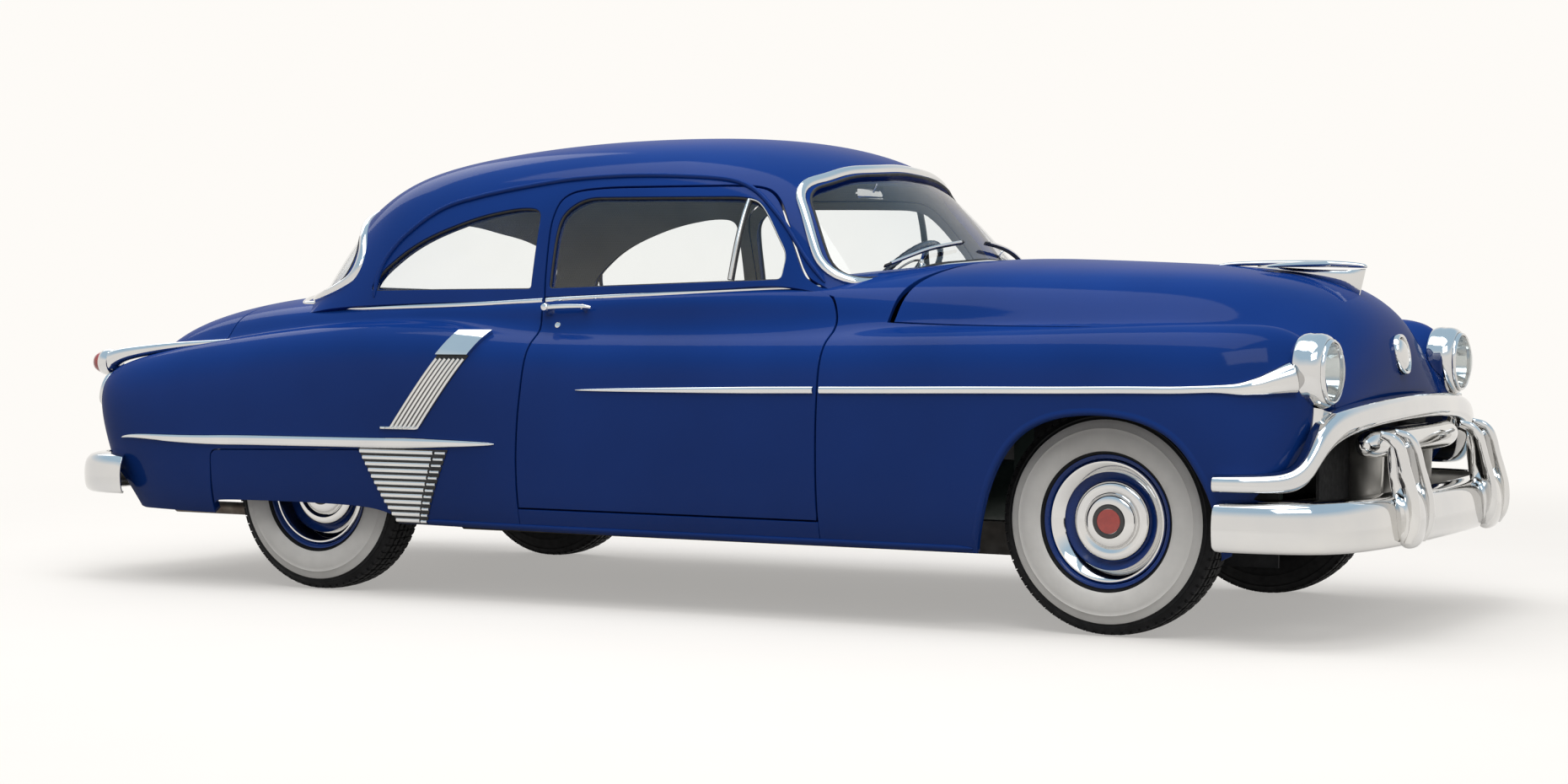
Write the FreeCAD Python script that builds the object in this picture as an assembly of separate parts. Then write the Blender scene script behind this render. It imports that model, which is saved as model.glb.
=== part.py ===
import FreeCAD, Part
import os

# A two-door sedan of about 1951, as it stands parked: +X forward, +Y to the car's left, +Z up,
# with the origin on the floor under the middle of its box.

V = FreeCAD.Vector

# Driving dimensions of the whole car; the axles and tracks keep with the body
overall_length = 5130.0
body_width = 1928.0
roof_height = 1617.0
front_axle_share = 16.60
rear_axle_share = -13.75
front_track_share = 14.50
rear_track_share = 15.00

# The body draft counts spaces from the origin: so many in half the length, half the width
# and the height. Every table of shares below is given in these spaces.
length_spaces_share = 25.65
width_spaces_share = 9.64
height_spaces_share = 16.17

# Panels
sheet_thickness = 18.0
door_thickness = 70.0
quarter_thickness = 34.0
roof_thickness = 38.0
panel_clearance = 6.0
glass_thickness = 6.0
door_skew_share = 0.25
side_cut_depth_share = 3.30
sample_share = 0.01
fourth_share = 0.25
eighth_share = 0.125

# Tyres and wheels
tyre_diameter = 716.0
tyre_width = 193.0
tyre_bead_diameter = 392.0
tyre_tread_width = 140.0
wheel_rim_diameter = 414.0
wheel_rim_width = 150.0
wheel_disc_thickness = 8.0
wheel_disc_outset = 10.0
hub_cap_diameter = 258.0
hub_cap_height = 46.0
wall_bulge_share = 0.96
tread_flat_share = 0.7
cap_step_share = 0.55
cap_rise_share = 0.85
drum_diameter = 300.0
drum_width = 50.0

# Chassis
rail_width = 60.0
rail_height_share = 1.10
rail_bottom_share = 2.00
rail_spacing_share = 7.40
crossmember_width = 90.0
crossmember_height = 70.0
axle_tube_diameter = 76.0
differential_diameter = 250.0
differential_width = 220.0
leaf_spring_width = 55.0
leaf_spring_height = 34.0
leaf_spring_length = 1300.0
kingpin_inset = 75.0
kingpin_diameter = 30.0
kingpin_height = 220.0
arm_end_share = 0.25
control_arm_height = 26.0
control_arm_width = 70.0

# Engine and driveline
engine_length = 760.0
engine_width = 520.0
engine_height = 560.0
engine_front_share = 18.60
gearbox_diameter = 220.0
driveshaft_diameter = 76.0
exhaust_diameter = 48.0
exhaust_height_share = 2.30
tank_axle_gap = 60.0
tank_width_share = 6.60
tank_height = 190.0

half_length = overall_length / 2
half_width = body_width / 2

length_space = half_length / length_spaces_share
width_space = half_width / width_spaces_share
height_space = roof_height / height_spaces_share


def place(x, y, z):
    """A point from the body draft's spaces."""
    return V(x * length_space, y * width_space, z * height_space)


# The body below the windows: stations from the grille opening back to the tail panel,
# each from the sill up over the fender to the centre line, for the left side.
body_shares = [
    [(20.95, 8.80, 2.62), (21.05, 8.90, 3.00), (21.25, 8.95, 3.85), (21.60, 8.90, 4.50),
     (22.20, 8.50, 5.00), (22.65, 7.90, 5.60), (22.95, 7.10, 6.20), (23.10, 6.40, 6.60),
     (23.20, 5.70, 6.85), (23.28, 5.00, 7.00), (23.35, 4.10, 7.08), (23.40, 2.20, 7.14),
     (23.42, 0, 7.16)],
    [(20.65, 8.86, 2.60), (20.72, 8.98, 3.00), (20.85, 9.05, 3.80), (21.20, 9.12, 4.70),
     (22.00, 8.88, 5.45), (22.80, 8.05, 6.25), (23.15, 7.05, 6.95), (23.20, 6.30, 7.15),
     (23.08, 5.68, 7.42), (23.15, 4.95, 7.78), (23.35, 4.00, 7.92), (23.52, 2.20, 7.98),
     (23.55, 0, 8.00)],
    [(20.20, 8.90, 2.58), (20.25, 9.04, 3.00), (20.35, 9.14, 3.95), (20.70, 9.24, 5.10),
     (21.70, 9.03, 6.15), (22.80, 8.22, 7.05), (23.30, 7.10, 7.95), (23.22, 6.32, 8.00),
     (22.75, 5.72, 8.05), (22.75, 5.00, 8.50), (23.05, 3.95, 8.75), (23.42, 2.18, 8.85),
     (23.50, 0, 8.88)],
    [(19.70, 8.95, 2.56), (19.75, 9.10, 3.00), (19.80, 9.22, 4.10), (20.10, 9.34, 5.50),
     (21.20, 9.15, 6.95), (22.50, 8.32, 8.15), (22.95, 7.20, 9.15), (22.80, 6.40, 9.12),
     (22.10, 5.80, 8.92), (22.05, 5.10, 9.30), (22.45, 3.95, 9.60), (23.00, 2.20, 9.72),
     (23.15, 0, 9.76)],
    [(19.20, 9.00, 2.54), (19.25, 9.17, 3.00), (19.30, 9.30, 4.20), (19.50, 9.40, 5.75),
     (20.50, 9.25, 7.35), (21.65, 8.62, 8.92), (22.15, 7.55, 9.74), (21.95, 6.68, 9.72),
     (21.20, 6.00, 9.28), (21.15, 5.25, 9.75), (21.50, 4.10, 10.35), (22.15, 2.25, 10.52),
     (22.35, 0, 10.58)],
    [(18.40, 9.08, 2.52), (18.40, 9.26, 3.00), (18.40, 9.38, 4.30), (18.60, 9.41, 5.95),
     (19.40, 9.32, 7.50), (20.35, 8.95, 8.95), (20.80, 8.05, 9.78), (20.60, 7.05, 9.80),
     (20.10, 6.25, 9.35), (20.00, 5.55, 10.10), (20.20, 4.45, 10.90), (20.70, 2.40, 11.15),
     (20.90, 0, 11.22)],
    [(17.30, 9.08, 2.50), (17.30, 9.26, 2.98), (17.30, 9.38, 4.30), (17.40, 9.41, 6.00),
     (17.80, 9.36, 7.55), (18.30, 9.15, 8.82), (18.45, 8.45, 9.64), (18.40, 7.60, 9.80),
     (18.20, 6.60, 9.42), (18.10, 6.00, 10.20), (18.20, 4.95, 11.15), (18.40, 2.65, 11.48),
     (18.50, 0, 11.58)],
    [(15.00, 9.04, 2.50), (15.00, 9.24, 2.97), (15.00, 9.37, 4.30), (15.00, 9.41, 6.00),
     (15.10, 9.37, 7.50), (15.20, 9.20, 8.68), (15.30, 8.68, 9.45), (15.30, 7.90, 9.68),
     (15.30, 6.95, 9.45), (15.30, 6.50, 10.20), (15.30, 5.50, 11.20), (15.40, 2.95, 11.62),
     (15.40, 0, 11.72)],
    [(12.00, 9.00, 2.50), (12.00, 9.20, 2.96), (12.00, 9.34, 4.30), (12.00, 9.38, 6.00),
     (12.00, 9.35, 7.45), (12.00, 9.18, 8.58), (12.00, 8.72, 9.30), (12.00, 8.05, 9.55),
     (12.00, 7.35, 9.50), (12.00, 7.00, 10.20), (12.00, 6.15, 11.20), (12.10, 3.40, 11.75),
     (12.20, 0, 11.85)],
    [(8.80, 8.96, 2.50), (8.80, 9.17, 2.96), (8.80, 9.31, 4.30), (8.80, 9.35, 6.00),
     (8.80, 9.31, 7.40), (8.80, 9.14, 8.48), (8.80, 8.72, 9.16), (8.90, 8.18, 9.42),
     (9.00, 7.72, 9.62), (9.10, 7.45, 10.30), (9.40, 6.60, 11.15), (10.20, 3.80, 11.75),
     (10.50, 0, 11.86)],
    [(5.50, 8.93, 2.50), (5.50, 9.14, 2.96), (5.50, 9.28, 4.30), (5.50, 9.32, 6.00),
     (5.50, 9.28, 7.40), (5.50, 9.11, 8.42), (5.50, 8.72, 9.05), (5.50, 8.25, 9.34),
     (5.50, 8.02, 9.95), (5.50, 7.92, 10.62), (5.80, 7.30, 11.00), (7.00, 4.20, 11.50),
     (7.30, 0, 11.60)],
    [(2.00, 8.90, 2.50), (2.00, 9.12, 2.96), (2.00, 9.26, 4.30), (2.00, 9.30, 6.00),
     (2.00, 9.26, 7.40), (2.00, 9.09, 8.40), (2.00, 8.71, 8.98), (2.00, 8.26, 9.28),
     (2.00, 8.06, 9.90), (2.00, 7.98, 10.52), (2.00, 7.50, 10.85), (2.80, 4.40, 11.00),
     (3.00, 0, 11.10)],
    [(-2.00, 8.90, 2.50), (-2.00, 9.12, 2.96), (-2.00, 9.27, 4.30), (-2.00, 9.31, 6.00),
     (-2.00, 9.27, 7.40), (-2.00, 9.10, 8.38), (-2.00, 8.71, 8.96), (-2.00, 8.26, 9.24),
     (-2.00, 8.06, 9.82), (-2.00, 7.98, 10.38), (-2.00, 7.50, 10.70), (-2.00, 4.40, 10.80),
     (-2.00, 0, 10.85)],
    [(-5.20, 8.92, 2.52), (-5.20, 9.16, 2.98), (-5.20, 9.34, 4.30), (-5.20, 9.40, 6.00),
     (-5.20, 9.37, 7.40), (-5.20, 9.20, 8.42), (-5.20, 8.78, 9.02), (-5.20, 8.27, 9.28),
     (-5.20, 8.05, 9.74), (-5.20, 7.96, 10.25), (-5.20, 7.50, 10.56), (-5.20, 4.50, 10.70),
     (-5.20, 0, 10.75)],
    [(-8.00, 8.97, 2.56), (-8.00, 9.24, 3.02), (-8.00, 9.48, 4.35), (-8.00, 9.55, 6.00),
     (-8.00, 9.52, 7.40), (-8.00, 9.36, 8.58), (-8.00, 8.90, 9.32), (-8.00, 8.30, 9.58),
     (-8.00, 8.02, 9.75), (-8.00, 7.93, 10.12), (-8.00, 7.50, 10.42), (-8.00, 4.60, 10.62),
     (-8.00, 0, 10.66)],
    [(-11.00, 9.00, 2.60), (-11.00, 9.30, 3.05), (-11.00, 9.56, 4.40), (-11.00, 9.64, 6.00),
     (-11.00, 9.61, 7.40), (-11.00, 9.44, 8.60), (-11.00, 8.95, 9.35), (-11.00, 8.32, 9.62),
     (-11.00, 7.98, 9.66), (-11.00, 7.85, 10.02), (-11.00, 7.40, 10.36), (-11.00, 4.60, 10.62),
     (-11.00, 0, 10.68)],
    [(-14.00, 9.00, 2.62), (-14.00, 9.30, 3.06), (-14.00, 9.56, 4.40), (-14.00, 9.64, 5.95),
     (-14.00, 9.60, 7.30), (-14.00, 9.42, 8.45), (-14.00, 8.90, 9.20), (-14.00, 8.25, 9.42),
     (-14.00, 7.85, 9.42), (-14.00, 7.62, 9.86), (-14.00, 7.10, 10.28), (-14.00, 4.30, 10.65),
     (-14.00, 0, 10.75)],
    [(-17.00, 8.98, 2.64), (-17.00, 9.28, 3.08), (-17.00, 9.54, 4.40), (-17.00, 9.62, 5.90),
     (-17.00, 9.56, 7.15), (-17.00, 9.32, 8.20), (-17.00, 8.74, 8.90), (-17.00, 8.05, 9.10),
     (-17.00, 7.60, 9.05), (-17.00, 7.30, 9.55), (-17.00, 6.70, 10.10), (-17.00, 3.90, 10.60),
     (-17.00, 0, 10.72)],
    [(-19.80, 8.95, 2.68), (-19.80, 9.24, 3.10), (-19.90, 9.48, 4.40), (-20.00, 9.56, 5.80),
     (-20.00, 9.48, 6.95), (-20.00, 9.18, 7.90), (-20.00, 8.60, 8.52), (-20.00, 7.95, 8.72),
     (-20.00, 7.35, 8.60), (-20.00, 6.95, 9.10), (-20.00, 6.20, 9.70), (-20.20, 3.60, 10.20),
     (-20.30, 0, 10.32)],
    [(-20.90, 8.80, 2.70), (-20.95, 9.02, 3.12), (-21.20, 9.22, 4.35), (-21.60, 9.38, 5.65),
     (-22.10, 9.32, 6.70), (-22.50, 8.95, 7.50), (-22.70, 8.40, 8.05), (-22.60, 7.75, 8.25),
     (-22.30, 7.10, 8.05), (-22.20, 6.60, 8.50), (-22.30, 5.80, 9.05), (-22.70, 3.40, 9.50),
     (-22.80, 0, 9.60)],
    [(-21.20, 8.72, 2.70), (-21.30, 8.92, 3.15), (-21.70, 9.05, 4.20), (-22.40, 9.20, 5.35),
     (-23.20, 8.95, 6.30), (-23.80, 8.55, 7.05), (-24.10, 8.00, 7.55), (-23.90, 7.45, 7.60),
     (-23.40, 6.90, 7.20), (-23.40, 6.30, 7.50), (-23.60, 5.50, 7.90), (-23.95, 3.20, 8.25),
     (-24.05, 0, 8.35)],
    [(-21.40, 8.66, 2.70), (-21.60, 8.85, 3.20), (-22.10, 8.85, 4.00), (-22.90, 8.90, 4.90),
     (-23.60, 8.50, 5.70), (-24.05, 8.00, 6.20), (-24.20, 7.50, 6.50), (-24.10, 7.05, 6.50),
     (-23.90, 6.50, 6.30), (-23.90, 6.00, 6.40), (-24.05, 5.20, 6.60), (-24.25, 3.10, 6.80),
     (-24.30, 0, 6.90)],
    [(-21.60, 8.60, 2.75), (-21.80, 8.75, 3.20), (-22.35, 8.62, 3.75), (-23.00, 8.50, 4.25),
     (-23.50, 8.00, 4.50), (-23.80, 7.50, 4.60), (-23.95, 7.00, 4.65), (-24.00, 6.50, 4.70),
     (-24.02, 6.00, 4.70), (-24.05, 5.50, 4.72), (-24.10, 4.80, 4.75), (-24.20, 2.90, 4.80),
     (-24.20, 0, 4.82)],
]

# The roof with its pillars: stations from the windshield's foot to the rear window's foot,
# each from the belt up to the centre line, for the left side.
roof_shares = [
    [(6.60, 7.68, 10.40), (7.35, 6.90, 10.75), (8.10, 5.50, 11.05), (8.62, 3.90, 11.30),
     (9.00, 2.00, 11.48), (9.12, 0, 11.52)],
    [(5.70, 7.72, 10.42), (6.12, 7.12, 11.90), (6.72, 6.00, 12.35), (7.28, 4.20, 12.62),
     (7.68, 2.10, 12.80), (7.80, 0, 12.86)],
    [(4.40, 7.75, 10.44), (4.62, 7.22, 12.70), (5.12, 6.22, 13.78), (5.74, 4.40, 14.15),
     (6.16, 2.22, 14.34), (6.28, 0, 14.40)],
    [(2.90, 7.77, 10.44), (3.00, 7.38, 12.35), (3.35, 6.68, 14.18), (4.08, 5.00, 15.06),
     (4.60, 2.55, 15.40), (4.76, 0, 15.50)],
    [(0.80, 7.79, 10.42), (0.82, 7.42, 12.35), (0.92, 6.82, 14.24), (1.20, 5.60, 15.38),
     (1.60, 2.90, 16.02), (1.72, 0, 16.14)],
    [(-2.20, 7.80, 10.40), (-2.20, 7.42, 12.35), (-2.20, 6.84, 14.28), (-2.15, 5.66, 15.52),
     (-2.05, 2.94, 16.13), (-2.00, 0, 16.25)],
    [(-5.60, 7.80, 10.36), (-5.60, 7.42, 12.32), (-5.60, 6.84, 14.20), (-5.60, 5.66, 15.44),
     (-5.70, 2.94, 16.04), (-5.75, 0, 16.16)],
    [(-8.50, 7.79, 10.30), (-8.48, 7.40, 12.25), (-8.50, 6.78, 14.00), (-8.72, 5.60, 15.15),
     (-9.20, 2.90, 15.70), (-9.40, 0, 15.82)],
    [(-11.00, 7.76, 10.22), (-10.92, 7.32, 12.05), (-10.98, 6.60, 13.65), (-11.45, 5.35, 14.65),
     (-12.35, 2.80, 15.18), (-12.68, 0, 15.30)],
    [(-12.85, 7.68, 10.14), (-12.68, 7.12, 11.80), (-12.85, 6.28, 13.12), (-13.52, 4.80, 13.92),
     (-14.40, 2.50, 14.28), (-14.70, 0, 14.38)],
    [(-14.20, 7.52, 10.02), (-14.22, 6.80, 11.05), (-14.62, 5.80, 11.95), (-15.40, 4.25, 12.50),
     (-16.12, 2.20, 12.78), (-16.40, 0, 12.86)],
    [(-15.10, 7.25, 9.85), (-15.60, 6.40, 9.95), (-16.30, 5.20, 10.05), (-17.06, 3.70, 10.16),
     (-17.65, 1.90, 10.24), (-17.86, 0, 10.28)],
]


def full_net(shares):
    """Control points over the whole width, right to left, of a table for the left side."""
    net = []
    for station in shares:
        left = [place(*point) for point in station]
        right = [V(point.x, -point.y, point.z) for point in left]
        net.append(right + left[-2::-1])
    return net


def inset_net(net, depth):
    """The net moved inward, across its surface, by the depth."""
    inner = []
    last_row = len(net) - 1
    last_column = len(net[0]) - 1
    for i, row in enumerate(net):
        moved = []
        for j, point in enumerate(row):
            along = net[min(i + 1, last_row)][j] - net[max(i - 1, 0)][j]
            across = row[min(j + 1, last_column)] - row[max(j - 1, 0)]
            normal = along.cross(across).normalize()
            moved.append(point + normal * depth)
        inner.append(moved)
    return inner


def net_surface(net):
    """The clamped cubic surface of a net, counted in spaces between its stations and rows."""
    def knots(count):
        spans = count - 3
        return [4] + [1] * (spans - 1) + [4], [float(k) for k in range(spans + 1)]
    u_marks, u_knots = knots(len(net))
    v_marks, v_knots = knots(len(net[0]))
    surface = Part.BSplineSurface()
    surface.buildFromPolesMultsKnots(net, u_marks, v_marks, u_knots, v_knots, False, False, 3, 3)
    return surface


def panel(outer, inner, u_from, u_to, v_from, v_to):
    """A closed panel between two surfaces, within a patch of their stations and rows."""
    patches = []
    for surface in (outer, inner):
        patch = surface.copy()
        patch.segment(u_from, u_to, v_from, v_to)
        patches.append(patch)
    top, bottom = patches
    faces = [top.toShape(), bottom.toShape()]
    for u in (u_from, u_to):
        faces.append(Part.makeRuledSurface(top.uIso(u).toShape(), bottom.uIso(u).toShape()))
    for v in (v_from, v_to):
        faces.append(Part.makeRuledSurface(top.vIso(v).toShape(), bottom.vIso(v).toShape()))
    shell = Part.Shell(faces)
    shell.sewShape()
    solid = Part.Solid(shell)
    if solid.Volume < 0:
        solid.reverse()
    return solid


def prism(outline, y_from, y_to, skew=0):
    """A side-view outline, given as vectors, carried across the car and leaning by the skew."""
    depth = y_to - y_from
    base = [V(p.x, y_from, p.z) for p in outline]
    wire = Part.makePolygon(base + [base[0]])
    return Part.Face(wire).extrude(V(skew * abs(depth), depth, 0))


def end_prism(outline, x_from, x_to):
    """An end-view outline, given as (y, z) pairs, smooth and carried along the car."""
    base = [V(x_from, y, z) for y, z in outline]
    curve = Part.BSplineCurve()
    curve.interpolate(Points=base, PeriodicFlag=True)
    return Part.Face(Part.Wire(curve.toShape())).extrude(V(x_to - x_from, 0, 0))


def block(x_from, x_to, y_from, y_to, z_from, z_to):
    """A plain block between two corners."""
    return Part.makeBox(x_to - x_from, y_to - y_from, z_to - z_from, V(x_from, y_from, z_from))


def rod(start, end, diameter):
    """A round bar from one point to another."""
    return Part.makeCylinder(diameter / 2, (end - start).Length, start, end - start)


def tube(start, end, diameter, bore):
    """A round bar with a hole through it."""
    return rod(start, end, diameter).cut(rod(start, end, bore))


def turned(profile, centre, side):
    """A ring or disc turned about the car's Y axis through a centre, from (radius, outboard) pairs."""
    points = [V(radius, side * outboard, 0) for radius, outboard in profile]
    face = Part.Face(Part.makePolygon(points + [points[0]]))
    solid = face.revolve(V(0, 0, 0), V(0, 1, 0), 360)
    if solid.Volume < 0:
        solid.reverse()
    solid.translate(centre)
    return solid


def mirrored(shape):
    """The same piece on the car's other side."""
    return shape.mirror(V(0, 0, 0), V(0, 1, 0))


def one_solid(shape):
    """The largest solid of a result, without the slivers of a cut."""
    return max(shape.Solids, key=lambda solid: solid.Volume)


def joined(first, *others):
    """Pieces fused to one."""
    return first.fuse(list(others)).removeSplitter()


os.makedirs("parts", exist_ok=True)


def keep(name, shape):
    """Write one node."""
    shape.exportStep("parts/" + name + ".step")


def side_view(shares):
    """Side-view points of a table, as vectors."""
    return [place(x, 0, z) for x, z in shares]


def grown(outline, margin):
    """A side-view outline, as vectors, pushed out from its middle on every edge by the margin."""
    count = len(outline)
    area = sum(outline[i].x * outline[(i + 1) % count].z - outline[(i + 1) % count].x * outline[i].z
               for i in range(count))
    turn = 1 if area > 0 else -1
    result = []
    for i, point in enumerate(outline):
        before = (point - outline[i - 1]).normalize()
        after = (outline[(i + 1) % count] - point).normalize()
        out_before = V(before.z, 0, -before.x) * turn
        out_after = V(after.z, 0, -after.x) * turn
        out = out_before + out_after
        result.append(point + out * (margin * 2 / out.dot(out)))
    return result


# Cabin and chassis places
seat_clearance = 0.3
shaft_clearance = 0.9
sill_inner_share = 8.62
door_reach_share = 1.4
roof_stations_share = 9.0
roof_rows_share = 8.0
windshield_rear_share = 3.6
rear_window_front_share = 11.0
gearbox_rear_share = 7.00
rear_cross_x_share = -21.00
rear_cross_bottom_share = 3.30
floor_thickness = 12.0
hinge_length = 76.0
hinge_width = 60.0
hinge_depth = 110.0
hinge_spacing_share = 6.60
hood_hinge_x_share = 10.22
hood_hinge_top_share = 12.00
lid_hinge_x_share = -18.50
lid_hinge_top_share = 10.80
door_hinge_x_share = 7.22
door_hinge_y_share = 8.90
door_hinge_low_share = 5.60
door_hinge_high_share = 8.20
hinge_front_share = 7.0
hinge_rear_share = 17.5
plate_hole_spacing = 178.0
plate_hole_height_share = 7.00
plate_hole_diameter = 7.0
firewall_x_share = 8.80
firewall_width_share = 13.00
rear_kick_x_share = -9.60
trunk_floor_share = 5.60
trunk_rear_x_share = -23.00
tunnel_width = 300.0
tunnel_top_share = 5.10
house_thickness = 12.0
front_house_rear_share = 12.40
front_house_front_share = 20.80
front_house_top_share = 9.00
rear_house_y_share = 6.20
rear_house_rear_share = -18.00
rear_house_front_share = -9.65
rear_house_bottom_share = 3.00
rear_house_top_share = 9.00
rail_shares = [(21.20, 3.00), (14.40, 2.00), (-10.40, 2.00), (-12.60, 4.20), (-15.50, 4.20),
               (-18.00, 3.30), (-22.00, 3.30), (-22.00, 4.20), (-18.40, 4.20), (-15.80, 5.20),
               (-12.10, 5.20), (-9.90, 3.10), (14.40, 3.10), (21.20, 3.90)]

# Cabin fittings
seat_width_share = 14.20
rear_seat_width_share = 12.00
front_cushion_shares = [(2.60, 3.00), (2.80, 5.40), (2.40, 6.20), (-3.00, 5.90), (-3.00, 3.00)]
front_back_shares = [(-2.40, 4.00), (-1.90, 6.00), (-3.40, 9.60), (-4.10, 9.70), (-4.60, 9.00),
                     (-3.90, 4.00)]
rear_cushion_shares = [(-7.00, 3.00), (-6.80, 5.20), (-7.20, 6.00), (-11.00, 5.75), (-11.00, 5.60),
                       (-9.50, 5.60),
                       (-9.45, 3.00)]
rear_back_shares = [(-10.60, 5.725), (-12.60, 9.50), (-13.40, 9.80), (-13.80, 9.20), (-12.40, 5.725)]
dash_shares = [(6.60, 8.40), (5.40, 8.50), (4.90, 9.10), (4.80, 9.80), (5.20, 10.35), (6.20, 10.55),
               (7.60, 10.55),
               (7.60, 8.60)]
dash_width_share = 13.30
steering_wheel_x_share = 3.45
steering_wheel_y_share = 3.80
steering_wheel_height_share = 10.80
steering_wheel_diameter = 450.0
steering_rim_diameter = 24.0
steering_hub_diameter = 90.0
steering_hub_depth = 60.0
steering_spoke_diameter = 16.0
column_diameter = 46.0
column_foot_height_share = 6.40

# Lamps
headlight_x_share = 23.00
headlight_y_share = 6.90
headlight_height_share = 8.30
headlight_diameter = 226.0
lamp_bucket_diameter = 180.0
lamp_bucket_length = 130.0
bezel_back = 38.0
bezel_depth = 34.0
lens_rise = 22.0
lens_step_share = 0.75

tail_lamp_x_share = 23.95
tail_lamp_y_share = 7.73
tail_lamp_height_share = 8.00
tail_lamp_diameter = 96.0
tail_lamp_length = 62.0
tail_stem_length = 120.0
tail_stem_share = 0.5
tail_neck_share = 0.6
tail_side_share = 0.7
tail_face_share = 0.85

# Grille
grille_arch_shares = [(20.60, 9.61, 5.00), (21.30, 9.60, 5.00), (22.30, 9.28, 5.04), (23.20, 8.62, 5.30),
                      (23.60, 7.95, 5.85), (23.85, 7.00, 6.50), (24.00, 5.60, 6.85), (24.15, 3.80, 7.00),
                      (24.25, 1.80, 7.05), (24.27, 0, 7.05)]
grille_section_shares = [(0.50, -0.38), (0.12, -0.36), (0, -0.12), (0, 0.16), (0.15, 0.36), (0.50, 0.38)]
grille_bar_x_share = 23.70
grille_bar_length_share = 8.60
grille_bar_height_share = 6.00
grille_bar_diameter = 90.0
grille_plate_x_share = 22.60
grille_plate_width_share = 10.00
grille_high_share = 6.40
grille_blade_width = 30.0
grille_blade_spacing_share = 2.60

# Hood ornament, exhaust and tank
ornament_shares = [(22.31, 11.52), (21.90, 11.36), (20.99, 11.08), (19.60, 11.00), (17.27, 11.40),
                   (17.27, 11.66),
                   (19.70, 11.80), (21.90, 11.72)]
ornament_width = 44.0
ornament_span = 300.0
ornament_wing_rear_share = 19.60
ornament_wing_front_share = 20.80
ornament_wing_height_share = 11.52
exhaust_front_share = 7.00
exhaust_rear_share = -24.50
exhaust_wall = 2.0
tank_rear_share = -20.40

# Bumpers
bumper_thickness = 8.0
guard_spacing_share = 8.60
guard_width = 96.0
front_arm_end_share = 25.00
front_arm_bottom_share = 3.30
rear_arm_end_share = 25.20
rear_arm_bottom_share = 3.50
front_bumper_shares = [(20.60, 9.60, 0), (21.60, 9.62, 0), (23.30, 9.45, 0), (24.70, 8.20, 0),
                       (25.15, 5.40, 0),
                       (25.30, 2.60, 0), (25.34, 0, 0)]
front_section_shares = [(0.35, 2.88), (0.12, 2.92), (0, 3.20), (0, 4.00), (0.12, 4.40), (0.35, 4.50)]
rear_bumper_shares = [(-21.80, 9.60, 0), (-22.90, 9.60, 0), (-24.30, 9.10, 0), (-25.05, 7.30, 0),
                      (-25.25, 4.80, 0),
                      (-25.30, 2.30, 0), (-25.30, 0, 0)]
rear_section_shares = [(0.35, 3.20), (0.12, 3.24), (0, 3.50), (0, 4.20), (0.12, 4.60), (0.35, 4.70)]
front_guard_shares = [(24.90, 2.90), (25.45, 2.95), (25.65, 3.60), (25.62, 4.60), (25.35, 5.40),
                      (24.85, 6.20),
                      (24.22, 6.45), (24.22, 6.20), (24.65, 5.85), (24.95, 5.10)]
rear_guard_shares = [(-24.80, 3.20), (-25.45, 3.25), (-25.65, 3.70), (-25.62, 4.60), (-25.45, 5.10),
                     (-24.90, 5.20)]

# Places of the fittings, from the body draft's spaces, so that they keep with the body
front_axle_x = front_axle_share * length_space
rear_axle_x = rear_axle_share * length_space
axle_height = tyre_diameter / 2
gearbox_rear = gearbox_rear_share * length_space
rear_cross_x = rear_cross_x_share * length_space
hood_hinge_x = hood_hinge_x_share * length_space
lid_hinge_x = lid_hinge_x_share * length_space
door_hinge_x = door_hinge_x_share * length_space
firewall_x = firewall_x_share * length_space
rear_kick_x = rear_kick_x_share * length_space
trunk_rear_x = trunk_rear_x_share * length_space
front_house_rear = front_house_rear_share * length_space
front_house_front = front_house_front_share * length_space
rear_house_rear = rear_house_rear_share * length_space
rear_house_front = rear_house_front_share * length_space
steering_wheel_x = steering_wheel_x_share * length_space
headlight_x = headlight_x_share * length_space
tail_lamp_x = tail_lamp_x_share * length_space
grille_bar_x = grille_bar_x_share * length_space
grille_plate_x = grille_plate_x_share * length_space
ornament_wing_rear = ornament_wing_rear_share * length_space
ornament_wing_front = ornament_wing_front_share * length_space
exhaust_front = exhaust_front_share * length_space
exhaust_rear = exhaust_rear_share * length_space
tank_rear = tank_rear_share * length_space
front_arm_end = front_arm_end_share * length_space
rear_arm_end = rear_arm_end_share * length_space
engine_front = engine_front_share * length_space
front_track = front_track_share * width_space
rear_track = rear_track_share * width_space
rail_spacing = rail_spacing_share * width_space
sill_inner = sill_inner_share * width_space
firewall_width = firewall_width_share * width_space
rear_house_y = rear_house_y_share * width_space
door_hinge_y = door_hinge_y_share * width_space
hinge_spacing = hinge_spacing_share * width_space
seat_width = seat_width_share * width_space
rear_seat_width = rear_seat_width_share * width_space
dash_width = dash_width_share * width_space
steering_wheel_y = steering_wheel_y_share * width_space
headlight_y = headlight_y_share * width_space
tail_lamp_y = tail_lamp_y_share * width_space
grille_bar_length = grille_bar_length_share * width_space
grille_plate_width = grille_plate_width_share * width_space
grille_blade_spacing = grille_blade_spacing_share * width_space
guard_spacing = guard_spacing_share * width_space
side_cut_depth = side_cut_depth_share * width_space
tank_width = tank_width_share * width_space
rail_bottom = rail_bottom_share * height_space
rail_height = rail_height_share * height_space
trunk_floor = trunk_floor_share * height_space
tunnel_top = tunnel_top_share * height_space
front_house_top = front_house_top_share * height_space
rear_house_bottom = rear_house_bottom_share * height_space
rear_house_top = rear_house_top_share * height_space
hood_hinge_top = hood_hinge_top_share * height_space
lid_hinge_top = lid_hinge_top_share * height_space
door_hinge_low = door_hinge_low_share * height_space
door_hinge_high = door_hinge_high_share * height_space
plate_hole_height = plate_hole_height_share * height_space
steering_wheel_height = steering_wheel_height_share * height_space
column_foot_height = column_foot_height_share * height_space
headlight_height = headlight_height_share * height_space
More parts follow.
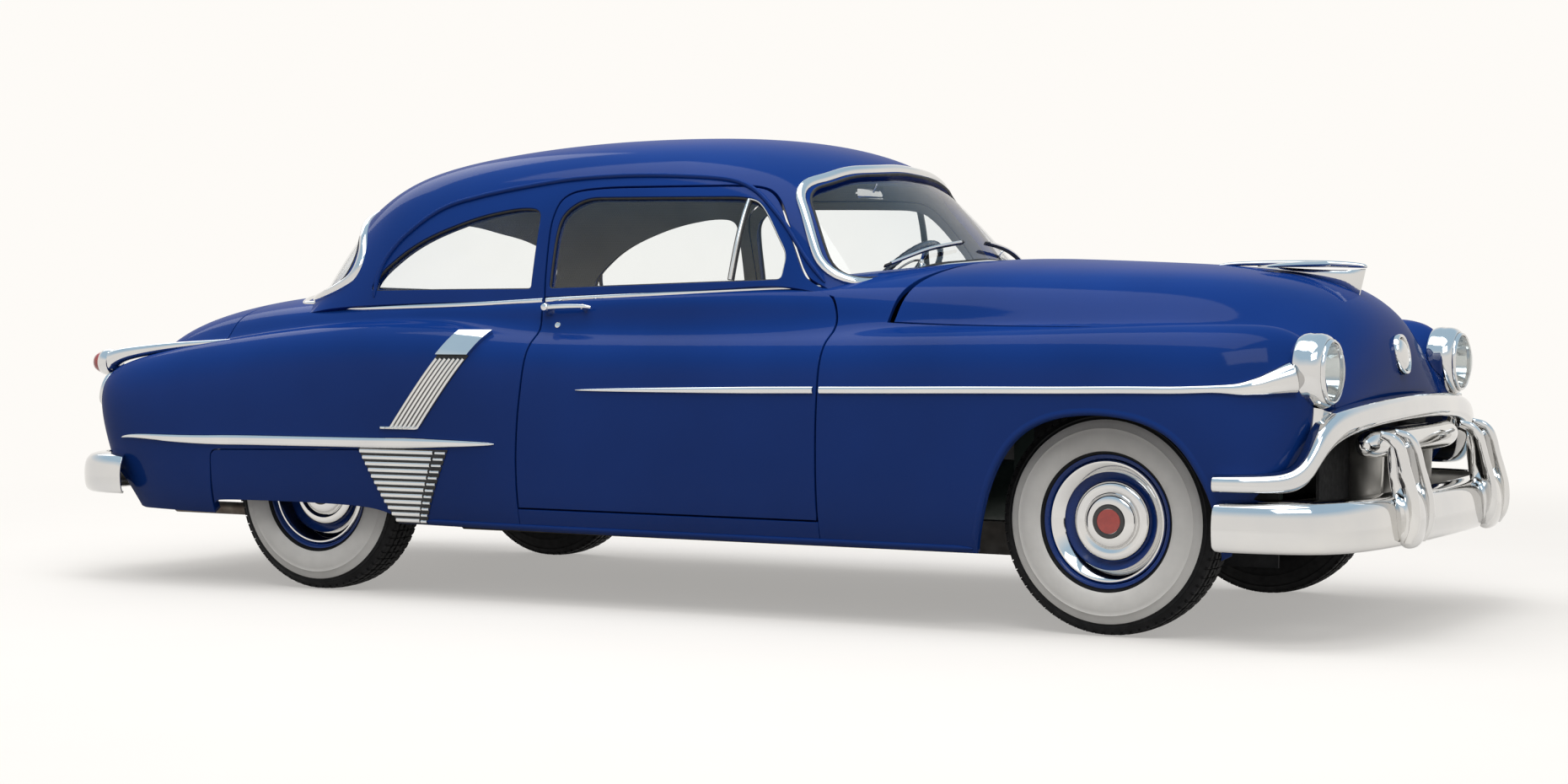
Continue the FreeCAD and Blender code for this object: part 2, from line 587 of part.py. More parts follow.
tail_lamp_height = tail_lamp_height_share * height_space
grille_bar_height = grille_bar_height_share * height_space
grille_high = grille_high_share * height_space
ornament_wing_height = ornament_wing_height_share * height_space
exhaust_height = exhaust_height_share * height_space
front_arm_bottom = front_arm_bottom_share * height_space
rear_arm_bottom = rear_arm_bottom_share * height_space
rear_cross_bottom = rear_cross_bottom_share * height_space
rear_hub_y = rear_track / 2 + wheel_disc_outset - drum_width - seat_clearance
rail_front_x = rail_shares[0][0] * length_space
rail_rear_x = -rail_shares[6][0] * length_space
grille_low = front_arm_bottom + rail_height / 2 + seat_clearance
gearbox_height = rail_bottom + crossmember_height + seat_clearance + gearbox_diameter / 2

# Surfaces
body_net = full_net(body_shares)
body_outer = net_surface(body_net)
body_sheet = net_surface(inset_net(body_net, sheet_thickness))
body_quarter = net_surface(inset_net(body_net, quarter_thickness))
body_door = net_surface(inset_net(body_net, door_thickness))
roof_net = full_net(roof_shares)
roof_outer = net_surface(roof_net)
roof_inner = net_surface(inset_net(roof_net, roof_thickness))

# Where the panels meet, in the body's spaces: stations and rows
hood_rear_share = 8.0
valley_share = 7.0
belt_share = 8.1
belt_reach_share = 8.6
rocker_share = 0.5
deck_front_share = 16.5
deck_rear_share = 18.9
shelf_front_share = 15.2
fender_reach_share = 9.4
quarter_front_share = 11.6
last_station_share = 20.0
mid_row_share = 11.0
last_row_share = 22.0


def row_step(u, v, distance):
    """The share of a row space that covers a distance across the body."""
    ahead = body_outer.value(u, v + sample_share)
    return distance * sample_share / (ahead - body_outer.value(u, v)).Length


def station_step(u, v, distance):
    """The share of a station space that covers a distance along the body."""
    ahead = body_outer.value(u + sample_share, v)
    return distance * sample_share / (ahead - body_outer.value(u, v)).Length


half_gap = panel_clearance / 2
valley_gap = row_step(hood_rear_share, valley_share, half_gap)
far_valley_share = last_row_share - valley_share

# Side view of the right door, the wheel openings and the windows
door_shares = [(6.88, 3.30), (6.90, 5.00), (6.94, 8.43), (6.52, 10.35), (5.75, 10.80),
               (5.05, 11.15), (3.70, 13.30), (2.95, 14.05), (2.20, 14.24), (-3.60, 14.24),
               (-4.90, 14.05), (-5.08, 13.20), (-4.98, 12.20), (-4.80, 10.40), (-4.30, 8.40),
               (-4.55, 5.60), (-4.62, 3.30)]
door_window_shares = [(4.80, 11.10), (4.86, 11.95), (3.66, 13.66), (2.96, 13.90), (-3.30, 13.94),
                      (-4.10, 13.40), (-4.22, 12.60), (-4.22, 10.80)]
quarter_window_shares = [(-5.50, 10.72), (-5.14, 12.90), (-5.34, 13.48), (-6.20, 13.55),
                         (-7.60, 13.35), (-10.13, 12.50), (-11.70, 11.30), (-11.92, 10.72)]
windshield_shares = [(5.40, 14.05), (3.20, 14.62), (0, 14.78), (-3.20, 14.62), (-5.40, 14.05),
                     (-6.30, 12.60), (-6.85, 11.30), (-6.30, 11.12), (-3.20, 11.70), (0, 11.85),
                     (3.20, 11.70), (6.30, 11.12), (6.85, 11.30), (6.30, 12.60)]
rear_window_shares = [(5.20, 12.80), (3.00, 13.45), (0, 13.65), (-3.00, 13.45), (-5.20, 12.80),
                      (-6.10, 11.70), (-6.40, 10.75), (-5.80, 10.55), (-3.00, 10.72), (0, 10.80),
                      (3.00, 10.72), (5.80, 10.55), (6.40, 10.75), (6.10, 11.70)]
front_arch_shares = [(12.55, 1.50), (12.68, 2.70), (13.16, 4.70), (13.96, 6.10), (15.10, 6.78),
                     (16.60, 6.98), (18.20, 6.80), (19.40, 6.20), (20.20, 5.00), (20.60, 3.80),
                     (20.75, 1.50)]
skirt_shares = [(-17.90, 1.50), (-17.60, 4.99), (-10.83, 5.17), (-9.75, 3.38), (-9.60, 1.50)]

door_outline = side_view(door_shares)


def right_cut(outline, margin, skew=0):
    """A prism through the right side of the car, from outside to within the cabin."""
    return prism(grown(outline, margin), -half_width, side_cut_depth - half_width, skew)


door_form = right_cut(door_outline, 0, door_skew_share)
door_hole = right_cut(door_outline, panel_clearance, door_skew_share)
door_near = right_cut(door_outline, seat_clearance, door_skew_share)
door_window_form = right_cut(side_view(door_window_shares), 0)
quarter_window_form = right_cut(side_view(quarter_window_shares), 0)
front_arch_form = right_cut(side_view(front_arch_shares), 0)
skirt_form = right_cut(side_view(skirt_shares), 0)
skirt_hole = right_cut(side_view(skirt_shares), seat_clearance)

# Belt line between the body's sides and the roof
belt_u_shares = [8.6, 9.5, 10.5, 11.5, 12.5, 13.5, 14.5, 15.2]
belt_points = [body_outer.value(u, belt_share) for u in belt_u_shares]


def belt_form(offset, height):
    """Everything above (or below, for a negative height) the belt line, on both sides."""
    line = [V(p.x, 0, p.z + offset) for p in belt_points]
    front = V(belt_points[0].x + overall_length * fourth_share, 0, belt_points[0].z + offset)
    rear = V(belt_points[-1].x - overall_length * fourth_share, 0, belt_points[-1].z + offset)
    top = [V(rear.x, 0, rear.z + height), V(front.x, 0, front.z + height)]
    return prism([front] + line + [rear] + top, -half_width, half_width)


above_belt = belt_form(-seat_clearance / 2, roof_height)
below_belt = belt_form(seat_clearance / 2, -roof_height * fourth_share)

# Front fender
fender_slab = panel(body_outer, body_sheet, 0.0, fender_reach_share, 0.0, valley_share - valley_gap)
fender_rear_x = door_outline[0].x + panel_clearance
behind_fender = prism([V(fender_rear_x, 0, 0), V(door_outline[1].x + panel_clearance, 0, door_outline[1].z),
                       V(door_outline[2].x + panel_clearance, 0, door_outline[2].z),
                       V(door_outline[2].x + panel_clearance, 0, roof_height),
                       V(-half_length, 0, roof_height), V(-half_length, 0, 0)],
                      -half_width, side_cut_depth - half_width, door_skew_share)
headlight_centre = V(headlight_x, -headlight_y, headlight_height)
bucket_hole = rod(headlight_centre - V(lamp_bucket_length, 0, 0),
                  headlight_centre + V(lamp_bucket_length, 0, 0),
                  lamp_bucket_diameter + 2 * seat_clearance)
front_fender = one_solid(fender_slab.cut(behind_fender).cut(front_arch_form).cut(bucket_hole))
keep("front_fenders", Part.makeCompound([front_fender, mirrored(front_fender)]))


# Headlights and tail lights, let into the fenders
def lamp(centre, direction, profile):
    """A lamp turned about its own line, from (radius, forward) pairs."""
    points = [V(forward, 0, radius) for radius, forward in profile]
    solid = Part.Face(Part.makePolygon(points + [points[0]])).revolve(V(0, 0, 0), V(1, 0, 0), 360)
    if solid.Volume < 0:
        solid.reverse()
    if direction < 0:
        solid = solid.mirror(V(0, 0, 0), V(1, 0, 0))
    solid.translate(centre)
    return solid


# Hood and cowl
hood = panel(body_outer, body_sheet, 0.0,
             hood_rear_share - station_step(hood_rear_share, mid_row_share, half_gap),
             valley_share + valley_gap, far_valley_share - valley_gap)
keep("hood", hood)
cowl_edge_share = valley_share - valley_gap + row_step(hood_rear_share, valley_share, seat_clearance)
cowl = panel(body_outer, body_sheet,
             hood_rear_share + station_step(hood_rear_share, mid_row_share, half_gap),
             fender_reach_share, cowl_edge_share, last_row_share - cowl_edge_share)
cowl = cowl.cut(behind_fender).cut(mirrored(behind_fender))
keep("cowl", cowl)

# Doors
door_slab = panel(body_outer, body_door, fender_reach_share - door_reach_share,
                  quarter_front_share + door_reach_share, rocker_share, belt_reach_share)
roof_slab = panel(roof_outer, roof_inner, 0.0, roof_stations_share, 0.0, roof_rows_share)
door_frame = roof_slab.common(door_form).cut(door_window_form)
door_lower = door_slab.common(door_form).cut(door_window_form)
door = one_solid(door_lower.fuse(door_frame))
keep("door_right", door)
keep("door_left", mirrored(door))

# Roof, with its pillars and window openings
right_openings = door_hole.fuse(quarter_window_form)
roof = roof_slab.cut(below_belt)
for cutter in (right_openings, mirrored(right_openings), cowl):
    roof = roof.cut(cutter)
windshield_form = end_prism([(y * width_space, z * height_space) for y, z in windshield_shares],
                            windshield_rear_share * length_space, half_length)
rear_window_form = end_prism([(y * width_space, z * height_space) for y, z in rear_window_shares],
                             -rear_window_front_share * length_space, -half_length)
roof = roof.cut(windshield_form).cut(rear_window_form)

# Rear quarters, skirts, shelf, lid and tail panel
quarter_low = panel(body_outer, body_quarter, quarter_front_share, deck_front_share, 0.0,
                    belt_reach_share)
quarter_tail = panel(body_outer, body_quarter, deck_front_share, last_station_share, 0.0,
                     valley_share - valley_gap)
quarter = quarter_low.fuse(quarter_tail).cut(door_hole).cut(above_belt)
quarter = quarter.cut(block(door_outline[-1].x - panel_clearance, half_length, -half_width, 0, 0,
                            roof_height))
skirt = one_solid(quarter.common(skirt_form))
quarter = one_solid(quarter.cut(skirt_hole))
rear_gap = station_step(deck_front_share, mid_row_share, half_gap)
lid_gap = row_step(deck_front_share, valley_share, half_gap)
shelf_edge_share = belt_reach_share + row_step(deck_front_share, belt_reach_share, seat_clearance)
shelf = panel(body_outer, body_sheet, shelf_front_share, deck_front_share - rear_gap,
              shelf_edge_share, last_row_share - shelf_edge_share)
roof = one_solid(roof.cut(shelf).cut(quarter).cut(mirrored(quarter)))
deck_lid = panel(body_outer, body_sheet, deck_front_share + rear_gap, deck_rear_share,
                 valley_share + lid_gap, far_valley_share - lid_gap)
tail_edge_share = valley_share - valley_gap + row_step(last_station_share, valley_share, seat_clearance)
tail_front_share = deck_rear_share + station_step(deck_rear_share, mid_row_share, panel_clearance)
tail_panel = panel(body_outer, body_sheet, tail_front_share, last_station_share, tail_edge_share,
                   last_row_share - tail_edge_share)
for side in (-1, 1):
    hole_y = side * plate_hole_spacing / 2
    plate_bolt = rod(V(-half_length, hole_y, plate_hole_height), V(rear_axle_x, hole_y, plate_hole_height),
                     plate_hole_diameter)
    tail_panel = tail_panel.cut(plate_bolt)
tail_panel = one_solid(tail_panel)
keep("quarter_panels", Part.makeCompound([quarter, mirrored(quarter)]))
keep("fender_skirts", Part.makeCompound([skirt, mirrored(skirt)]))
keep("roof_shell", roof)
keep("rear_shelf", shelf)
keep("deck_lid", deck_lid)
keep("tail_panel", tail_panel)

# Rockers under the doors
rocker = panel(body_outer, body_door, fender_reach_share - door_reach_share,
               quarter_front_share + door_reach_share, 0.0,
               rocker_share - row_step(fender_reach_share, rocker_share, panel_clearance))
rocker_front_x = fender_rear_x - seat_clearance
rocker_rear_x = door_outline[-1].x - panel_clearance + seat_clearance
rocker = rocker.cut(prism([V(rocker_front_x, 0, 0), V(rocker_front_x, 0, roof_height),
                           V(half_length, 0, roof_height), V(half_length, 0, 0)],
                          -half_width, side_cut_depth - half_width, door_skew_share))
rocker = rocker.common(block(rocker_rear_x, half_length, -half_width, -sill_inner, 0, roof_height))
keep("rocker_panels", Part.makeCompound([one_solid(rocker), mirrored(one_solid(rocker))]))

# Glass, in the middle of the wall's thickness
glass_depth = (roof_thickness - glass_thickness) / 2
glass_outer = net_surface(inset_net(roof_net, glass_depth))
glass_inner = net_surface(inset_net(roof_net, glass_depth + glass_thickness))
glass_slab = panel(glass_outer, glass_inner, 0.0, roof_stations_share, 0.0, roof_rows_share)


def glass(form):
    """The pane that fills a form."""
    return one_solid(glass_slab.common(form))


door_glass = glass(right_cut(side_view(door_window_shares), -seat_clearance))
quarter_glass = glass(right_cut(side_view(quarter_window_shares), -seat_clearance))
keep("door_glass_right", door_glass)
keep("door_glass_left", mirrored(door_glass))
keep("quarter_glass", Part.makeCompound([quarter_glass, mirrored(quarter_glass)]))


def inset_pairs(pairs, margin):
    """An end-view outline, in millimetres, drawn in towards its middle by the margin."""
    outline = [V(y * width_space, 0, z * height_space) for y, z in pairs]
    return [(p.x, p.z) for p in grown(outline, -margin)]


windshield_glass = glass(end_prism(inset_pairs(windshield_shares, seat_clearance),
                                    windshield_rear_share * length_space, half_length))
keep("windshield_glass", one_solid(windshield_glass.cut(cowl)))
rear_glass = glass(end_prism(inset_pairs(rear_window_shares, seat_clearance),
                              -rear_window_front_share * length_space, -half_length))
keep("rear_glass", one_solid(rear_glass.cut(shelf)))

# Frame
rail_outline = side_view(rail_shares)
rail_right = prism(rail_outline, -rail_spacing / 2 - rail_width / 2, -rail_spacing / 2 + rail_width / 2)
rail_top = rail_bottom + rail_height
crossmembers = []
for x in (front_axle_x, gearbox_rear + crossmember_width, rear_cross_x):
    low = rail_bottom if x > 0 else rear_cross_bottom
    crossmembers.append(block(x - crossmember_width / 2, x + crossmember_width / 2, -rail_spacing / 2,
                              rail_spacing / 2, low, low + crossmember_height))
frame = joined(rail_right, mirrored(rail_right), *crossmembers)
keep("frame", frame)

# Hinge brackets, just under the skin: they carry the hood and the lid from below, and the doors
# from ahead of their front edge
body_seat = net_surface(inset_net(body_net, sheet_thickness + seat_clearance))
front_skin = panel(body_outer, body_seat, hinge_front_share, fender_reach_share, rocker_share,
                   last_row_share - rocker_share)
rear_skin = panel(body_outer, body_seat, shelf_front_share, hinge_rear_share, belt_share,
                  last_row_share - belt_share)


def bracket(x, y, top, bottom, cutters):
    """A block centred on (x, y), cut back below the skin."""
    solid = block(x - hinge_length / 2, x + hinge_length / 2, y - hinge_width / 2,
                  y + hinge_width / 2, bottom, top)
    for cutter in cutters:
        solid = solid.cut(cutter)
    return one_solid(solid)


hinges = [bracket(hood_hinge_x, hinge_spacing / 2, hood_hinge_top, hood_hinge_top - hinge_depth,
                  [front_skin]),
          bracket(lid_hinge_x, hinge_spacing / 2, lid_hinge_top, lid_hinge_top - hinge_depth, [rear_skin])]
for z in (door_hinge_low, door_hinge_high):
    hinges.append(bracket(door_hinge_x, door_hinge_y, z, z - hinge_width,
                          [mirrored(door_near), front_skin]))
keep("hinge_brackets", Part.makeCompound(hinges + [mirrored(hinge) for hinge in hinges]))

# Floor, firewall and wheel houses
floor_bottom = rail_top + seat_clearance
floor_top = floor_bottom + floor_thickness
floor_outline = [V(firewall_x, 0, floor_bottom), V(rear_kick_x, 0, floor_bottom),
                 V(rear_kick_x, 0, trunk_floor), V(trunk_rear_x, 0, trunk_floor),
                 V(trunk_rear_x, 0, trunk_floor + floor_thickness),
                 V(rear_kick_x + floor_thickness, 0, trunk_floor + floor_thickness),
                 V(rear_kick_x + floor_thickness, 0, floor_top), V(firewall_x, 0, floor_top)]
floor = prism(floor_outline, -sill_inner + seat_clearance, sill_inner - seat_clearance)
house_cut = block(trunk_rear_x, rear_kick_x, -half_width, -rear_house_y + seat_clearance, 0, roof_height)
floor = floor.cut(house_cut).cut(mirrored(house_cut))
tunnel = block(rear_kick_x, firewall_x, -tunnel_width / 2, tunnel_width / 2, floor_bottom, tunnel_top)
tunnel_space = block(rear_kick_x - floor_thickness, firewall_x, floor_thickness - tunnel_width / 2,
                     tunnel_width / 2 - floor_thickness, 0, tunnel_top - floor_thickness)
floor = floor.fuse(tunnel).cut(tunnel_space)
keep("floor_pan", one_solid(floor))
firewall = block(firewall_x + seat_clearance, firewall_x + seat_clearance + floor_thickness,
                 -firewall_width / 2, firewall_width / 2, floor_bottom, roof_height)
firewall = firewall.cut(front_skin).cut(roof)
firewall = min(firewall.Solids, key=lambda solid: solid.BoundBox.ZMin)
gearbox_room = rod(V(firewall_x, 0, gearbox_height), V(firewall_x + 2 * floor_thickness, 0, gearbox_height),
                   gearbox_diameter + 2 * panel_clearance)
keep("firewall", one_solid(firewall.cut(gearbox_room)))
front_house_y = rail_spacing / 2 + rail_width / 2 + seat_clearance
front_house = block(front_house_rear, front_house_front, -front_house_y - house_thickness, -front_house_y,
                    rail_bottom, front_house_top)
rear_house = block(rear_house_rear, rear_house_front, -rear_house_y - house_thickness, -rear_house_y,
                   rear_house_bottom, rear_house_top)
axle_room = block(rear_axle_x - axle_tube_diameter, rear_axle_x + axle_tube_diameter, -half_width,
                  half_width,
                  0, axle_height + axle_tube_diameter)
rear_house = rear_house.cut(axle_room)
keep("wheel_houses",
     Part.makeCompound([front_house, mirrored(front_house), rear_house, mirrored(rear_house)]))

# Engine and driveline
engine_bottom = rail_bottom + crossmember_height + seat_clearance
engine = block(engine_front - engine_length, engine_front, -engine_width / 2, engine_width / 2,
               engine_bottom, engine_bottom + engine_height)
gearbox_front = engine_front - engine_length - seat_clearance
gearbox = rod(V(gearbox_front, 0, gearbox_height), V(gearbox_rear, 0, gearbox_height), gearbox_diameter)
differential_front = V(rear_axle_x + differential_diameter / 2 + seat_clearance, 0, axle_height)
driveshaft = rod(V(gearbox_rear - shaft_clearance, 0, gearbox_height), differential_front,
                 driveshaft_diameter)
keep("engine_block", engine)
keep("driveline", Part.makeCompound([gearbox, driveshaft]))

# Rear axle on its leaf springs
axle = rod(V(rear_axle_x, -rear_hub_y, axle_height), V(rear_axle_x, rear_hub_y, axle_height),
           axle_tube_diameter)
differential = rod(V(rear_axle_x, -differential_width / 2, axle_height),
                   V(rear_axle_x, differential_width / 2, axle_height), differential_diameter)
spring_y = rail_spacing / 2 + rail_width / 2 + seat_clearance + leaf_spring_width / 2
spring_top = floor_bottom - panel_clearance
saddle = block(rear_axle_x - axle_tube_diameter / 2, rear_axle_x + axle_tube_diameter / 2,
               -spring_y - leaf_spring_width / 2, -spring_y + leaf_spring_width / 2,
               spring_top - leaf_spring_height, axle_height)
spring = block(rear_axle_x - leaf_spring_length / 2, rear_axle_x + leaf_spring_length / 2,
               -spring_y - leaf_spring_width / 2, -spring_y + leaf_spring_width / 2,
               spring_top - leaf_spring_height, spring_top)
keep("rear_axle", joined(axle, differential, spring, mirrored(spring), saddle, mirrored(saddle)))

# Front suspension, knuckles and wheels
kingpin_y = front_track / 2 - kingpin_inset
kingpin_low = axle_height - kingpin_height / 2
kingpin_high = axle_height + kingpin_height / 2
arm_inner = rail_spacing / 2 + rail_width / 2 + house_thickness + 2 * seat_clearance
arms = []
for side in (-1, 1):
    for low in (kingpin_low - seat_clearance - control_arm_height, kingpin_high + seat_clearance):
        y_near, y_far = sorted((side * arm_inner, side * (kingpin_y + kingpin_diameter * arm_end_share)))
        arms.append(block(front_axle_x - control_arm_width / 2, front_axle_x + control_arm_width / 2,
                          y_near, y_far, low, low + control_arm_height))
keep("front_suspension", Part.makeCompound(arms))
drum_inner_y = front_track / 2 + wheel_disc_outset - drum_width
for side, name in ((-1, "right"), (1, "left")):
    pin = rod(V(front_axle_x, side * kingpin_y, kingpin_low),
              V(front_axle_x, side * kingpin_y, kingpin_high), kingpin_diameter)
    spindle_end = V(front_axle_x, side * (drum_inner_y - seat_clearance), axle_height)
    spindle = rod(V(front_axle_x, side * kingpin_y, axle_height), spindle_end, 2 * kingpin_diameter)
    keep("knuckle_" + name, joined(pin, spindle))

rim_radius = wheel_rim_diameter / 2
bead_radius = tyre_bead_diameter / 2
tyre_radius = tyre_diameter / 2
half_tyre = tyre_width / 2
half_rim = wheel_rim_width / 2
half_tread = tyre_tread_width / 2
half_bead = half_rim - wheel_disc_thickness
tyre_profile = [(bead_radius, -half_bead), (rim_radius, -half_bead),
                (rim_radius + wheel_disc_thickness, -half_rim - wheel_disc_thickness),
                (rim_radius + half_tyre / 2, -half_tyre),
                (tyre_radius - half_tyre / 2, -half_tyre * wall_bulge_share),
                (tyre_radius - half_tyre * eighth_share, -half_tread),
                (tyre_radius, -half_tread * tread_flat_share),
                (tyre_radius, half_tread * tread_flat_share),
                (tyre_radius - half_tyre * eighth_share, half_tread),
                (tyre_radius - half_tyre / 2, half_tyre * wall_bulge_share),
                (rim_radius + half_tyre / 2, half_tyre),
                (rim_radius + wheel_disc_thickness, half_rim + wheel_disc_thickness),
                (rim_radius, half_bead), (bead_radius, half_bead)]
hub_radius = hub_cap_diameter / 2
disc_y = wheel_disc_outset
seat_radius = rim_radius - seat_clearance
wheel_profile = [(0, disc_y), (0, disc_y + wheel_disc_thickness + hub_cap_height),
                 (hub_radius * cap_step_share,
                  disc_y + wheel_disc_thickness + hub_cap_height * cap_rise_share),
                 (hub_radius, disc_y + wheel_disc_thickness),
                 (bead_radius - 2 * wheel_disc_thickness, disc_y + wheel_disc_thickness),
                 (bead_radius - wheel_disc_thickness, half_bead),
                 (seat_radius, half_rim), (seat_radius, half_bead + seat_clearance),
                 (bead_radius - seat_clearance, half_bead + seat_clearance),
                 (bead_radius - seat_clearance, -half_bead - seat_clearance),
                 (seat_radius, -half_bead - seat_clearance), (seat_radius, -half_rim),
                 (bead_radius - wheel_disc_thickness, -half_bead),
                 (bead_radius - wheel_disc_thickness, disc_y)]
drum_profile = [(0, disc_y - drum_width), (0, disc_y), (drum_diameter / 2, disc_y),
                (drum_diameter / 2, disc_y - drum_width)]
for end, x, track in (("front", front_axle_x, front_track), ("rear", rear_axle_x, rear_track)):
    for side, name in ((-1, "right"), (1, "left")):
        centre = V(x, side * track / 2, axle_height)
        keep("tyre_" + end + "_" + name, turned(tyre_profile, centre, side))
        keep("wheel_" + end + "_" + name,
             joined(turned(wheel_profile, centre, side), turned(drum_profile, centre, side)))


# Seats
def seat(cushion_shares, back_shares, width):
    """A bench: a cushion and a back, joined, across the cabin."""
    cushion = prism(side_view(cushion_shares), -width / 2, width / 2)
    back = prism(side_view(back_shares), -width / 2, width / 2)
    return joined(cushion, back)


tunnel_room = block(-half_length, half_length, -tunnel_width / 2 - seat_clearance,
                    tunnel_width / 2 + seat_clearance,
                    0, tunnel_top + seat_clearance)
floor_room = block(-half_length, half_length, -half_width, half_width, 0, floor_top + seat_clearance)
front_seat = seat(front_cushion_shares, front_back_shares, seat_width).cut(tunnel_room).cut(floor_room)
keep("front_seat", one_solid(front_seat))
kick_room = block(-half_length, rear_kick_x + floor_thickness + seat_clearance, -half_width, half_width,
                  0, trunk_floor + floor_thickness + seat_clearance)
rear_seat = seat(rear_cushion_shares, rear_back_shares, rear_seat_width)
for room in (floor_room, tunnel_room, kick_room):
    rear_seat = one_solid(rear_seat.cut(room))
keep("rear_seat", rear_seat)

# Dashboard and steering
column_top = V(steering_wheel_x, steering_wheel_y, steering_wheel_height)
column_line = (column_top - V(firewall_x, steering_wheel_y, column_foot_height)).normalize()
column_foot = V(firewall_x - seat_clearance - column_line.z * column_diameter / 2, steering_wheel_y,
                column_foot_height)
column_line = (column_top - column_foot).normalize()
column_end = column_top - column_line * steering_hub_depth
keep("steering_column", rod(column_foot, column_end, column_diameter))
dashboard = prism(side_view(dash_shares), -dash_width / 2, dash_width / 2)
column_room = rod(column_foot, column_end, column_diameter + 2 * seat_clearance)
dashboard = one_solid(dashboard.cut(column_room).cut(roof).cut(door_near).cut(mirrored(door_near)))
keep("dashboard", dashboard)
hub = rod(column_end + column_line * seat_clearance, column_top, steering_hub_diameter)
reach = steering_wheel_diameter / 2 - steering_rim_diameter / 2
rim = Part.makeTorus(reach, steering_rim_diameter / 2, column_top, column_line)
across = V(0, 1, 0)
spokes = [rod(column_top - across * reach, column_top + across * reach, steering_spoke_diameter)]
keep("steering_wheel", joined(hub, rim, *spokes))


# Bumpers, grille, lamps
def wrapped_bar(line_shares, section_shares, thickness):
    """A bar that wraps round the car's end: a line for its right half, and a bulged section of
    (inset, height) pairs."""
    plan = [place(x, -y, z) for x, y, z in line_shares]
    plan += [V(p.x, -p.y, p.z) for p in plan[-2::-1]]
    net = []
    for i, point in enumerate(plan):
        along = plan[min(i + 1, len(plan) - 1)] - plan[max(i - 1, 0)]
        inward = V(-along.y, along.x, 0).normalize()
        if inward.dot(point) > 0:
            inward = inward * -1
        net.append([point + inward * (inset * width_space) + V(0, 0, z * height_space)
                    for inset, z in section_shares])
    turn = 1 if plan[0].x < 0 else -1
    inner = net_surface(inset_net(net, turn * thickness))
    return panel(net_surface(net), inner, 0.0, len(plan) - 3.0, 0.0, len(section_shares) - 3.0)


def guard(outline_shares, y, width):
    """An upright on a bumper, from its side view."""
    return prism(side_view(outline_shares), y - width / 2, y + width / 2)


front_bar = wrapped_bar(front_bumper_shares, front_section_shares, bumper_thickness)
front_guards = [guard(front_guard_shares, side * guard_spacing / 2, guard_width) for side in (-1, 1)]
arm_offset = rail_width * fourth_share
arm_y = (guard_spacing - guard_width) / 2
front_arms = [block(rail_front_x + seat_clearance, front_arm_end, y - arm_offset, y + arm_offset,
                    front_arm_bottom, front_arm_bottom + rail_height / 2)
              for y in (-arm_y, arm_y)]
keep("front_bumper", joined(front_bar, *front_guards, *front_arms))
rear_bar = wrapped_bar(rear_bumper_shares, rear_section_shares, bumper_thickness)
rear_guards = [guard(rear_guard_shares, side * guard_spacing / 2, guard_width) for side in (-1, 1)]
rear_arms = [block(-rear_arm_end, -rail_rear_x - seat_clearance, y - arm_offset, y + arm_offset,
                   rear_arm_bottom, rear_arm_bottom + rail_height / 2)
             for y in (-arm_y, arm_y)]
keep("rear_bumper", joined(rear_bar, *rear_guards, *rear_arms))


lamp_radius = headlight_diameter / 2
bucket_radius = lamp_bucket_diameter / 2
bezel_front = bezel_back + bezel_depth
headlight_profile = [(0, -lamp_bucket_length), (bucket_radius, -lamp_bucket_length),
                     (bucket_radius, bezel_back), (lamp_radius, bezel_back),
                     (lamp_radius, bezel_back + bezel_depth / 2),
                     (lamp_radius - bezel_depth / 2, bezel_front),
                     (lamp_radius / 2, bezel_front + lens_rise * lens_step_share),
                     (0, bezel_front + lens_rise)]
headlight = lamp(headlight_centre, 1, headlight_profile)
keep("headlights", Part.makeCompound([headlight, mirrored(headlight)]))

tail_centre = V(-tail_lamp_x, -tail_lamp_y, tail_lamp_height)
tail_radius = tail_lamp_diameter / 2
tail_profile = [(0, -tail_stem_length), (tail_radius * tail_stem_share, -tail_stem_length),
                (tail_radius * tail_neck_share, 0), (tail_radius, seat_clearance),
                (tail_radius, tail_radius * tail_side_share), (tail_radius * tail_face_share, tail_radius),
                (0, tail_lamp_length)]
tail_lamp = lamp(tail_centre, -1, tail_profile)
quarter_skin = panel(body_outer, body_quarter, deck_front_share, last_station_share, 0.0,
                     valley_share - valley_gap)
tail_lamp = one_solid(tail_lamp.cut(quarter_skin))
keep("tail_lights", Part.makeCompound([tail_lamp, mirrored(tail_lamp)]))

# Grille: an arched bar over the opening, a bar with round ends, uprights and a back plate
arch = wrapped_bar(grille_arch_shares, grille_section_shares, bumper_thickness)
bar_ends = [V(grille_bar_x, side * grille_bar_length / 2, grille_bar_height) for side in (-1, 1)]
bar = rod(bar_ends[0], bar_ends[1], grille_bar_diameter)
ends = [Part.makeSphere(grille_bar_diameter / 2, centre) for centre in bar_ends]
blades = [block(grille_plate_x, grille_bar_x, y - grille_blade_width / 2, y + grille_blade_width / 2,
                grille_low, grille_high)
          for y in (-grille_blade_spacing, 0, grille_blade_spacing)]
plate = block(grille_plate_x - bumper_thickness, grille_plate_x, -grille_plate_width / 2,
              grille_plate_width / 2,
              grille_low, grille_high)
arch = one_solid(arch.cut(front_fender).cut(mirrored(front_fender)))
keep("grille", Part.makeCompound([joined(bar, *ends, *blades, plate), arch]))

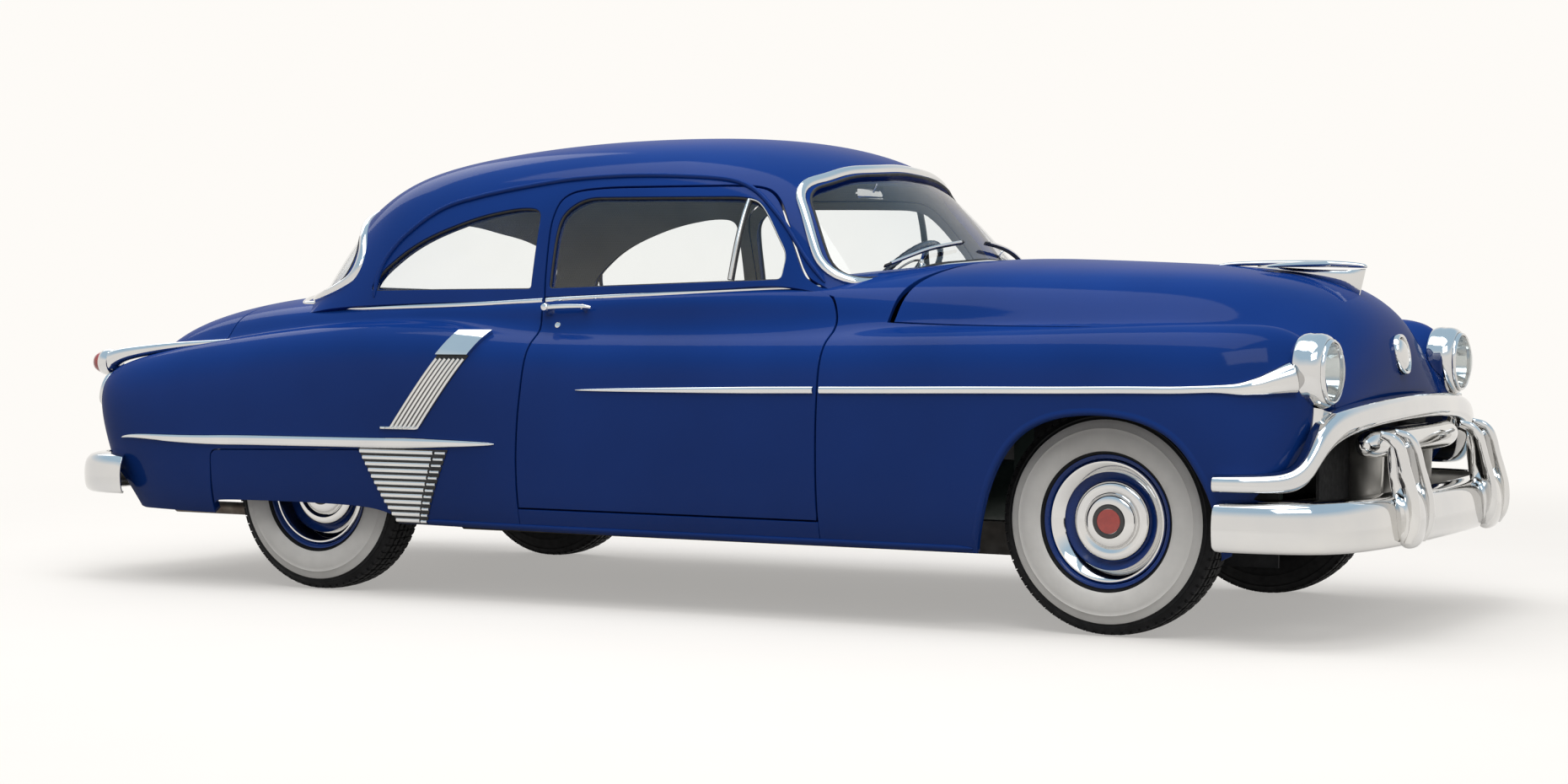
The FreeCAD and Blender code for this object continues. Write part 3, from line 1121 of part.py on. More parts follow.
# Hood ornament, exhaust and fuel tank
ornament = prism(side_view(ornament_shares), -ornament_width / 2, ornament_width / 2)
wing = block(ornament_wing_rear, ornament_wing_front, -ornament_span / 2, ornament_span / 2,
             ornament_wing_height, ornament_wing_height + ornament_width * fourth_share)
keep("hood_ornament", one_solid(joined(ornament, wing).cut(hood)))
exhaust_y = -(rail_spacing - rail_width - exhaust_diameter) / 2 + seat_clearance
exhaust = tube(V(exhaust_front, exhaust_y, exhaust_height), V(exhaust_rear, exhaust_y, exhaust_height),
               exhaust_diameter, exhaust_diameter - 2 * exhaust_wall)
keep("exhaust", exhaust)
tank_top = trunk_floor - seat_clearance
tank_front = rear_axle_x - differential_diameter / 2 - tank_axle_gap
keep("fuel_tank", block(tank_rear, tank_front, -tank_width / 2, tank_width / 2, tank_top - tank_height,
                        tank_top))
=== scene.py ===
"""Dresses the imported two-door sedan of about 1951: painted panels, bright trim, glass, wheels,
cabin and a pale studio. Lengths are metres in the row's frame: +X to the nose, +Y to the car's
left, +Z up. Side views and nets are given in spaces of a tenth of a metre."""

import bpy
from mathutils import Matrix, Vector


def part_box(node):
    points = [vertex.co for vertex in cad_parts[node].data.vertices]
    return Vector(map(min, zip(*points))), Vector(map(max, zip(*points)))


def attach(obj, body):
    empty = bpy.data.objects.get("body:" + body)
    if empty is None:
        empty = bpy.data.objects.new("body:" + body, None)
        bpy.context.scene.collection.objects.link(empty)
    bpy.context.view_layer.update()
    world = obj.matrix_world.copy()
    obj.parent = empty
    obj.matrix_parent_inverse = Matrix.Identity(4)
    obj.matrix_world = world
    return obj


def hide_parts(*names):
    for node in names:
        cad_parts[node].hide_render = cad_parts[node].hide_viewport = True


bl_info = {
    "name": "Two-door sedan",
    "version": (1, 0, 0),
    "blender": (4, 5, 0),
    "location": "3D View > Sidebar > Sedan",
    "description": "Dresses the packed car frame with panels, trim, glass, wheels, cabin and studio",
    "category": "Object",
}

import math

import bmesh
import bpy
import numpy as np
from bpy.props import FloatProperty, FloatVectorProperty, IntProperty, PointerProperty
from bpy.types import Operator, Panel, PropertyGroup
from mathutils import Vector
from mathutils.geometry import delaunay_2d_cdt
from mathutils.kdtree import KDTree

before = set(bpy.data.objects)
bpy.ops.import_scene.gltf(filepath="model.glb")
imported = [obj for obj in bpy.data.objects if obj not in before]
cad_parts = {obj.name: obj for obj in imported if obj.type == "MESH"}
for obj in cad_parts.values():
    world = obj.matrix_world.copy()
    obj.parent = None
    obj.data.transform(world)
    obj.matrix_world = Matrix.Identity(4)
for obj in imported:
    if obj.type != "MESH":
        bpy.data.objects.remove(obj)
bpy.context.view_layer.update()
SPACE = 0.1
# Rows of the nets round the whole width
BODY_ROWS = 22.0
ROOF_ROWS = 8.0
# How the door's cuts lean, and the y of the plane that their outline is drawn on
DOOR_SKEW = 0.25
OUTER_PLANE = -0.964
# A small step along stations and rows, for slopes
NUDGE = 1e-4

# The body's control points, from the grille opening back to the tail, sill to centre line, left side
BODY_SHARES = [
    [(20.95, 8.80, 2.62), (21.05, 8.90, 3.00), (21.25, 8.95, 3.85), (21.60, 8.90, 4.50),
     (22.20, 8.50, 5.00), (22.65, 7.90, 5.60), (22.95, 7.10, 6.20), (23.10, 6.40, 6.60),
     (23.20, 5.70, 6.85), (23.28, 5.00, 7.00), (23.35, 4.10, 7.08), (23.40, 2.20, 7.14),
     (23.42, 0, 7.16)],
    [(20.65, 8.86, 2.60), (20.72, 8.98, 3.00), (20.85, 9.05, 3.80), (21.20, 9.12, 4.70),
     (22.00, 8.88, 5.45), (22.80, 8.05, 6.25), (23.15, 7.05, 6.95), (23.20, 6.30, 7.15),
     (23.08, 5.68, 7.42), (23.15, 4.95, 7.78), (23.35, 4.00, 7.92), (23.52, 2.20, 7.98),
     (23.55, 0, 8.00)],
    [(20.20, 8.90, 2.58), (20.25, 9.04, 3.00), (20.35, 9.14, 3.95), (20.70, 9.24, 5.10),
     (21.70, 9.03, 6.15), (22.80, 8.22, 7.05), (23.30, 7.10, 7.95), (23.22, 6.32, 8.00),
     (22.75, 5.72, 8.05), (22.75, 5.00, 8.50), (23.05, 3.95, 8.75), (23.42, 2.18, 8.85),
     (23.50, 0, 8.88)],
    [(19.70, 8.95, 2.56), (19.75, 9.10, 3.00), (19.80, 9.22, 4.10), (20.10, 9.34, 5.50),
     (21.20, 9.15, 6.95), (22.50, 8.32, 8.15), (22.95, 7.20, 9.15), (22.80, 6.40, 9.12),
     (22.10, 5.80, 8.92), (22.05, 5.10, 9.30), (22.45, 3.95, 9.60), (23.00, 2.20, 9.72),
     (23.15, 0, 9.76)],
    [(19.20, 9.00, 2.54), (19.25, 9.17, 3.00), (19.30, 9.30, 4.20), (19.50, 9.40, 5.75),
     (20.50, 9.25, 7.35), (21.65, 8.62, 8.92), (22.15, 7.55, 9.74), (21.95, 6.68, 9.72),
     (21.20, 6.00, 9.28), (21.15, 5.25, 9.75), (21.50, 4.10, 10.35), (22.15, 2.25, 10.52),
     (22.35, 0, 10.58)],
    [(18.40, 9.08, 2.52), (18.40, 9.26, 3.00), (18.40, 9.38, 4.30), (18.60, 9.41, 5.95),
     (19.40, 9.32, 7.50), (20.35, 8.95, 8.95), (20.80, 8.05, 9.78), (20.60, 7.05, 9.80),
     (20.10, 6.25, 9.35), (20.00, 5.55, 10.10), (20.20, 4.45, 10.90), (20.70, 2.40, 11.15),
     (20.90, 0, 11.22)],
    [(17.30, 9.08, 2.50), (17.30, 9.26, 2.98), (17.30, 9.38, 4.30), (17.40, 9.41, 6.00),
     (17.80, 9.36, 7.55), (18.30, 9.15, 8.82), (18.45, 8.45, 9.64), (18.40, 7.60, 9.80),
     (18.20, 6.60, 9.42), (18.10, 6.00, 10.20), (18.20, 4.95, 11.15), (18.40, 2.65, 11.48),
     (18.50, 0, 11.58)],
    [(15.00, 9.04, 2.50), (15.00, 9.24, 2.97), (15.00, 9.37, 4.30), (15.00, 9.41, 6.00),
     (15.10, 9.37, 7.50), (15.20, 9.20, 8.68), (15.30, 8.68, 9.45), (15.30, 7.90, 9.68),
     (15.30, 6.95, 9.45), (15.30, 6.50, 10.20), (15.30, 5.50, 11.20), (15.40, 2.95, 11.62),
     (15.40, 0, 11.72)],
    [(12.00, 9.00, 2.50), (12.00, 9.20, 2.96), (12.00, 9.34, 4.30), (12.00, 9.38, 6.00),
     (12.00, 9.35, 7.45), (12.00, 9.18, 8.58), (12.00, 8.72, 9.30), (12.00, 8.05, 9.55),
     (12.00, 7.35, 9.50), (12.00, 7.00, 10.20), (12.00, 6.15, 11.20), (12.10, 3.40, 11.75),
     (12.20, 0, 11.85)],
    [(8.80, 8.96, 2.50), (8.80, 9.17, 2.96), (8.80, 9.31, 4.30), (8.80, 9.35, 6.00),
     (8.80, 9.31, 7.40), (8.80, 9.14, 8.48), (8.80, 8.72, 9.16), (8.90, 8.18, 9.42),
     (9.00, 7.72, 9.62), (9.10, 7.45, 10.30), (9.40, 6.60, 11.15), (10.20, 3.80, 11.75),
     (10.50, 0, 11.86)],
    [(5.50, 8.93, 2.50), (5.50, 9.14, 2.96), (5.50, 9.28, 4.30), (5.50, 9.32, 6.00),
     (5.50, 9.28, 7.40), (5.50, 9.11, 8.42), (5.50, 8.72, 9.05), (5.50, 8.25, 9.34),
     (5.50, 8.02, 9.95), (5.50, 7.92, 10.62), (5.80, 7.30, 11.00), (7.00, 4.20, 11.50),
     (7.30, 0, 11.60)],
    [(2.00, 8.90, 2.50), (2.00, 9.12, 2.96), (2.00, 9.26, 4.30), (2.00, 9.30, 6.00),
     (2.00, 9.26, 7.40), (2.00, 9.09, 8.40), (2.00, 8.71, 8.98), (2.00, 8.26, 9.28),
     (2.00, 8.06, 9.90), (2.00, 7.98, 10.52), (2.00, 7.50, 10.85), (2.80, 4.40, 11.00),
     (3.00, 0, 11.10)],
    [(-2.00, 8.90, 2.50), (-2.00, 9.12, 2.96), (-2.00, 9.27, 4.30), (-2.00, 9.31, 6.00),
     (-2.00, 9.27, 7.40), (-2.00, 9.10, 8.38), (-2.00, 8.71, 8.96), (-2.00, 8.26, 9.24),
     (-2.00, 8.06, 9.82), (-2.00, 7.98, 10.38), (-2.00, 7.50, 10.70), (-2.00, 4.40, 10.80),
     (-2.00, 0, 10.85)],
    [(-5.20, 8.92, 2.52), (-5.20, 9.16, 2.98), (-5.20, 9.34, 4.30), (-5.20, 9.40, 6.00),
     (-5.20, 9.37, 7.40), (-5.20, 9.20, 8.42), (-5.20, 8.78, 9.02), (-5.20, 8.27, 9.28),
     (-5.20, 8.05, 9.74), (-5.20, 7.96, 10.25), (-5.20, 7.50, 10.56), (-5.20, 4.50, 10.70),
     (-5.20, 0, 10.75)],
    [(-8.00, 8.97, 2.56), (-8.00, 9.24, 3.02), (-8.00, 9.48, 4.35), (-8.00, 9.55, 6.00),
     (-8.00, 9.52, 7.40), (-8.00, 9.36, 8.58), (-8.00, 8.90, 9.32), (-8.00, 8.30, 9.58),
     (-8.00, 8.02, 9.75), (-8.00, 7.93, 10.12), (-8.00, 7.50, 10.42), (-8.00, 4.60, 10.62),
     (-8.00, 0, 10.66)],
    [(-11.00, 9.00, 2.60), (-11.00, 9.30, 3.05), (-11.00, 9.56, 4.40), (-11.00, 9.64, 6.00),
     (-11.00, 9.61, 7.40), (-11.00, 9.44, 8.60), (-11.00, 8.95, 9.35), (-11.00, 8.32, 9.62),
     (-11.00, 7.98, 9.66), (-11.00, 7.85, 10.02), (-11.00, 7.40, 10.36), (-11.00, 4.60, 10.62),
     (-11.00, 0, 10.68)],
    [(-14.00, 9.00, 2.62), (-14.00, 9.30, 3.06), (-14.00, 9.56, 4.40), (-14.00, 9.64, 5.95),
     (-14.00, 9.60, 7.30), (-14.00, 9.42, 8.45), (-14.00, 8.90, 9.20), (-14.00, 8.25, 9.42),
     (-14.00, 7.85, 9.42), (-14.00, 7.62, 9.86), (-14.00, 7.10, 10.28), (-14.00, 4.30, 10.65),
     (-14.00, 0, 10.75)],
    [(-17.00, 8.98, 2.64), (-17.00, 9.28, 3.08), (-17.00, 9.54, 4.40), (-17.00, 9.62, 5.90),
     (-17.00, 9.56, 7.15), (-17.00, 9.32, 8.20), (-17.00, 8.74, 8.90), (-17.00, 8.05, 9.10),
     (-17.00, 7.60, 9.05), (-17.00, 7.30, 9.55), (-17.00, 6.70, 10.10), (-17.00, 3.90, 10.60),
     (-17.00, 0, 10.72)],
    [(-19.80, 8.95, 2.68), (-19.80, 9.24, 3.10), (-19.90, 9.48, 4.40), (-20.00, 9.56, 5.80),
     (-20.00, 9.48, 6.95), (-20.00, 9.18, 7.90), (-20.00, 8.60, 8.52), (-20.00, 7.95, 8.72),
     (-20.00, 7.35, 8.60), (-20.00, 6.95, 9.10), (-20.00, 6.20, 9.70), (-20.20, 3.60, 10.20),
     (-20.30, 0, 10.32)],
    [(-20.90, 8.80, 2.70), (-20.95, 9.02, 3.12), (-21.20, 9.22, 4.35), (-21.60, 9.38, 5.65),
     (-22.10, 9.32, 6.70), (-22.50, 8.95, 7.50), (-22.70, 8.40, 8.05), (-22.60, 7.75, 8.25),
     (-22.30, 7.10, 8.05), (-22.20, 6.60, 8.50), (-22.30, 5.80, 9.05), (-22.70, 3.40, 9.50),
     (-22.80, 0, 9.60)],
    [(-21.20, 8.72, 2.70), (-21.30, 8.92, 3.15), (-21.70, 9.05, 4.20), (-22.40, 9.20, 5.35),
     (-23.20, 8.95, 6.30), (-23.80, 8.55, 7.05), (-24.10, 8.00, 7.55), (-23.90, 7.45, 7.60),
     (-23.40, 6.90, 7.20), (-23.40, 6.30, 7.50), (-23.60, 5.50, 7.90), (-23.95, 3.20, 8.25),
     (-24.05, 0, 8.35)],
    [(-21.40, 8.66, 2.70), (-21.60, 8.85, 3.20), (-22.10, 8.85, 4.00), (-22.90, 8.90, 4.90),
     (-23.60, 8.50, 5.70), (-24.05, 8.00, 6.20), (-24.20, 7.50, 6.50), (-24.10, 7.05, 6.50),
     (-23.90, 6.50, 6.30), (-23.90, 6.00, 6.40), (-24.05, 5.20, 6.60), (-24.25, 3.10, 6.80),
     (-24.30, 0, 6.90)],
    [(-21.60, 8.60, 2.75), (-21.80, 8.75, 3.20), (-22.35, 8.62, 3.75), (-23.00, 8.50, 4.25),
     (-23.50, 8.00, 4.50), (-23.80, 7.50, 4.60), (-23.95, 7.00, 4.65), (-24.00, 6.50, 4.70),
     (-24.02, 6.00, 4.70), (-24.05, 5.50, 4.72), (-24.10, 4.80, 4.75), (-24.20, 2.90, 4.80),
     (-24.20, 0, 4.82)],
]

# The roof's, from the windshield's foot back to the rear window's, belt to centre line, left side
ROOF_SHARES = [
    [(6.60, 7.68, 10.40), (7.35, 6.90, 10.75), (8.10, 5.50, 11.05), (8.62, 3.90, 11.30),
     (9.00, 2.00, 11.48), (9.12, 0, 11.52)],
    [(5.70, 7.72, 10.42), (6.12, 7.12, 11.90), (6.72, 6.00, 12.35), (7.28, 4.20, 12.62),
     (7.68, 2.10, 12.80), (7.80, 0, 12.86)],
    [(4.40, 7.75, 10.44), (4.62, 7.22, 12.70), (5.12, 6.22, 13.78), (5.74, 4.40, 14.15),
     (6.16, 2.22, 14.34), (6.28, 0, 14.40)],
    [(2.90, 7.77, 10.44), (3.00, 7.38, 12.35), (3.35, 6.68, 14.18), (4.08, 5.00, 15.06),
     (4.60, 2.55, 15.40), (4.76, 0, 15.50)],
    [(0.80, 7.79, 10.42), (0.82, 7.42, 12.35), (0.92, 6.82, 14.24), (1.20, 5.60, 15.38),
     (1.60, 2.90, 16.02), (1.72, 0, 16.14)],
    [(-2.20, 7.80, 10.40), (-2.20, 7.42, 12.35), (-2.20, 6.84, 14.28), (-2.15, 5.66, 15.52),
     (-2.05, 2.94, 16.13), (-2.00, 0, 16.25)],
    [(-5.60, 7.80, 10.36), (-5.60, 7.42, 12.32), (-5.60, 6.84, 14.20), (-5.60, 5.66, 15.44),
     (-5.70, 2.94, 16.04), (-5.75, 0, 16.16)],
    [(-8.50, 7.79, 10.30), (-8.48, 7.40, 12.25), (-8.50, 6.78, 14.00), (-8.72, 5.60, 15.15),
     (-9.20, 2.90, 15.70), (-9.40, 0, 15.82)],
    [(-11.00, 7.76, 10.22), (-10.92, 7.32, 12.05), (-10.98, 6.60, 13.65), (-11.45, 5.35, 14.65),
     (-12.35, 2.80, 15.18), (-12.68, 0, 15.30)],
    [(-12.85, 7.68, 10.14), (-12.68, 7.12, 11.80), (-12.85, 6.28, 13.12), (-13.52, 4.80, 13.92),
     (-14.40, 2.50, 14.28), (-14.70, 0, 14.38)],
    [(-14.20, 7.52, 10.02), (-14.22, 6.80, 11.05), (-14.62, 5.80, 11.95), (-15.40, 4.25, 12.50),
     (-16.12, 2.20, 12.78), (-16.40, 0, 12.86)],
    [(-15.10, 7.25, 9.85), (-15.60, 6.40, 9.95), (-16.30, 5.20, 10.05), (-17.06, 3.70, 10.16),
     (-17.65, 1.90, 10.24), (-17.86, 0, 10.28)],
]


# Surfaces

class Surface:
    """A clamped cubic surface over a net of control points, counted in spaces between them."""

    def __init__(self, net):
        self.net = np.array(net, float)
        self.spans = (self.net.shape[0] - 3, self.net.shape[1] - 3)

    @staticmethod
    def weights(t, spans):
        """Where each value's four control points begin, and their weights."""
        t = np.clip(np.asarray(t, float), 0, spans)
        k = np.minimum(t.astype(int), spans - 1)
        knots = np.concatenate(([0.0] * 3, np.arange(spans + 1.0), [float(spans)] * 3))
        out = np.zeros(t.shape + (4,))
        out[..., 0] = 1
        for degree in range(1, 4):
            saved = 0
            for r in range(degree):
                ahead = knots[k + 4 + r] - t
                behind = t - knots[k + 4 + r - degree]
                part = out[..., r] / (ahead + behind)
                out[..., r] = saved + ahead * part
                saved = behind * part
            out[..., degree] = saved
        return k, out

    def at(self, u, v):
        """Points at stations u and rows v."""
        ku, wu = self.weights(u, self.spans[0])
        kv, wv = self.weights(v, self.spans[1])
        total = 0
        for a in range(4):
            for b in range(4):
                total = total + (wu[..., a] * wv[..., b])[..., None] * self.net[ku + a, kv + b]
        return total

    def slopes(self, u, v):
        """How fast the point moves along the stations and the rows."""
        u0, u1 = (np.clip(u + step, 0, self.spans[0]) for step in (-NUDGE, NUDGE))
        v0, v1 = (np.clip(v + step, 0, self.spans[1]) for step in (-NUDGE, NUDGE))
        along = (self.at(u1, v) - self.at(u0, v)) / (u1 - u0)[..., None]
        across = (self.at(u, v1) - self.at(u, v0)) / (v1 - v0)[..., None]
        return along, across

    def normal(self, u, v):
        """The outward direction."""
        along, across = self.slopes(u, v)
        return unit(np.cross(across, along))

    def raised(self, u, v, height):
        """Points at a height over the surface."""
        return self.at(u, v) + self.normal(u, v) * np.asarray(height, float)[..., None]


class Layer:
    """A surface at a height over another, or under it."""

    def __init__(self, surface, height):
        self.surface, self.height, self.spans = surface, height, surface.spans

    def at(self, u, v):
        """Points at stations u and rows v."""
        return self.surface.raised(u, v, self.height)

    def slopes(self, u, v):
        """How fast the point moves along the stations and the rows."""
        return self.surface.slopes(u, v)

    def normal(self, u, v):
        """The outward direction."""
        return self.surface.normal(u, v)


def unit(vectors):
    """Vectors of length one."""
    size = np.linalg.norm(vectors, axis=-1, keepdims=True)
    return vectors / np.maximum(size, 1e-12)


def full_net(shares):
    """Control points over the whole width of a table for the left side."""
    net = []
    for station in shares:
        left = [(x * SPACE, y * SPACE, z * SPACE) for x, y, z in station]
        net.append([(x, -y, z) for x, y, z in left] + left[-2::-1])
    return net


BODY = Surface(full_net(BODY_SHARES))
ROOF = Surface(full_net(ROOF_SHARES))


def found(surface, targets, rows, seen, stations=None):
    """Stations and rows of points given in a view, seen(points) -> two coordinates."""
    targets = np.asarray(targets, float)
    first, last = stations or (0.0, float(surface.spans[0]))
    gu, gv = np.meshgrid(np.linspace(first, last, 161), np.linspace(rows[0], rows[1], 121), indexing="ij")
    view = seen(surface.at(gu, gv)).reshape(-1, 2)
    best = [int(np.argmin(((view - t) ** 2).sum(1))) for t in targets]
    u, v = gu.ravel()[best], gv.ravel()[best]
    for _ in range(14):
        here = seen(surface.at(u, v))
        du = (seen(surface.at(u + NUDGE, v)) - seen(surface.at(u - NUDGE, v))) / (2 * NUDGE)
        dv = (seen(surface.at(u, v + NUDGE)) - seen(surface.at(u, v - NUDGE))) / (2 * NUDGE)
        miss = targets - here
        area = du[:, 0] * dv[:, 1] - du[:, 1] * dv[:, 0]
        area = np.where(np.abs(area) < 1e-9, 1e-9, area)
        move_u = (miss[:, 0] * dv[:, 1] - miss[:, 1] * dv[:, 0]) / area
        move_v = (du[:, 0] * miss[:, 1] - du[:, 1] * miss[:, 0]) / area
        u = np.clip(u + np.clip(move_u, -0.3, 0.3), first, last)
        v = np.clip(v + np.clip(move_v, -0.3, 0.3), rows[0], rows[1])
    return np.stack((u, v), 1)


def side_view(skew=0.0):
    """The side view, with x read as on the car's outer plane where a cut leans."""
    return lambda p: np.stack((p[..., 0] - skew * (p[..., 1] - OUTER_PLANE), p[..., 2]), -1)


def x_view(points):
    """The places along the car alone."""
    return np.stack((points[..., 0], 0 * points[..., 0]), -1)


def end_view(points):
    """The end view."""
    return np.stack((points[..., 1], points[..., 2]), -1)


# Outlines

def rounded(points, radius, closed=True, count=8):
    """A polygon, or a line, with its corners rounded."""
    points = np.asarray(points, float)
    size = len(points)
    out = []
    for i in range(size):
        reach = radius if np.isscalar(radius) else radius[i]
        if reach == 0 or not closed and i in (0, size - 1):
            out.append(points[i])
            continue
        here, before, after = points[i], points[i - 1], points[(i + 1) % size]
        back, ahead = before - here, after - here
        lb, la = np.linalg.norm(back), np.linalg.norm(ahead)
        a = here + back / lb * min(reach, lb * 0.49)
        b = here + ahead / la * min(reach, la * 0.49)
        for t in np.linspace(0, 1, count):
            out.append((1 - t) ** 2 * a + 2 * t * (1 - t) * here + t * t * b)
    out = np.array(out)
    apart = np.linalg.norm(out - np.roll(out, 1, 0), axis=1) > 1e-6
    return out[apart | (np.arange(len(out)) == 0)]


def spaced(points, spacing, closed=False, place=lambda p: p):
    """A line divided so that no step on the car is longer than the spacing; its points stay."""
    points = np.asarray(points, float)
    ends = np.vstack((points, points[:1])) if closed else points
    out = []
    for a, b in zip(ends[:-1], ends[1:]):
        mid = (a + b) / 2
        spots = place(np.array([a, mid, b]))
        length = np.linalg.norm(spots[1] - spots[0]) + np.linalg.norm(spots[2] - spots[1])
        if length < spacing * 0.12:
            continue
        steps = max(1, int(math.ceil(length / spacing)))
        out += [a + (b - a) * k / steps for k in range(steps)]
    if not closed:
        out.append(ends[-1])
    return np.array(out)


def smooth_line(points, count=10, closed=False):
    """A smooth line through points."""
    points = np.asarray(points, float)
    if closed:
        padded = np.vstack((points[-1:], points, points[:2]))
    else:
        padded = np.vstack((2 * points[:1] - points[1:2], points, 2 * points[-1:] - points[-2:-1]))
    t = np.linspace(0, 1, count, endpoint=False)[:, None]
    out = []
    for p0, p1, p2, p3 in zip(padded[:-3], padded[1:-2], padded[2:-1], padded[3:]):
        out.append(0.5 * (2 * p1 + (p2 - p0) * t + (2 * p0 - 5 * p1 + 4 * p2 - p3) * t ** 2
                          + (3 * p1 - p0 - 3 * p2 + p3) * t ** 3))
    line = np.vstack(out)
    return line if closed else np.vstack((line, points[-1:]))


def inside(points, polygon):
    """Which points lie in a closed polygon."""
    x, y = points[:, 0], points[:, 1]
    result = np.zeros(len(points), bool)
    for (x0, y0), (x1, y1) in zip(polygon, np.roll(polygon, -1, 0)):
        if y0 == y1:
            continue
        crosses = ((y0 > y) != (y1 > y)) & (x < (x1 - x0) * (y - y0) / (y1 - y0) + x0)
        result ^= crosses
    return result


def other_half(line, rows):
    """A line of stations and rows on the right, with its mirror image back on the left."""
    left = line[::-1].copy()
    left[:, 1] = rows - left[:, 1]
    return np.vstack((line, left[1:-1]))


# Meshes

def place_object(name, mesh, body, stands_for=()):
    """Put a mesh in the scene, riding a body and standing for CAD nodes."""
    obj = bpy.data.objects.new(name, mesh)
    bpy.context.scene.collection.objects.link(obj)
    if body:
        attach(obj, body)
    if stands_for:
        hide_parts(*stands_for)
    return obj


def mesh_of(name, vertices, faces, materials, marks=None, normals=None, crease=None):
    """A smooth mesh, with a material per face, its own normals, or edges sharper than an angle."""
    mesh = bpy.data.meshes.new(name)
    mesh.from_pydata([tuple(p) for p in vertices], [], [tuple(int(i) for i in f) for f in faces])
    for item in materials:
        mesh.materials.append(item)
    if marks is not None:
        mesh.polygons.foreach_set("material_index", np.asarray(marks, np.int32))
    mesh.polygons.foreach_set("use_smooth", np.ones(len(mesh.polygons), bool))
    mesh.update()
    if crease is not None:
        mesh.set_sharp_from_angle(angle=math.radians(crease))
    if normals is not None:
        mesh.normals_split_custom_set_from_vertices([tuple(n) for n in normals])
    return mesh


def merged(parts):
    """Several (vertices, faces, marks, normals) as one."""
    vertices, faces, marks, normals, start = [], [], [], [], 0
    for part in parts:
        vertices.append(part[0])
        faces += [[i + start for i in f] for f in part[1]]
        marks += list(part[2])
        normals.append(part[3])
        start += len(part[0])
    return np.vstack(vertices), faces, marks, np.vstack(normals)


# How far in and how high a panel's edge lies at each point, from its flat to its wall: plain, and as a
# raised lip
PLAIN_EDGE = ((0.0022, 0.0018, 0.0013, 0.0006, 0.0, 0.0), (0.0, -0.0001, -0.0003, -0.0009, -0.0022))
ROLLED_LIP = ((0.026, 0.019, 0.011, 0.004, 0.0, 0.0), (0.0, 0.0035, 0.0055, 0.0045, -0.001))


def edge_rings(surface, loop, metric, outer, depth, lip):
    """A panel's edge along a loop: where its flat begins, in stations and rows, and the rings of
    (points, directions) from there round to the inner side. Lip gives how much of a raised lip
    the edge has at each point."""
    scaled = loop * metric
    after, before = np.roll(scaled, -1, 0), np.roll(scaled, 1, 0)
    turn = np.sum(scaled[:, 0] * after[:, 1] - after[:, 0] * scaled[:, 1])
    out_sign = 1 if (turn > 0) == outer else -1
    along, across = surface.slopes(loop[:, 0], loop[:, 1])
    normal = unit(np.cross(across, along))
    spots = surface.at(loop[:, 0], loop[:, 1])
    tangent = unit(np.roll(spots, -1, 0) - np.roll(spots, 1, 0))
    outward = unit(np.cross(tangent, normal))
    step = (after - before) / metric
    rough = (along * step[:, 1:2] * metric[1] ** 2 - across * step[:, 0:1] * metric[0] ** 2) * out_sign
    outward *= np.sign(np.sum(rough * outward, 1))[:, None]
    lift = np.zeros(len(loop)) if lip is None else lip(spots)
    inset, height = ([p + (q - p) * lift for p, q in zip(*pair)] for pair in zip(PLAIN_EDGE, ROLLED_LIP))
    height.append(-depth + 0 * lift)
    first = spots - outward * inset[0][:, None]
    move = first - spots
    aa, ab, bb = (along ** 2).sum(1), (along * across).sum(1), (across ** 2).sum(1)
    ma, mb = (along * move).sum(1), (across * move).sum(1)
    shift = np.stack(((ma * bb - mb * ab), (mb * aa - ma * ab)), 1) / (aa * bb - ab * ab)[:, None]
    last = len(inset) - 1
    group = []
    for k in range(1, last + 1):
        spot = spots - outward * inset[k][:, None] + normal * height[k][:, None]
        ahead = min(k + 1, last)
        way = outward * (height[k - 1] - height[ahead])[:, None] + normal * (inset[k - 1]
                                                                             - inset[ahead])[:, None]
        group.append((spot, unit(way) if k < last else outward))
    return np.clip(loop + shift, 0, np.array(surface.spans, float)), group


def filled(surface, outlines, metric, spacing):
    """The flat of a panel within the first outline and outside the rest: its stations and rows,
    its triangles, and the place of each outline's points among them."""
    border, edges = np.vstack(outlines), []
    for outline in outlines:
        base, size = len(edges), len(outline)
        edges += [(base + i, base + (i + 1) % size) for i in range(size)]
    tree = KDTree(len(border))
    for i, spot in enumerate(surface.at(border[:, 0], border[:, 1])):
        tree.insert(spot, i)
    tree.balance()
    low, high = border.min(0), border.max(0)
    nu, nv = (max(3, int((high[k] - low[k]) * metric[k] / spacing)) for k in (0, 1))
    gu, gv = np.meshgrid(np.linspace(low[0], high[0], nu), np.linspace(low[1], high[1], nv), indexing="ij")
    grid = np.stack((gu.ravel(), gv.ravel()), 1)
    grid = grid[on_panel(grid, outlines)]
    near = np.array([tree.find(spot)[2] for spot in surface.at(grid[:, 0], grid[:, 1])])
    every = np.vstack((border, grid[near > spacing * 0.55])) * metric
    points, _, faces, origin, _, _ = delaunay_2d_cdt([Vector(p) for p in every], edges, [], 0, 1e-7)
    uv = np.array([tuple(p) for p in points]) / metric
    wanted = on_panel(np.array([uv[f].mean(0) for f in faces]), outlines)
    where = {s: i for i, sources in enumerate(origin) for s in sources}
    return uv, [f for f, ok in zip(faces, wanted) if ok], where


def on_panel(points, outlines):
    """Which points lie within the first outline and outside the rest."""
    kept = inside(points, outlines[0])
    for hole in outlines[1:]:
        kept &= ~inside(points, hole)
    return kept


def band(first, second):
    """Faces between two rings of vertex numbers."""
    return [[a, b, d, c] for a, b, c, d in zip(first, first[1:] + first[:1], second, second[1:] + second[:1])]


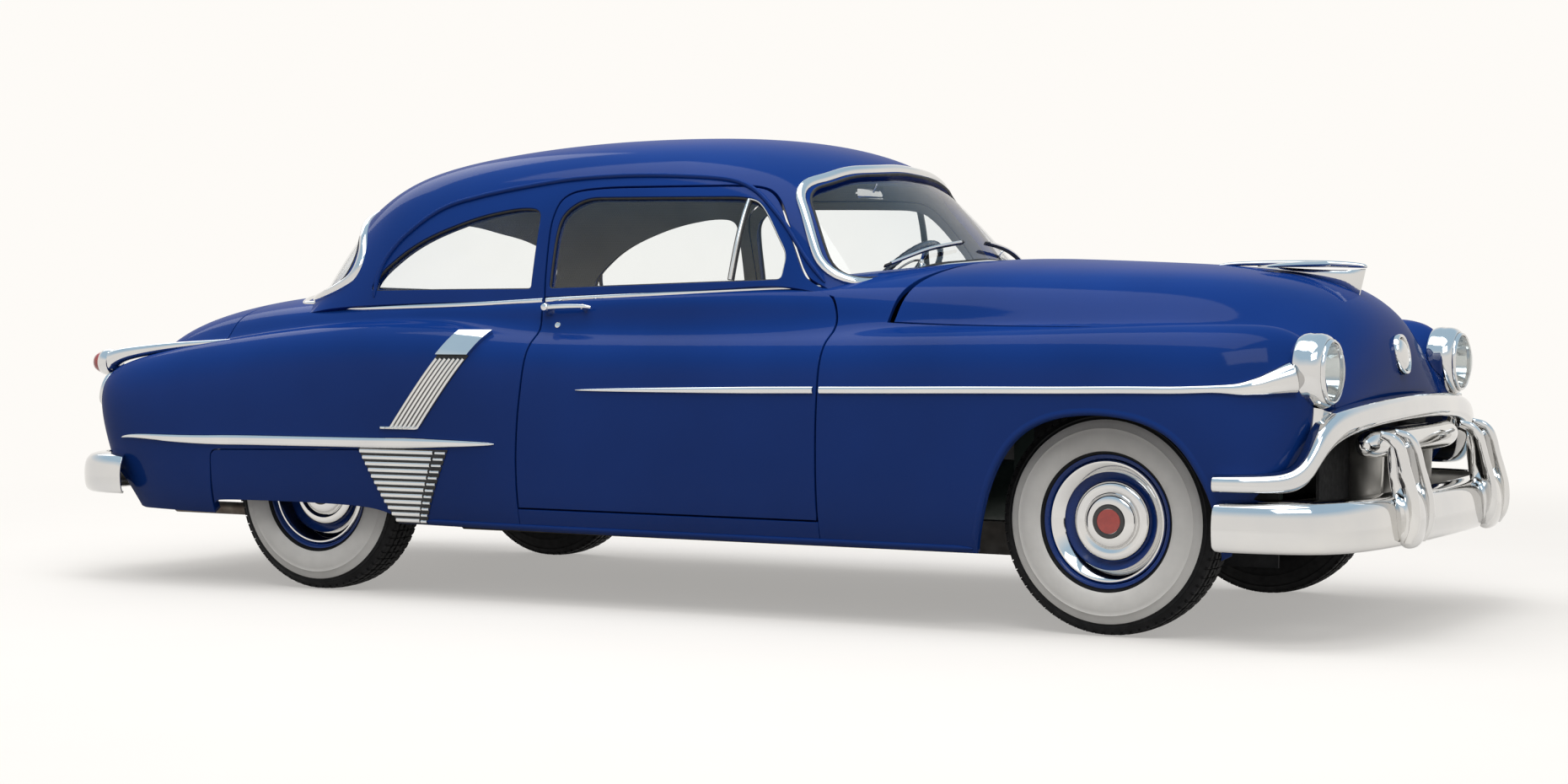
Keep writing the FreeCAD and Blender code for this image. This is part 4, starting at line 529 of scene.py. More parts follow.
def slab(surface, loops, depth, spacing=0.02, lip=None, marks=(0, 0)):
    """A panel on a surface within closed lines of stations and rows (the first outside, the rest
    holes): rolled edges, walls and an inner side. Marks are those of its outer and inner side."""
    loops = [spaced(loop, spacing, True, lambda q: surface.at(q[:, 0], q[:, 1])) for loop in loops]
    ways = surface.slopes(loops[0][:, 0], loops[0][:, 1])
    metric = np.array([np.linalg.norm(way, axis=1).mean() for way in ways])
    edges = [edge_rings(surface, loop, metric, number == 0, depth, lip) for number, loop in enumerate(loops)]
    uv, faces, where = filled(surface, [first for first, _ in edges], metric, spacing)
    spots, normal = surface.at(uv[:, 0], uv[:, 1]), surface.normal(uv[:, 0], uv[:, 1])
    a, b, c = faces[0][:3]
    if np.dot(np.cross(spots[b] - spots[a], spots[c] - spots[a]), normal[a]) < 0:
        faces = [f[::-1] for f in faces]
    vertices, directions = [spots], [normal]
    all_faces, ends = [list(f) for f in faces], []
    start, passed = len(spots), 0
    for first, group in edges:
        size = len(first)
        rim = [where[passed + i] for i in range(size)]
        passed += size
        previous = rim
        for spot, direction in group:
            vertices.append(spot)
            directions.append(direction)
            here = list(range(start, start + size))
            start += size
            all_faces += band(previous, here)
            previous = here
        ends.append((previous, rim))
    outer_count = len(all_faces)
    vertices.append(spots - normal * depth)
    directions.append(-normal)
    all_faces += [[i + start for i in f[::-1]] for f in faces]
    for last, rim in ends:
        all_faces += band(last, [i + start for i in rim])
    kinds = [marks[0]] * outer_count + [marks[1]] * (len(all_faces) - outer_count)
    vertices, directions = np.vstack(vertices), np.vstack(directions)
    for index in range(len(faces), len(all_faces)):
        f = all_faces[index]
        if len(f) == 4:
            p = vertices[f]
            if np.dot(np.cross(p[2] - p[0], p[3] - p[1]), directions[f].sum(0)) < 0:
                all_faces[index] = f[::-1]
    return vertices, all_faces, kinds, directions


def grid_faces(rows, columns, close_rows=False, close_columns=False):
    """Faces of a grid of vertices."""
    faces = []
    for i in range(rows if close_rows else rows - 1):
        for j in range(columns if close_columns else columns - 1):
            a, b = i * columns + j, i * columns + (j + 1) % columns
            c, d = ((i + 1) % rows) * columns + (j + 1) % columns, ((i + 1) % rows) * columns + j
            faces.append((a, b, c, d))
    return faces


def loft(rings, closed=False, caps=True):
    """A skin over closed rings of equally many points."""
    rings = np.asarray(rings, float)
    n, m = rings.shape[:2]
    faces = grid_faces(n, m, closed, True)
    vertices = rings.reshape(-1, 3)
    if caps and not closed:
        faces.append(tuple(range(m))[::-1])
        faces.append(tuple(range((n - 1) * m, n * m)))
    volume = sum(np.dot(vertices[f[0]], np.cross(vertices[f[1]], vertices[f[2]]))
                 for f in faces[:(n - 1) * m])
    if volume < 0:
        faces = [f[::-1] for f in faces]
    return vertices, faces


def sweep(line, section, up, scale=None, closed=False, caps=True):
    """A section (across, up) carried along a line; up gives the section's upward direction."""
    line = np.asarray(line, float)
    if closed:
        tangent = unit(np.roll(line, -1, 0) - np.roll(line, 1, 0))
    else:
        tangent = unit(np.gradient(line, axis=0))
    up = np.broadcast_to(np.asarray(up, float), line.shape)
    across = unit(np.cross(tangent, up))
    up = unit(np.cross(across, tangent))
    section = np.asarray(section, float)
    if scale is None:
        scale = np.ones((len(line), 2))
    scale = np.broadcast_to(np.asarray(scale, float).reshape(len(line), -1), (len(line), 2))
    rings = (line[:, None] + across[:, None] * (section[None, :, :1] * scale[:, None, :1])
             + up[:, None] * (section[None, :, 1:] * scale[:, None, 1:]))
    return loft(rings, closed, caps)


def ring_points(count, wide, high, power=2.0):
    """A closed oval section."""
    a = np.linspace(0, 2 * math.pi, count, endpoint=False)
    c, s = np.cos(a), np.sin(a)
    return np.stack((np.sign(c) * np.abs(c) ** (2 / power) * wide / 2,
                     np.sign(s) * np.abs(s) ** (2 / power) * high / 2), 1)


def lathe(profile, centre, axis, segments=96, marks=None):
    """A body turned about an axis through the centre, from (radius, along) pairs."""
    axis = unit(np.asarray(axis, float))
    helper = np.array([0, 0, 1.0]) if abs(axis[2]) < 0.9 else np.array([1.0, 0, 0])
    side = unit(np.cross(helper, axis))
    other = np.cross(axis, side)
    angle = np.linspace(0, 2 * math.pi, segments, endpoint=False)
    spokes = np.cos(angle)[:, None] * side + np.sin(angle)[:, None] * other
    profile = np.asarray(profile, float)
    points = np.asarray(centre, float) + profile[:, None, :1] * spokes + profile[:, None, 1:] * axis
    faces = grid_faces(len(profile), segments, False, True)
    kinds = []
    for i in range(len(profile) - 1):
        kinds += [0 if marks is None else marks[i]] * segments
    return points.reshape(-1, 3), faces, kinds


def block(low, high):
    """A box between two corners."""
    (x0, y0, z0), (x1, y1, z1) = low, high
    vertices = [(x, y, z) for x in (x0, x1) for y in (y0, y1) for z in (z0, z1)]
    faces = [(0, 1, 3, 2), (4, 6, 7, 5), (0, 4, 5, 1), (2, 3, 7, 6), (0, 2, 6, 4), (1, 5, 7, 3)]
    return np.array(vertices), faces


def group_mesh(name, shapes, materials, crease=35):
    """One mesh of several (vertices, faces[, marks]) shapes."""
    vertices, faces, marks, start = [], [], [], 0
    for shape in shapes:
        vertices.append(np.asarray(shape[0], float))
        faces += [tuple(i + start for i in f) for f in shape[1]]
        marks += list(shape[2]) if len(shape) > 2 else [0] * len(shape[1])
        start += len(shape[0])
    return mesh_of(name, np.vstack(vertices), faces, materials, marks, crease=crease)


def finishes(*names):
    """The materials of these names."""
    return [MATERIALS[name] for name in names]


def mirrored(shape):
    """A shape on the car's other side."""
    vertices = np.asarray(shape[0], float) * (1, -1, 1)
    return (vertices, [tuple(f)[::-1] for f in shape[1]]) + tuple(shape[2:])


# Outlines of the right side, in spaces: side view (x, z), end view (y, z)
DOOR = [(6.88, 3.30), (6.90, 5.00), (6.94, 8.43), (6.52, 10.35), (5.75, 10.80), (5.05, 11.15), (3.70, 13.30),
        (2.95, 14.05), (2.20, 14.24), (-3.60, 14.24), (-4.90, 14.05), (-5.08, 13.20), (-4.98, 12.20),
        (-4.80, 10.40), (-4.30, 8.40), (-4.55, 5.60), (-4.62, 3.30)]
DOOR_WINDOW = [(4.80, 11.10), (4.86, 11.95), (3.66, 13.66), (2.96, 13.90), (-3.30, 13.94), (-4.10, 13.40),
               (-4.22, 12.60), (-4.22, 10.80)]
QUARTER_WINDOW = [(-4.96, 10.78), (-4.95, 12.90), (-4.99, 13.56), (-5.90, 13.62), (-7.60, 13.35),
                  (-10.13, 12.50), (-11.70, 11.30), (-11.92, 10.72)]
FRONT_ARCH = [(12.55, 2.0), (12.68, 2.70), (13.16, 4.70), (13.96, 6.10), (15.10, 6.78), (16.60, 6.98),
              (18.20, 6.80), (19.40, 6.20), (20.20, 5.00), (20.60, 3.80), (20.75, 2.0)]
SKIRT = [(-17.90, 2.0), (-17.60, 4.99), (-10.83, 5.17), (-9.75, 3.38), (-9.60, 2.0)]
VALLEY = 6.97
HOOD_REAR = 7.99
DECK_FRONT = 16.5
DECK_REAR = 18.9
SHELF_FRONT = 15.2
LAST = 20.0
MID = 11.0
SHUT = 0.035
LID_GAP = 0.06
CUT_LINE = 6.34
# Heights where the door's outline passes the sill, the cowl's cut and the belt
SILL_TOP = 0.27
FRONT_CUT = 1.06
BELT_CUT = 1.045
# How deep the panels and panes are, from the outside in
SKIN_DEPTH = 0.018
REAR_DEPTH = 0.034
ROOF_DEPTH = 0.038
SILL_DEPTH = 0.06
DOOR_DEPTH = 0.07
PANE_DEPTH = 0.005


def metres(points):
    """Points in spaces, in metres."""
    return np.asarray(points, float) * SPACE


def grown(points, margin):
    """A closed outline pushed out from its middle by the margin."""
    points = np.asarray(points, float)
    after = unit(np.roll(points, -1, 0) - points)
    before = np.roll(after, 1, 0)
    area = np.sum(points[:, 0] * np.roll(points[:, 1], -1) - np.roll(points[:, 0], -1) * points[:, 1])
    turn = 1 if area > 0 else -1
    out = np.stack((before[:, 1] + after[:, 1], -before[:, 0] - after[:, 0]), 1) * turn
    return points + out * (margin * 2 / (out ** 2).sum(1))[:, None]


def dense(points, step=0.02, closed=False):
    """A line in a view with points at a step."""
    return spaced(points, step, closed, lambda q: np.pad(q, ((0, 0), (0, 1))))


def side_line(surface, points, rows, skew=0.0, stations=None):
    """Stations and rows under a line of the side view."""
    return found(surface, points, rows, side_view(skew), stations)


def along_row(row, start, end, count=60):
    """A line along a row."""
    u = np.linspace(start, end, count)
    return np.stack((u, u * 0 + row), 1)


def along_station(station, start, end, count=30):
    """A line along a station."""
    v = np.linspace(start, end, count)
    return np.stack((v * 0 + station, v), 1)


def sill_cut(line):
    """A side-view line found on the body, kept above the sill and brought down to it at its ends."""
    spots = side_line(BODY, line, (0.0, 7.0))
    kept = spots[spots[:, 1] > 0.02]
    ends = [np.array([[kept[k][0], 0.0]]) for k in (0, -1)]
    return np.vstack((ends[0], kept, ends[1]))


DOOR_LINE = rounded(metres(DOOR), [0, 0.3, 0.2, 0.12, 0.05, 0.05, 0.25, 0.1, 0.1, 0.12, 0.1, 0.1, 0.3, 0.3,
                                   0.3, 0.3, 0])
DOOR_HOLE = grown(DOOR_LINE, 0.006)
WINDOW_LINE = rounded(metres(DOOR_WINDOW), [0.02, 0.03, 0.16, 0.06, 0.06, 0.06, 0.06, 0.015])
QUARTER_LINE = rounded(metres(QUARTER_WINDOW), [0.015, 0.3, 0.06, 0.06, 0.1, 0.25, 0.07, 0.02])


def door_part(line, front):
    """The front or the rear edge of the door's outline, from its foot up."""
    top = int(np.argmax(line[:, 1]))
    return line[:top] if front else line[top:][::-1]


def door_edge(hole, front, low, high):
    """Stations and rows of the door's front or rear edge on the body, from a height to a height."""
    line = dense(door_part(DOOR_HOLE if hole else DOOR_LINE, front))
    line = line[(line[:, 1] >= low) & (line[:, 1] <= high)]
    return side_line(BODY, line, (0.0, 9.2), DOOR_SKEW, (7.0, 14.0))


def front_body_half():
    """Half of the fenders and cowl, from the hood's rear edge round to the cowl's rear edge."""
    edge = door_edge(True, True, SILL_TOP, FRONT_CUT)
    arch = sill_cut(dense(rounded(metres(FRONT_ARCH), 0.25, False)))[::-1]
    foot = edge[0].copy()
    foot[1] = 0.0
    rear = 9.4
    v = np.linspace(8.0, 10.0, 81)
    reach = v[np.argmin(np.abs(np.abs(BODY.at(rear + 0 * v, v)[:, 1]) - CUT_LINE * SPACE))]
    turn = edge[-1]
    return np.vstack((along_station(HOOD_REAR + SHUT, MID, VALLEY),
                      along_row(VALLEY, HOOD_REAR + SHUT, 0.0)[1:], along_station(0.0, VALLEY, 0.0)[1:],
                      along_row(0.0, 0.0, arch[0][0], 20)[1:-1], arch,
                      along_row(0.0, arch[-1][0], foot[0], 20)[1:], edge,
                      np.linspace(turn, [rear, reach], 12)[1:], along_station(rear, reach, MID)[1:]))


def rear_body_half():
    """Half of the quarters and shelf, from the lid's front edge round to the shelf's front edge."""
    edge = door_edge(True, False, SILL_TOP, BELT_CUT)
    skirt = grown(metres(SKIRT), 0.0015)
    skirt = sill_cut(dense(rounded(skirt, [0, 0.03, 0.03, 0.02, 0], False)))
    foot = edge[0].copy()
    foot[1] = 0.0
    top = edge[-1].copy()
    top[1] = 8.6
    return np.vstack((along_station(DECK_FRONT - SHUT / 3, MID, VALLEY),
                      along_row(VALLEY, DECK_FRONT - SHUT / 3, LAST)[1:],
                      along_station(LAST, VALLEY, 0.0)[1:], along_row(0.0, LAST, skirt[0][0], 20)[1:-1],
                      skirt, along_row(0.0, skirt[-1][0], foot[0], 20)[1:], edge, [top],
                      along_row(8.6, top[0], SHELF_FRONT)[1:], along_station(SHELF_FRONT, 8.6, MID)[1:]))


def patch(u_from, u_to, v_from, v_to):
    """A rectangle of stations and rows."""
    return np.vstack((along_station(u_from, v_from, v_to, 40)[:-1], along_row(v_to, u_from, u_to)[:-1],
                      along_station(u_to, v_to, v_from, 40)[:-1], along_row(v_from, u_to, u_from)[:-1]))


def flipped(line, rows):
    """A closed line of stations and rows on the car's other side."""
    out = line[::-1].copy()
    out[:, 1] = rows - out[:, 1]
    return out


SIDES = (("right", lambda line, rows: line, lambda shape: shape), ("left", flipped, mirrored))


def arch_lift(spots):
    """How much of a raised lip the edge has at each point: all of it round the wheel opening."""
    near = np.hypot(spots[:, 0] - 1.66, spots[:, 2] - 0.27)
    side = np.abs(spots[:, 1]) > 0.85
    on = side & (near < 0.47) & (spots[:, 2] > 0.256)
    return on * np.clip((spots[:, 2] - 0.256) / 0.05, 0, 1)


def panel_object(name, parts, materials, body, stands_for):
    """A body panel from slabs."""
    vertices, faces, marks, normals = merged(parts)
    mesh = mesh_of(name, vertices, faces, materials, marks, normals)
    return place_object(name, mesh, body, stands_for)


def door_outlines():
    """The outlines of the right door's panel below the belt, and of its window frame."""
    front = door_edge(False, True, 0.345, FRONT_CUT)
    rear = door_edge(False, False, 0.345, BELT_CUT)
    low = np.stack((np.linspace(0.688, -0.462, 40), np.full(40, 0.333)), 1)
    low = side_line(BODY, low, (0.3, 2.0), DOOR_SKEW)
    top = along_row(8.62, rear[-1][0], front[-1][0])
    return np.vstack((low, rear, top, front[::-1])), frame_edge(DOOR_LINE)


def frame_edge(outline):
    """The part of the door's outline over the belt, as stations and rows of the roof."""
    line = dense(outline)
    return side_line(ROOF, line[line[:, 1] > BELT_CUT], (0.0, 4.0), DOOR_SKEW)


def roof_half():
    """Half of the roof's outline, with the door's opening."""
    cut = frame_edge(DOOR_HOLE)
    first, last = cut[0], cut[-1]
    return np.vstack((along_station(0.0, 4.0, 0.0), along_row(0.0, 0.0, first[0], 20)[1:], cut,
                      along_row(0.0, last[0], 9.0), along_station(9.0, 0.0, 4.0)[1:]))


# Materials

def node(tree, kind, inputs=(), **settings):
    """A shader node with its settings and inputs; an input may be a socket to link from."""
    made = tree.nodes.new(kind)
    for key, value in settings.items():
        setattr(made, key, value)
    for key, value in dict(inputs).items():
        if isinstance(value, bpy.types.NodeSocket):
            tree.links.new(value, made.inputs[key])
        else:
            made.inputs[key].default_value = value
    return made


def noise(tree, scale, detail=2.0, stretch=(1, 1, 1)):
    """Noise on the object's own coordinates, so many cells to the metre."""
    place = node(tree, "ShaderNodeTexCoord").outputs["Object"]
    mapped = node(tree, "ShaderNodeMapping", {"Vector": place, "Scale": stretch}).outputs[0]
    return node(tree, "ShaderNodeTexNoise", {"Vector": mapped, "Scale": scale,
                                             "Detail": detail}).outputs["Fac"]


def span(tree, value, low, high, start=0.3, end=0.7):
    """A noise brought to a range."""
    return node(tree, "ShaderNodeMapRange", {"Value": value, "From Min": start, "From Max": end,
                                             "To Min": low, "To Max": high}).outputs["Result"]


def blended(tree, fac, first, second):
    """A colour between two, by a value."""
    made = tree.nodes.new("ShaderNodeMix")
    made.data_type = "RGBA"
    tree.links.new(fac, made.inputs[0])
    for socket, value in ((made.inputs[6], first), (made.inputs[7], second)):
        if isinstance(value, bpy.types.NodeSocket):
            tree.links.new(value, socket)
        else:
            socket.default_value = tuple(value) + (1.0,)
    return made.outputs[2]


def maths(tree, operation, first, second, **settings):
    """Two values brought together by an operation."""
    return node(tree, "ShaderNodeMath", {0: first, 1: second}, operation=operation, **settings).outputs[0]


def mixed(tree, fac, first, second):
    """One shader mixed into another by a value."""
    made = tree.nodes.new("ShaderNodeMixShader")
    for socket, value in zip(made.inputs, (fac, first, second)):
        tree.links.new(value, socket)
    return made.outputs[0]


def new_material(name):
    """A material with its nodes: itself, its tree and its shader."""
    made = bpy.data.materials.new(name)
    made.use_nodes = True
    return made, made.node_tree, made.node_tree.nodes["Principled BSDF"]


def times(color, share):
    """A colour made lighter or darker."""
    return tuple(c * share for c in color)


def finish(name, first, second, patches, rough, grain=None, **constants):
    """A finish whose colour drifts between two over patches of a size, with a roughness range and
    a fine grain of (size, depth); the rest are constants on the shader's own sockets."""
    made, tree, shader = new_material(name)
    drift = noise(tree, 1 / patches, 3.0)
    tree.links.new(blended(tree, span(tree, drift, 0, 1), first, second), shader.inputs["Base Color"])
    tree.links.new(span(tree, noise(tree, 2.3 / patches), rough[0], rough[1]), shader.inputs["Roughness"])
    if grain:
        fine = noise(tree, 1 / grain[0], 2.0)
        bump = node(tree, "ShaderNodeBump", {"Height": fine, "Strength": 0.6, "Distance": grain[1]})
        tree.links.new(bump.outputs[0], shader.inputs["Normal"])
    for key, value in constants.items():
        shader.inputs[key.replace("_", " ")].default_value = value
    return made


def pane(name, tint, haze):
    """Thin clear glass: it shows what is behind through its tint, and shines at a glancing angle."""
    made, tree, _ = new_material(name)
    tree.nodes.clear()
    edge = node(tree, "ShaderNodeFresnel", {"IOR": 1.5}).outputs[0]
    back = node(tree, "ShaderNodeNewGeometry").outputs["Backfacing"]
    front = maths(tree, "SUBTRACT", 1.0, back)
    clean = node(tree, "ShaderNodeBsdfTransparent", {"Color": tuple(tint) + (1.0,)})
    shine = node(tree, "ShaderNodeBsdfGlossy", {"Roughness": 0.02})
    dust = span(tree, noise(tree, 9.0, 4.0), 0.0, haze)
    lit = maths(tree, "MULTIPLY", maths(tree, "ADD", edge, dust, use_clamp=True), front)
    surface = mixed(tree, lit, clean.outputs[0], shine.outputs[0])
    node(tree, "ShaderNodeOutputMaterial", {"Surface": surface})
    return made


def cloth(name, first, second, thread):
    """Woven cloth: two sets of threads crossing, with a soft sheen."""
    made, tree, shader = new_material(name)
    place = node(tree, "ShaderNodeTexCoord").outputs["Object"]
    waves = []
    for turn in (0.0, math.pi / 2):
        mapped = node(tree, "ShaderNodeMapping", {"Vector": place, "Rotation": (turn, turn, turn)}).outputs[0]
        waves.append(node(tree, "ShaderNodeTexWave", {"Vector": mapped, "Scale": 0.1 / thread,
                                                      "Distortion": 0.6}).outputs["Fac"])
    weave = maths(tree, "MAXIMUM", *waves)
    worn = maths(tree, "MULTIPLY", weave, noise(tree, 6.0, 4.0))
    tree.links.new(blended(tree, span(tree, worn, 0, 1, 0.1, 0.6), first, second),
                   shader.inputs["Base Color"])
    bump = node(tree, "ShaderNodeBump", {"Height": weave, "Strength": 0.5, "Distance": thread / 2})
    tree.links.new(bump.outputs[0], shader.inputs["Normal"])
    shader.inputs["Roughness"].default_value = 0.9
    shader.inputs["Sheen Weight"].default_value = 0.4
    return made


MATERIALS = {}


def make_materials(s):
    """All the finishes, from the sedan's settings."""
    paint, dark = tuple(s.paint), times(s.paint, 0.82)
    made = MATERIALS
    made["paint"] = finish("body_enamel", paint, dark, 0.6, (0.32, 0.42), (0.004, 0.00003), Coat_Weight=0.2,
                           Coat_Roughness=0.08, Specular_IOR_Level=0.0)
    made["inner"] = finish("inner_enamel", times(s.paint, 0.55), times(s.paint, 0.4), 0.3, (0.5, 0.7),
                           (0.003, 0.0001))
    made["chrome"] = finish("bright_plate", (0.70, 0.69, 0.67), (0.63, 0.63, 0.63), 0.25, (0.04, 0.09),
                            (0.02, 0.00002), Metallic=1.0)
    made["steel"] = finish("dull_plate", (0.52, 0.51, 0.48), (0.42, 0.41, 0.39), 0.08, (0.28, 0.42),
                           (0.004, 0.0001), Metallic=1.0)
    made["black"] = finish("black_enamel", (0.012, 0.012, 0.013), (0.02, 0.02, 0.021), 0.1, (0.3, 0.42),
                           (0.003, 0.00005), Coat_Weight=0.4)
    # The near-black matt sheet behind the grille bar is painted shade: it stands for the shaded opening.
    made["void"] = finish("opening_shade_sheet", (0.006, 0.006, 0.007), (0.012, 0.012, 0.013), 0.05, (0.7, 0.9),
                          (0.006, 0.0006))
    made["rubber"] = finish("tyre_rubber_black", (0.0060, 0.0060, 0.0066), (0.011, 0.011, 0.012), 0.06,
                            (0.62, 0.8), (0.003, 0.0003), Specular_IOR_Level=0.22)
    made["seal"] = finish("rubber_seal", (0.015, 0.015, 0.016), (0.025, 0.025, 0.026), 0.04, (0.55, 0.7),
                          (0.002, 0.0002))
    made["whitewall"] = finish("pale_sidewall", tuple(s.whitewall), times(s.whitewall, 0.93), 0.05,
                               (0.5, 0.66), (0.002, 0.00015))
    made["wheel"] = finish("wheel_enamel", paint, dark, 0.1, (0.22, 0.3), (0.004, 0.00003), Coat_Weight=0.2,
                           Coat_Roughness=0.04, Specular_IOR_Level=0.2)
    made["red"] = finish("red_enamel", (0.62, 0.025, 0.008), (0.5, 0.015, 0.006), 0.02, (0.15, 0.25),
                         (0.002, 0.00003), Coat_Weight=1.0)
    made["chassis"] = finish("chassis_black", (0.022, 0.022, 0.022), (0.05, 0.042, 0.034), 0.12, (0.5, 0.78),
                             (0.005, 0.0003))
    made["iron"] = finish("engine_enamel", (0.05, 0.085, 0.07), (0.03, 0.05, 0.045), 0.07, (0.45, 0.6),
                          (0.004, 0.0005))
    made["pipe"] = finish("pipe_steel", (0.20, 0.17, 0.14), (0.11, 0.085, 0.07), 0.05, (0.45, 0.7),
                          (0.004, 0.0003), Metallic=0.8)
    made["dash"] = finish("dash_enamel", tuple(s.trim_gray), times(s.trim_gray, 0.85), 0.2, (0.3, 0.4),
                          (0.003, 0.00004), Coat_Weight=0.6)
    # The headliner cloth is 3 to 3.6 times the trim grey: painted light that makes up for the dim cabin. It
    # also covers the inner sides of the doors and roof, and the visors.
    made["liner"] = cloth("painted_light_headliner", times(s.trim_gray, 3.0), times(s.trim_gray, 3.6), 0.002)
    made["seat"] = cloth("seat_weave", times(s.seat_gray, 0.62), times(s.seat_gray, 1.15), 0.003)
    made["plastic"] = finish("dark_plastic", (0.035, 0.05, 0.085), (0.03, 0.04, 0.07), 0.06, (0.18, 0.26),
                             (0.004, 0.00003), Coat_Weight=0.6)
    made["glass"] = pane("window_pane", (0.985, 0.993, 0.993), 0.015)
    made["lamp"] = pane("lamp_pane", (0.93, 0.95, 0.95), 0.12)
    made["lens"] = finish("red_lens", (0.62, 0.015, 0.01), (0.5, 0.01, 0.008), 0.02, (0.06, 0.12),
                          (0.003, 0.0002), Transmission_Weight=0.35, Coat_Weight=0.5)
    made["plate"] = finish("plate_enamel", (0.62, 0.60, 0.55), (0.55, 0.53, 0.48), 0.05, (0.35, 0.5),
                           (0.003, 0.00005))
    made["dial"] = finish("dial_enamel", (0.55, 0.53, 0.46), (0.50, 0.48, 0.42), 0.03, (0.3, 0.4),
                          (0.002, 0.00003))
    made["card"] = cloth("trim_card_cloth", times(s.trim_gray, 0.62), times(s.trim_gray, 0.88), 0.003)
    made["floor"] = finish("floor_matting", (0.03, 0.033, 0.038), (0.05, 0.053, 0.058), 0.03, (0.8, 0.95),
                           (0.004, 0.0012), Sheen_Weight=0.2)
    made["under"] = finish("under_coat", (0.015, 0.016, 0.019), (0.03, 0.03, 0.032), 0.08, (0.75, 0.95),
                           (0.004, 0.001))
    made["amber"] = finish("clear_lens", (0.75, 0.62, 0.45), (0.6, 0.5, 0.36), 0.02, (0.1, 0.2),
                           (0.003, 0.0003), Coat_Weight=0.5)


# Repeating pieces by Geometry Nodes

def tree_of(name, sockets):
    """An empty Geometry Nodes tree with a geometry in and out and named inputs (name, type, default)."""
    tree = bpy.data.node_groups.new(name, "GeometryNodeTree")
    tree.interface.new_socket("Geometry", in_out="INPUT", socket_type="NodeSocketGeometry")
    tree.interface.new_socket("Geometry", in_out="OUTPUT", socket_type="NodeSocketGeometry")
    for label, kind, default in sockets:
        item = tree.interface.new_socket(label, in_out="INPUT", socket_type="NodeSocket" + kind)
        if default is not None:
            item.default_value = default
    return tree, tree.nodes.new("NodeGroupInput"), tree.nodes.new("NodeGroupOutput")


TREES = {}


def make_trees():
    """The node tree that repeats shapes."""
    TREES["ring"] = ring_tree()


def ring_tree():
    """Copies of the shape turned round the car's Y axis through a centre."""
    tree, source, sink = tree_of("ring_of_copies", (("Count", "Int", 12), ("Centre", "Vector", None),
                                                    ("Material", "Material", None)))
    points = node(tree, "GeometryNodePoints", {"Count": source.outputs["Count"],
                                               "Position": source.outputs["Centre"]})
    index = node(tree, "GeometryNodeInputIndex").outputs[0]
    angle = maths(tree, "MULTIPLY", maths(tree, "DIVIDE", index, source.outputs["Count"]), 2 * math.pi)
    turn = node(tree, "ShaderNodeCombineXYZ", {"Y": angle}).outputs[0]
    copies = node(tree, "GeometryNodeInstanceOnPoints", {"Points": points.outputs[0],
                                                         "Instance": source.outputs["Geometry"],
                                                         "Rotation": turn})
    real = node(tree, "GeometryNodeRealizeInstances", {"Geometry": copies.outputs[0]})
    done = node(tree, "GeometryNodeSetMaterial", {"Geometry": real.outputs[0],
                                                  "Material": source.outputs["Material"]})
    tree.links.new(done.outputs[0], sink.inputs[0])
    return tree


def repeated(name, shape, tree, inputs, crease=35):
    """A plain mesh of a shape repeated by a tree with the given inputs."""
    seed = bpy.data.objects.new(name + "_seed", mesh_of(name + "_seed", shape[0], shape[1], [],
                                                        crease=crease))
    bpy.context.scene.collection.objects.link(seed)
    modifier = seed.modifiers.new("copies", "NODES")
    modifier.node_group = tree
    sockets = {item.name: item.identifier for item in tree.interface.items_tree if item.in_out == "INPUT"}
    for key, value in inputs.items():
        modifier[sockets[key]] = value
    bpy.context.view_layer.update()
    mesh = bpy.data.meshes.new_from_object(seed.evaluated_get(bpy.context.evaluated_depsgraph_get()))
    bpy.data.objects.remove(seed)
    mesh.name = name
    return mesh


def joined_meshes(name, meshes):
    """Several meshes as one, with their materials."""
    whole, materials = bmesh.new(), []
    for mesh in meshes:
        start = len(whole.faces)
        whole.from_mesh(mesh)
        whole.faces.ensure_lookup_table()
        for item in mesh.materials:
            if item not in materials:
                materials.append(item)
        for face in whole.faces[start:]:
            face.material_index = materials.index(mesh.materials[face.material_index])
    joined = bpy.data.meshes.new(name)
    whole.to_mesh(joined)
    whole.free()
    for item in materials:
        joined.materials.append(item)
    return joined


# Wheels and tyres

TYRE_HALF = [(0.1985, 0.0655), (0.2035, 0.0705), (0.2100, 0.0735), (0.2125, 0.0800), (0.2180, 0.0835),
             (0.2200, 0.0868), (0.2350, 0.0925), (0.2500, 0.0955), (0.2650, 0.0965), (0.2790, 0.0958),
             (0.2890, 0.0940), (0.2915, 0.0950), (0.2940, 0.0930), (0.3060, 0.0890), (0.3180, 0.0835),
             (0.3290, 0.0775), (0.3310, 0.0785), (0.3330, 0.0755), (0.3420, 0.0695), (0.3485, 0.0635),
             (0.3505, 0.0560), (0.3512, 0.0300)]
TYRE_WHITE = (5, 14)
AXLE_HEIGHT = 0.358
AXLES = (("front", 1.660, 0.725), ("rear", -1.375, 0.750))


